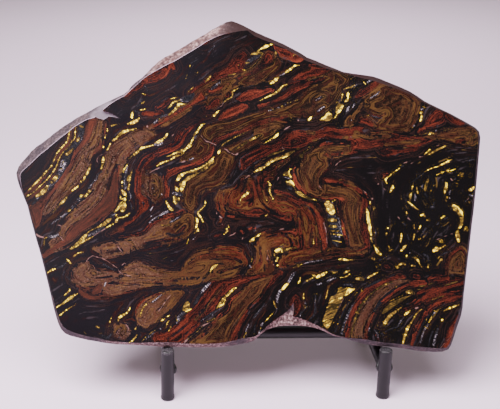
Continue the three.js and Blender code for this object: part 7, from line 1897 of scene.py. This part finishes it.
# colours of the rough sides and of the stand, from the hollows of the grit to its high spots
SKIN_SHADES = ((0.3, srgb(36, 30, 33)), (0.5, srgb(62, 53, 58)), (0.7, srgb(96, 82, 89)))
PINK_SHADES = ((0.3, srgb(44, 35, 36)), (0.5, srgb(80, 67, 70)), (0.7, srgb(130, 108, 111)))
# pale pink of the rim, partly dust and partly painted light bounced up from the floor
DUST_AND_BOUNCE_SHADES = ((0.34, srgb(40, 27, 28)), (0.5, srgb(112, 84, 82)), (0.64, srgb(196, 166, 162)))
SAWN_SHADES = ((0.3, srgb(58, 48, 47)), (0.7, srgb(98, 84, 82)))
PAINT_SHADES = ((0.3, srgb(6, 7, 8)), (0.7, srgb(10, 11, 12)))
PALE_PATCH_GREY = srgb(122, 111, 120)
# a painted highlight along the polished face's edge
PAINTED_ARRIS_HIGHLIGHT = srgb(200, 176, 194)
BARE_STEEL_AND_HIGHLIGHT = srgb(110, 104, 110)

# Where the stone changes from one look to another. A pair is the start and the end of a smooth step, in
# millimetres of u, or of v where the name says so, unless a remark says otherwise.

# all over the stone
# where the ground's painted veil of reflection fades out towards the right
PAINTED_VEIL_END = (-70, 10)
REDDISH_END = (60, 90)
FLECKS_START = (40, 85)
DASHES_START = (20, 75)
# at the left the reds turn mauve and the browns paler and mauve: partly the stone's own colour, partly a
# painted veil of reflection
MAUVE_REDS_END = (-105, -85)
PALE_BROWNS_END = (-60, -20)
MAUVE_LEFT_END = (-88, -48)
MAUVE_RIGHT_START, MAUVE_RIGHT_TOP_V = (72, 82), (-58, -46)
FOLD_MIDDLE, FOLD_SIZE = (12, -14), (42, 36)      # the fold whose browns are redder, in u and v

# the rim only
FOOT_TOP_V = (-98, -84)
ARCH_START, ARCH_END, ARCH_TOP_V = (-8, 8), (52, 72), (-84, -78)
DUSTY_FOOT_START, DUSTY_FOOT_END = (-115, -105), (-25, -10)
CROWN_START, CROWN_END, CROWN_FOOT_V = (-82, -70), (-26, -10), (80, 100)
SHOULDER_START, SHOULDER_FOOT_V = (-24, -10), (40, 60)
LEFT_TIP_END, LEFT_TIP_TOP_V = (-152, -140), (8, 30)
RIGHT_TIP_START = (148, 156)
PALE_PATCH_MIDDLE = (-109, 69)       # a paler grey patch at the upper left, in u and v
PALE_PATCH_SIZE_SQUARED = (60, 160)
PALE_PATCH_DEPTH = (3, 11)           # behind the edge of the face
ARRIS_WIDTH = (0.25, 0.7)       # the painted highlight along the face's edge, measured behind it too
LIT_SLOPE = -0.4                # v plus this much of u is the height across the upper left slope, where the edge's painted highlight lies
LIT_HEIGHT, LIT_END = (72, 105), (-36, -14)

# the front legs' tips, where the paint shows pale steel, partly wear and partly a painted highlight, in the
# part's own z and y
TIPS_HEIGHT, TIPS_END_Y = (38.9, 40.2), (-48, -46)


def inside(recipe, distance, wobble, soft):
    """1 inside a band and 0 outside it, with the band's edge moved by the wobble."""
    edge = recipe.math("SUBTRACT", distance, wobble)
    return recipe.step(edge, -soft, soft, 1, 0)


def deep_inside(recipe, distance):
    """Near 1 well inside a broad band, where its laminae don't follow its edge."""
    return recipe.step(distance, -9, -4, 0.85, 0)


def laminae(recipe, distance, period, run):
    """Fine lines, 0 to 1, that run parallel to the edge of a band and change slowly along it."""
    u, v, _ = recipe.attribute("place")
    wavy = recipe.plus(distance, recipe.swing(recipe.noise(9), 0.6))
    across = recipe.math("DIVIDE", wavy, period)
    vector = recipe.combine(across, recipe.math("DIVIDE", u, run), recipe.math("DIVIDE", v, run))
    return recipe.step(recipe.noise(1, 2, 0.6, vector), 0.39, 0.61)


def distance_squared(recipe, centre, size=(1, 1)):
    """The square of how far a spot of the stone is from a place (u, v), in sizes."""
    parts = []
    for place, middle, reach in zip(recipe.attribute("place"), centre, size):
        offset = recipe.math("DIVIDE", recipe.plus(place, -middle), reach)
        parts.append(recipe.times(offset, offset))
    return recipe.plus(*parts)


def ground_colour(recipe, nearest, u, streak_b, streak_c, fine):
    """The near-black iron ore between the bands, with faint laminae and specks, lifted at the left by a
    painted veil of reflection.
    """
    # painted reflection: the ground is lighter and cooler at the left
    drift = recipe.swing(recipe.noise(40), 60)
    painted_veil = recipe.step(recipe.plus(u, drift), *PAINTED_VEIL_END, 1, 0)
    colour = recipe.blend(painted_veil, GROUND_WARM, GROUND_PAINTED_VEIL)
    lines = recipe.plus(laminae(recipe, nearest, 0.9, 20), recipe.swing(fine, 0.2))
    near_bands = recipe.step(nearest, 4, 11, 1, 0)
    lined = recipe.times(recipe.step(lines, 0.6, 1.1, 0, 0.9), near_bands)
    colour = recipe.blend(lined, colour, GROUND_LINE)
    reddish = recipe.times(recipe.step(streak_c, 0.62, 1.0, 0, 0.8), recipe.step(u, *REDDISH_END, 1, 0.15))
    colour = recipe.blend(reddish, colour, MAROON)
    colour = recipe.blend(recipe.step(streak_b, 0.72, 1.1, 0, 0.8), colour, GROUND_STREAK)
    flecks = recipe.times(recipe.step(streak_c, 0.92, 1.02), recipe.step(u, *FLECKS_START, 0.15, 0.9))
    return recipe.blend(flecks, colour, DARK_GOLD)


def red_colour(recipe, distance, tone, u, streak_a, streak_c, fine):
    """Red jasper: laminae from near black to orange, a little mauve at the left end, partly a painted veil of
    reflection.
    """
    lines = recipe.swap(deep_inside(recipe, distance), laminae(recipe, distance, 0.75, 22), streak_a)
    level = recipe.math("MULTIPLY_ADD", tone, 0.55, 0.08)
    shade = recipe.plus(level, recipe.swing(lines, 0.22), recipe.swing(streak_a, 0.28),
                        recipe.swing(fine, 0.26))
    colour = recipe.ramp(shade, RED_SHADES)
    # partly a painted veil of reflection: the reds turn mauve at the left end
    colour = recipe.blend(recipe.step(u, *MAUVE_REDS_END, 0.55, 0), colour, MAUVE)
    return recipe.blend(recipe.step(streak_c, 0.7, 0.95, 0, 0.85), colour, GROUND_WARM)


def brown_colour(recipe, distance, tone, u, v, streak_b, streak_c, fine):
    """Brown bands: paler, mauve and dusty at the left, partly a painted veil of reflection there, rusty in
    the middle fold, with ochre and red threads.
    """
    dull = recipe.math("MAXIMUM", recipe.step(tone, 0.08, 0.3, 1, 0), deep_inside(recipe, distance))
    lines = recipe.swap(dull, laminae(recipe, distance, 0.75, 22), streak_b)
    # partly a painted veil of reflection: the browns are paler at the left
    level = recipe.math("MULTIPLY_ADD", tone, 0.75, recipe.step(u, *PALE_BROWNS_END, 0.12, -0.03))
    broad = laminae(recipe, distance, 1.9, 40)
    shade = recipe.plus(level, recipe.swing(lines, 0.24), recipe.swing(broad, 0.22),
                        recipe.swing(streak_b, 0.26), recipe.swing(fine, 0.42))
    mauve_right = recipe.step(u, *MAUVE_RIGHT_START, 0, 0.5)
    mauve_right = recipe.times(mauve_right, recipe.step(v, *MAUVE_RIGHT_TOP_V, 1, 0))
    # partly a painted veil of reflection at the left: the browns turn mauve there
    mauve = recipe.math("MAXIMUM", mauve_right, recipe.step(u, *MAUVE_LEFT_END, 0.8, 0))
    rusty = recipe.step(distance_squared(recipe, FOLD_MIDDLE, FOLD_SIZE), 0.7, 1.3, 1, 0)
    middle = recipe.blend(rusty, recipe.blend(mauve, BROWN, MAUVE), RUST)
    bright = recipe.blend(mauve, BRIGHT_BROWN, BRIGHT_MAUVE)
    colour = recipe.blend(recipe.step(shade, -0.05, 0.55), DARK_BROWN, middle)
    colour = recipe.blend(recipe.step(shade, 0.5, 1.0), colour, bright)
    dots = recipe.step(recipe.noise(1.1, 2, 0.6), 0.56, 0.66)
    colour = recipe.blend(recipe.times(dots, mauve, 0.4), colour, DUSTY)
    threads = recipe.swap(deep_inside(recipe, distance), laminae(recipe, distance, 1.0, 16), streak_c)
    colour = recipe.blend(recipe.step(threads, 0.8, 1.0, 0, 0.45), colour, OCHRE_LINE)
    reddish = recipe.times(recipe.step(threads, 0.25, 0), recipe.math("MULTIPLY_ADD", rusty, 0.5, 0.2))
    colour = recipe.blend(reddish, colour, RED_BRIGHT)
    return recipe.blend(recipe.step(streak_c, 0.66, 0.95, 0, 0.8), colour, MAROON)


def dashes(recipe, along, gold_out, red_out, brown_out, u):
    """Broken hair lines of tiger's eye in the ground beside the gold bands, most of them at the right."""
    drawn = recipe.step(recipe.cells(along, gold_out, 2.6, 0.8, 1, 0.5), 0.7, 0.73)
    beside_gold = recipe.step(gold_out, 4, 9, 1, 0)
    on_ground = recipe.times(recipe.step(brown_out, -0.5, 0.5), recipe.step(red_out, -0.5, 0.5))
    return recipe.times(drawn, recipe.step(u, *DASHES_START, 0.1, 1), beside_gold, on_ground)


def gold_colour(recipe, distance, tone, along, cloud, speck):
    """Tiger's eye: bright fibres across the band, darker at its edges. Also returns where it gets painted
    glints.
    """
    fibres = recipe.step(recipe.cells(along, distance, 0.9, 3.33, 2, 0.6), 0.36, 0.64)
    tufts = recipe.step(recipe.cells(along, distance, 2.6, 8.33, 1, 0.5), 0.36, 0.64)
    level = recipe.math("MULTIPLY_ADD", tone, 0.85, -0.02)
    shade = recipe.plus(level, recipe.swing(fibres, 0.22), recipe.swing(cloud, 0.6),
                        recipe.swing(tufts, 0.24), recipe.swing(speck, 0.16))
    shade = recipe.math("SUBTRACT", shade, recipe.step(distance, -0.7, 0.3, 0, 0.4))
    return recipe.ramp(shade, GOLD_SHADES), recipe.step(shade, 0.72, 1.0)


def silver_colour(recipe, distance, tone, along, speck, streak_a):
    """Silver hematite: a grey sheen with short fibres across the band."""
    fibres = recipe.step(recipe.cells(along, distance, 0.8, 2, 2, 0.6), 0.36, 0.64)
    sheen = recipe.plus(recipe.swing(fibres, 0.2), recipe.swing(speck, 0.25), recipe.swing(streak_a, 0.15))
    sheen = recipe.times(sheen, recipe.plus(tone, 0.5))
    sheen = recipe.plus(sheen, recipe.math("MULTIPLY_ADD", tone, 0.42, 0.02))
    return recipe.ramp(sheen, SILVER_SHADES)


def beads(recipe, along, distance):
    """Where a narrow bright band breaks up: low in its gaps, 1 elsewhere."""
    return recipe.step(recipe.cells(along, distance, 2.2, 6, 2, 0.5), 0.32, 0.42, 0.05, 1)


def banded_colour(recipe):
    """The stone's own colours: bands, the laminae within them, dashes, veins and cracks.

    Also returns where the tiger's eye gets painted glints, which the face gives off as a glow."""
    red_out, brown_out, gold_out = recipe.attribute("bands")
    silver_out, crack_out, _ = recipe.attribute("veins")
    red_tone, brown_tone, gold_tone = recipe.attribute("tones")
    streak_a, streak_b, streak_c = recipe.attribute("streaks")
    u, v, along = recipe.attribute("place")
    fine = recipe.step(recipe.noise(0.8, 3, 0.7), 0.32, 0.68)
    speck = recipe.step(recipe.noise(0.7, 2, 0.7), 0.34, 0.66)
    cloud = recipe.noise(4)
    ragged = recipe.plus(recipe.swing(streak_a, 0.8), recipe.swing(fine, 0.35), recipe.swing(cloud, 1))
    ragged_fine = recipe.plus(recipe.swing(streak_b, 0.3), recipe.swing(fine, 0.3))
    blurred = recipe.plus(ragged, recipe.swing(laminae(recipe, red_out, 1.3, 12), 0.9))

    colour = ground_colour(recipe, recipe.math("MINIMUM", red_out, brown_out), u, streak_b, streak_c, fine)
    red = red_colour(recipe, red_out, red_tone, u, streak_a, streak_c, fine)
    colour = recipe.blend(inside(recipe, red_out, blurred, 0.3), colour, red)
    brown = brown_colour(recipe, brown_out, brown_tone, u, v, streak_b, streak_c, fine)
    colour = recipe.blend(inside(recipe, brown_out, blurred, 0.3), colour, brown)
    silver = silver_colour(recipe, silver_out, gold_tone, along, speck, streak_a)
    colour = recipe.blend(inside(recipe, silver_out, ragged_fine, 0.2), colour, silver)
    colour = recipe.blend(dashes(recipe, along, gold_out, red_out, brown_out, u), colour, GOLD_BRIGHT)
    gold, painted_glint = gold_colour(recipe, gold_out, gold_tone, along, cloud, speck)
    gold_in = inside(recipe, recipe.plus(gold_out, 0.16), ragged_fine, 0.2)
    gold_in = recipe.times(gold_in, beads(recipe, along, gold_out))
    colour = recipe.blend(gold_in, colour, gold)
    crack_in = inside(recipe, recipe.plus(crack_out, 0.25), recipe.swing(cloud, 0.9), 0.25)
    colour = recipe.blend(recipe.times(crack_in, 0.8), colour, CRACK)
    return colour, recipe.times(gold_in, painted_glint)


def face_material():
    """The polished face, with a slight haze, and painted glints in the tiger's eye that it gives off as a
    glow.
    """
    recipe = Recipe("polished stone")
    haze = recipe.noise(25, 3)
    colour, painted_glint = banded_colour(recipe)
    return recipe.set(
        Base_Color=colour,
        # painted highlight: the glints of the tiger's eye glow with light of the face's own
        Emission_Color=recipe.blend(painted_glint, NO_LIGHT, PAINTED_GLINT_GLOW),
        Emission_Strength=2.4,
        Roughness=recipe.step(haze, 0.3, 0.7, 0.14, 0.22),
        IOR=1.39,
        Normal=recipe.bump(recipe.noise(14), 0.05, 0.3),
    )


def add_dust_and_bounce(recipe, colour, u, v, drift, grit):
    """Pale pink on the rim: thin along the foot and thick in its arch, partly dust and partly painted light
    bounced up from the floor, and dust stained with red on the crown.
    """
    dust = recipe.ramp(grit, DUST_AND_BOUNCE_SHADES)
    # painted light: the foot and its arch are paler, partly as dust and partly as light bounced up from the
    # floor
    foot = recipe.step(recipe.plus(v, drift), *FOOT_TOP_V, 1, 0)
    colour = recipe.blend(recipe.times(foot, 0.25), colour, GROUND_STREAK)
    dusty = recipe.window(u, DUSTY_FOOT_START, DUSTY_FOOT_END)
    colour = recipe.blend(recipe.times(foot, dusty, 0.45), colour, dust)
    arch = recipe.times(recipe.window(u, ARCH_START, ARCH_END), recipe.step(v, *ARCH_TOP_V, 1, 0))
    colour = recipe.blend(recipe.times(arch, 0.7), colour, dust)
    crown = recipe.window(recipe.plus(u, drift), CROWN_START, CROWN_END)
    crown = recipe.times(crown, recipe.step(v, *CROWN_FOOT_V))
    crown_dust = recipe.ramp(recipe.noise(3, 4, 0.7), DUST_AND_BOUNCE_SHADES)
    colour = recipe.blend(recipe.times(crown, 0.85), colour, crown_dust)
    stain = recipe.step(recipe.noise(6, 3, 0.6), 0.48, 0.56)
    return recipe.blend(recipe.times(crown, stain, 0.5), colour, RED)


def add_dark_ends(recipe, colour, u, v, drift, patch):
    """The parts of the rim that stay dark: the shoulder right of the crown, and both tips."""
    shoulder = recipe.step(recipe.plus(u, drift), *SHOULDER_START)
    shoulder = recipe.times(shoulder, recipe.step(v, *SHOULDER_FOOT_V))
    colour = recipe.blend(recipe.times(shoulder, 0.93), colour, recipe.blend(patch, MAROON, GROUND_LINE))
    # the left tip takes the ground colour that carries the painted veil of reflection
    left_tip = recipe.times(recipe.step(u, *LEFT_TIP_END, 1, 0), recipe.step(v, *LEFT_TIP_TOP_V, 1, 0))
    colour = recipe.blend(recipe.times(left_tip, 0.85), colour, GROUND_PAINTED_VEIL)
    return recipe.blend(recipe.step(u, *RIGHT_TIP_START, 0, 0.5), colour, GROUND_STREAK)


def add_pale_patch_and_highlight(recipe, colour, u, v, rim, grit):
    """A paler grey patch beside the face at the upper left, and a painted highlight along the face's edge
    above it.
    """
    near_face = recipe.step(recipe.plus(rim, recipe.swing(grit, 5)), *PALE_PATCH_DEPTH, 1, 0)
    # a paler grey patch on the rim beside the face at the upper left
    pale_patch = recipe.step(distance_squared(recipe, PALE_PATCH_MIDDLE), *PALE_PATCH_SIZE_SQUARED, 0.85, 0)
    colour = recipe.blend(recipe.times(pale_patch, near_face), colour, PALE_PATCH_GREY)
    # painted highlight: a pale line along the face's edge on the upper left slope, where the light catches it
    painted_highlight_side = recipe.step(recipe.math("MULTIPLY_ADD", u, LIT_SLOPE, v), *LIT_HEIGHT, 0.02, 1)
    painted_highlight_side = recipe.times(painted_highlight_side, recipe.step(u, *LIT_END, 1, 0))
    return recipe.blend(recipe.times(recipe.step(rim, *ARRIS_WIDTH, 0.7, 0), painted_highlight_side), colour, PAINTED_ARRIS_HIGHLIGHT)


def wall_material():
    """The broken rim: the bands under a weathered skin, dust and stains."""
    recipe = Recipe("weathered stone")
    colour, _ = banded_colour(recipe)
    u, v, _ = recipe.attribute("place")
    _, _, rim = recipe.attribute("veins")
    grit = recipe.noise(1.6, 4, 0.65)
    patch = recipe.noise(11, 3, 0.6)
    drift = recipe.swing(patch, 14)
    skin = recipe.ramp(grit, SKIN_SHADES)
    skin = recipe.blend(recipe.step(patch, 0.42, 0.62), skin, recipe.ramp(grit, PINK_SHADES))
    colour = recipe.blend(recipe.math("MULTIPLY_ADD", patch, 0.3, 0.62), colour, skin)
    colour = add_dust_and_bounce(recipe, colour, u, v, drift, grit)
    colour = add_dark_ends(recipe, colour, u, v, drift, patch)
    colour = add_pale_patch_and_highlight(recipe, colour, u, v, rim, grit)
    return recipe.set(
        Base_Color=colour,
        Roughness=0.78,
        IOR=1.28,
        Normal=recipe.bump(recipe.plus(grit, patch), 0.5, 0.6),
    )


def back_material():
    """The sawn back: the bands under dust, with saw marks across it."""
    recipe = Recipe("sawn stone")
    colour, _ = banded_colour(recipe)
    grit = recipe.noise(1.2, 4, 0.65)
    patch = recipe.noise(30, 3, 0.6)
    saw = recipe.noise(1.0, 2, 0.5, recipe.place((0.02, 0.9, 0.9)))
    amount = recipe.math("MULTIPLY_ADD", patch, 0.5, recipe.times(saw, 0.25))
    return recipe.set(
        Base_Color=recipe.blend(amount, colour, recipe.ramp(grit, SAWN_SHADES)),
        Roughness=0.62,
        IOR=1.5,
        Normal=recipe.bump(recipe.plus(grit, saw), 0.25, 0.5),
    )


def rod_material():
    """Satin black paint, with pale steel on the front legs' tips, partly wear and partly a painted highlight.
    """
    recipe = Recipe("satin black paint")
    grain = recipe.noise(0.8, 3, 0.6)
    patch = recipe.noise(9, 3, 0.6)
    _, y, z = recipe.split(recipe.place())
    tips = recipe.times(recipe.step(z, *TIPS_HEIGHT), recipe.step(y, *TIPS_END_Y, 1, 0))
    # the pale steel on the tips is partly wear and partly a painted highlight
    wear_and_highlight = recipe.times(tips, recipe.step(grain, 0.46, 0.62, 0, 0.6))
    return recipe.set(
        Base_Color=recipe.blend(wear_and_highlight, recipe.ramp(patch, PAINT_SHADES), BARE_STEEL_AND_HIGHLIGHT),
        Roughness=recipe.step(patch, 0.3, 0.7, 0.36, 0.48),
        IOR=1.38,
        Normal=recipe.bump(grain, 0.06, 0.4),
    )


# ---- the stand ------------------------------------------------------------------------------------------
# Rods of one size, welded together. Ends are the middles of the rods' end faces, in millimetres.

ROD = 5.0                       # radius
SIDES = 48
RAIL_Z = 24.04
LEFT_LEG = ((-62.9, -56.05, 0.0), (-61.79, -56.05, 41.4))
RIGHT_LEG = ((101.3, -56.05, 0.0), (102.34, -56.05, 40.1))
LEFT_RAIL = ((-62.0, -50.75, RAIL_Z), (-71.27, 46.75, RAIL_Z))
RIGHT_RAIL = ((102.0, -50.75, RAIL_Z), (95.66, 46.75, RAIL_Z))
LEFT_REAR = ((-70.7, 40.75, 0.0), (-70.7, 40.75, 18.74))
RIGHT_REAR = ((96.05, 40.75, 0.0), (96.05, 40.75, 18.74))
HEEL_Y, HEEL_Z = -14.5, 34.34
HEEL = ((-71.9, HEEL_Y, HEEL_Z), (106.1, HEEL_Y, HEEL_Z))
LEFT_UPRIGHT = ((-47.4, -12.53, 39.47), (-47.4, 28.1, 151.1))
RIGHT_UPRIGHT = ((84.6, -12.53, 39.47), (84.6, 28.1, 151.1))

FOOT_ROUND, FOOT_FLARE, TOP_ROUND, EDGE_BREAK = 1.5, 0.4, 1.0, 0.5
FLARE_LENGTH = 3.5
ROUND_STEPS = 5
RING_STEP = 2                   # spacing of the rings of points along a rod
HOLLOW = 0.12                   # how far the paint dips at most
HOLLOW_SIZE = 7

BEAD_SIDES = 10
BEAD_STEPS = 56                 # places along a bead
BEAD_RIPPLES = 7                # ripples of the torch in one turn
RIPPLE, LUMP, LUMP_SIZE = 0.09, 0.25, 3           # the bead's unevenness, as shares of its thickness
BUTT_BEAD, UNDER_BEAD, CROSSING_BEAD, HEEL_BEAD = 1.35, 1.2, 1.3, 1.5
WIDE_RING, SNUG_RING, CROSSING_RING = 5.1, 4.9, 3.6             # radius of a bead's path, seen along the rod
SEAM = 26.0                     # square of the distance from a rod's axis to the seam on its surface
SEAM_GAP = 0.3


def rod_profile(length, first_round, last_round, flare):
    """(distance from the start, radius) down a rod with rounded ends."""
    turns = [math.pi / 2 * k / ROUND_STEPS for k in range(ROUND_STEPS + 1)]
    stops = []
    for turn in turns[::-1]:
        stops.append((first_round * (1 - math.sin(turn)), ROD + flare - first_round * (1 - math.cos(turn))))
    run = length - first_round - last_round
    count = round(run / RING_STEP)
    for k in range(1, count):
        place = first_round + run * k / count
        stops.append((place, ROD + flare * max(0.0, 1 - (place - first_round) / FLARE_LENGTH) ** 2))
    for turn in turns:
        stops.append((length - last_round * (1 - math.sin(turn)), ROD - last_round * (1 - math.cos(turn))))
    return stops


def rod_shell(start, end, first_round, last_round, flare=0.0):
    """A closed round rod. Returns points, faces and which faces are smooth."""
    start, end = Vector(start), Vector(end)
    axis = (end - start).normalized()
    if abs(axis.z) > 0.99:
        side, other = Vector((1, 0, 0)), Vector((0, 1, 0))
    else:
        side = Vector((1, 0, 0)) if abs(axis.x) < 0.01 else Vector((0, 0, 1))
        other = axis.cross(side)
    points, faces, smooth = [], [], []
    for distance, radius in rod_profile((end - start).length, first_round, last_round, flare):
        for k in range(SIDES):
            turn = 2 * math.pi * k / SIDES
            spoke = side * math.cos(turn) + other * math.sin(turn)
            place = start + axis * distance + spoke * radius
            points.append(place - spoke * HOLLOW * (0.5 + 0.5 * noise.noise(place / HOLLOW_SIZE)))
    rings = len(points) // SIDES
    for ring in range(rings - 1):
        for k in range(SIDES):
            a, b = ring * SIDES + k, ring * SIDES + (k + 1) % SIDES
            faces.append((a, b, b + SIDES, a + SIDES))
            smooth.append(True)
    for middle, first, turn in ((start, 0, -1), (end, (rings - 1) * SIDES, 1)):
        points.append(middle)
        for k in range(SIDES):
            pair = (first + k, first + (k + 1) % SIDES)[::turn]
            faces.append((*pair, len(points) - 1))
            smooth.append(False)
    return points, faces, smooth


def bead_shell(path, thickness):
    """A lumpy weld bead along a closed path."""
    path = [Vector(place) for place in path]
    middle = sum(path, Vector()) / len(path)
    points, faces = [], []
    count = len(path)
    for k, place in enumerate(path):
        ahead = (path[(k + 1) % count] - path[k - 1]).normalized()
        out = place - middle
        out = (out - ahead * out.dot(ahead)).normalized()
        up = ahead.cross(out)
        ripple = 1 + RIPPLE * math.sin(2 * math.pi * k * BEAD_RIPPLES / count)
        ripple += LUMP * noise.noise(place / LUMP_SIZE)
        for j in range(BEAD_SIDES):
            turn = 2 * math.pi * j / BEAD_SIDES
            points.append(place + (out * math.cos(turn) + up * math.sin(turn)) * thickness * ripple)
    for k in range(count):
        for j in range(BEAD_SIDES):
            a, b = k * BEAD_SIDES + j, k * BEAD_SIDES + (j + 1) % BEAD_SIDES
            c, d = (b + BEAD_SIDES) % len(points), (a + BEAD_SIDES) % len(points)
            faces.append((a, b, c, d))
    return points, faces, [True] * len(faces)


def circle():
    """Evenly spaced places round a circle of radius 1."""
    turns = [2 * math.pi * k / BEAD_STEPS for k in range(BEAD_STEPS)]
    return [(math.cos(turn), math.sin(turn)) for turn in turns]


def butt_bead(leg, rail):
    """Round the rail's front end, where it meets the back of an upright leg."""
    x, _, z = rail[0]
    leg_x, leg_y = leg[0][0] + (leg[1][0] - leg[0][0]) * z / leg[1][2], leg[0][1]
    path = []
    for across, up in circle():
        reach = min(abs(x + across * WIDE_RING - leg_x), ROD)
        back = leg_y + SEAM_GAP + math.sqrt(SEAM - reach**2)
        path.append((x + across * WIDE_RING, back, z + up * WIDE_RING))
    return bead_shell(path, BUTT_BEAD)


def under_bead(leg):
    """Round the top of a rear leg, against the rail over it."""
    x, y, _ = leg[1]
    path = []
    for across, back in circle():
        low = RAIL_Z - SEAM_GAP - math.sqrt(SEAM - (across * SNUG_RING)**2)
        path.append((x + across * SNUG_RING, y + back * SNUG_RING, low))
    return bead_shell(path, UNDER_BEAD)


def crossing_bead(rail):
    """Round the spot where the heel bar crosses over a rail."""
    (x0, y0, _), (x1, y1, _) = rail
    x = x0 + (x1 - x0) * (HEEL_Y - y0) / (y1 - y0)
    path = []
    for across, back in circle():
        low = RAIL_Z + math.sqrt(ROD**2 - (CROSSING_RING * across)**2)
        high = HEEL_Z - math.sqrt(ROD**2 - (CROSSING_RING * back)**2)
        path.append((x + CROSSING_RING * across, HEEL_Y + CROSSING_RING * back, (low + high) / 2))
    return bead_shell(path, CROSSING_BEAD)


def heel_bead(upright):
    """Round the lower end of an upright, against the heel bar."""
    start, end = Vector(upright[0]), Vector(upright[1])
    axis = (end - start).normalized()
    back = axis.cross(Vector((-1, 0, 0)))
    path = []
    for across, turn in circle():
        edge = start + Vector((SNUG_RING * across, 0, 0)) + back * SNUG_RING * turn
        spoke = Vector((0, edge.y - HEEL_Y, edge.z - HEEL_Z)).normalized() * ROD
        under = Vector((edge.x, HEEL_Y + spoke.y, HEEL_Z + spoke.z))
        path.append(edge.lerp(under, 0.5))
    return bead_shell(path, HEEL_BEAD)


def lay_rod(node, ends, first_round, last_round, flare=0.0, beads=()):
    """Makes one rod with its beads as one piece, in place of its node."""
    points, faces, smooth = [], [], []
    for shell in (rod_shell(*ends, first_round, last_round, flare), *beads):
        first = len(points)
        points += [place * MM for place in shell[0]]
        faces += [tuple(first + k for k in face) for face in shell[1]]
        smooth += shell[2]
    mesh = bpy.data.meshes.new(node)
    mesh.from_pydata(points, [], faces)
    mesh.polygons.foreach_set("use_smooth", smooth)
    mesh.materials.append(bpy.data.materials["satin black paint"])
    piece = bpy.data.objects.new("smooth_" + node, mesh)
    bpy.context.collection.objects.link(piece)
    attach(piece, "root")
    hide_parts(node)


def build_stand():
    """Lays all the rods of the stand."""
    rod_material()
    lay_rod("front_leg_left", LEFT_LEG, FOOT_ROUND, TOP_ROUND, FOOT_FLARE)
    lay_rod("front_leg_right", RIGHT_LEG, FOOT_ROUND, TOP_ROUND, FOOT_FLARE)
    lay_rod("side_rail_left", LEFT_RAIL, EDGE_BREAK, EDGE_BREAK, beads=[butt_bead(LEFT_LEG, LEFT_RAIL)])
    lay_rod("side_rail_right", RIGHT_RAIL, EDGE_BREAK, EDGE_BREAK, beads=[butt_bead(RIGHT_LEG, RIGHT_RAIL)])
    lay_rod("rear_leg_left", LEFT_REAR, FOOT_ROUND, EDGE_BREAK, FOOT_FLARE, [under_bead(LEFT_REAR)])
    lay_rod("rear_leg_right", RIGHT_REAR, FOOT_ROUND, EDGE_BREAK, FOOT_FLARE, [under_bead(RIGHT_REAR)])
    crossings = [crossing_bead(LEFT_RAIL), crossing_bead(RIGHT_RAIL)]
    lay_rod("heel_bar", HEEL, EDGE_BREAK, EDGE_BREAK, beads=crossings)
    lay_rod("back_upright_left", LEFT_UPRIGHT, EDGE_BREAK, TOP_ROUND, beads=[heel_bead(LEFT_UPRIGHT)])
    lay_rod("back_upright_right", RIGHT_UPRIGHT, EDGE_BREAK, TOP_ROUND, beads=[heel_bead(RIGHT_UPRIGHT)])


# ---- floor, light and camera ----------------------------------------------------------------------------

FLOOR_COLOUR = srgb(246, 224, 246)
FLOOR_CORNERS = ((-6, -4, 0), (6, -4, 0), (6, 9, 0), (-6, 9, 0))      # metres, like the lamps' places
LAMP_COLOUR = (1.0, 0.93, 0.985)
SKY_COLOUR = (1.0, 0.97, 0.8, 1.0)
SKY_STRENGTH = 0.2


def lay_floor():
    """The pale backdrop that the stand is on."""
    recipe = Recipe("pale floor")
    recipe.set(Base_Color=FLOOR_COLOUR, Roughness=0.7, IOR=1.4)
    mesh = bpy.data.meshes.new("floor")
    mesh.from_pydata(FLOOR_CORNERS, [], [(0, 1, 2, 3)])
    mesh.materials.append(recipe.material)
    floor = bpy.data.objects.new("floor", mesh)
    bpy.context.collection.objects.link(floor)


def soft_light(name, place, target, size, power, spread=180):
    """A round lamp, with its places and size in metres, its power in watts and its spread in degrees."""
    data = bpy.data.lights.new(name, "AREA")
    data.shape = "DISK"
    data.size = size
    data.energy = power
    data.color = LAMP_COLOUR
    data.spread = math.radians(spread)
    light = bpy.data.objects.new(name, data)
    light.location = place
    light.rotation_euler = (Vector(target) - Vector(place)).to_track_quat("-Z", "Y").to_euler()
    bpy.context.collection.objects.link(light)


def light_scene():
    """A big soft key light at the upper left, three weak lamps and a dim, warm sky."""
    soft_light("key", (-0.50, -0.42, 1.13), (0, 0, 0), size=1.05, power=50)
    soft_light("front", (0.15, -0.35, 0.95), (0, 0, 0), size=0.5, power=6.5)
    soft_light("back", (0.05, 1.3, 1.3), (0.05, 1.3, 0), size=1.0, power=7, spread=95)
    soft_light("glow", (-0.45, -0.75, 0.42), (0, 0, 0.14), size=0.5, power=0.3)
    world = bpy.data.worlds.new("studio")
    world.use_nodes = True
    sky = world.node_tree.nodes["Background"]
    sky.inputs["Color"].default_value = SKY_COLOUR
    sky.inputs["Strength"].default_value = SKY_STRENGTH
    bpy.context.scene.world = world


def place_camera():
    """The photo's view: the camera looks at the middle of the face."""
    toward = np.array([
        math.sin(CAMERA_AZIMUTH) * math.cos(CAMERA_ELEVATION),
        -math.cos(CAMERA_AZIMUTH) * math.cos(CAMERA_ELEVATION),
        math.sin(CAMERA_ELEVATION),
    ])
    data = bpy.data.cameras.new("camera")
    data.lens = CAMERA_LENS
    data.sensor_width = CAMERA_SENSOR
    data.sensor_fit = "HORIZONTAL"
    data.clip_start = 0.01
    camera = bpy.data.objects.new("camera", data)
    camera.location = (DATUM + CAMERA_DISTANCE * toward) * MM
    camera.rotation_euler = Vector(-toward).to_track_quat("-Z", "Y").to_euler()
    bpy.context.collection.objects.link(camera)
    bpy.context.scene.camera = camera


shape_slab()
build_stand()
lay_floor()
light_scene()
place_camera()
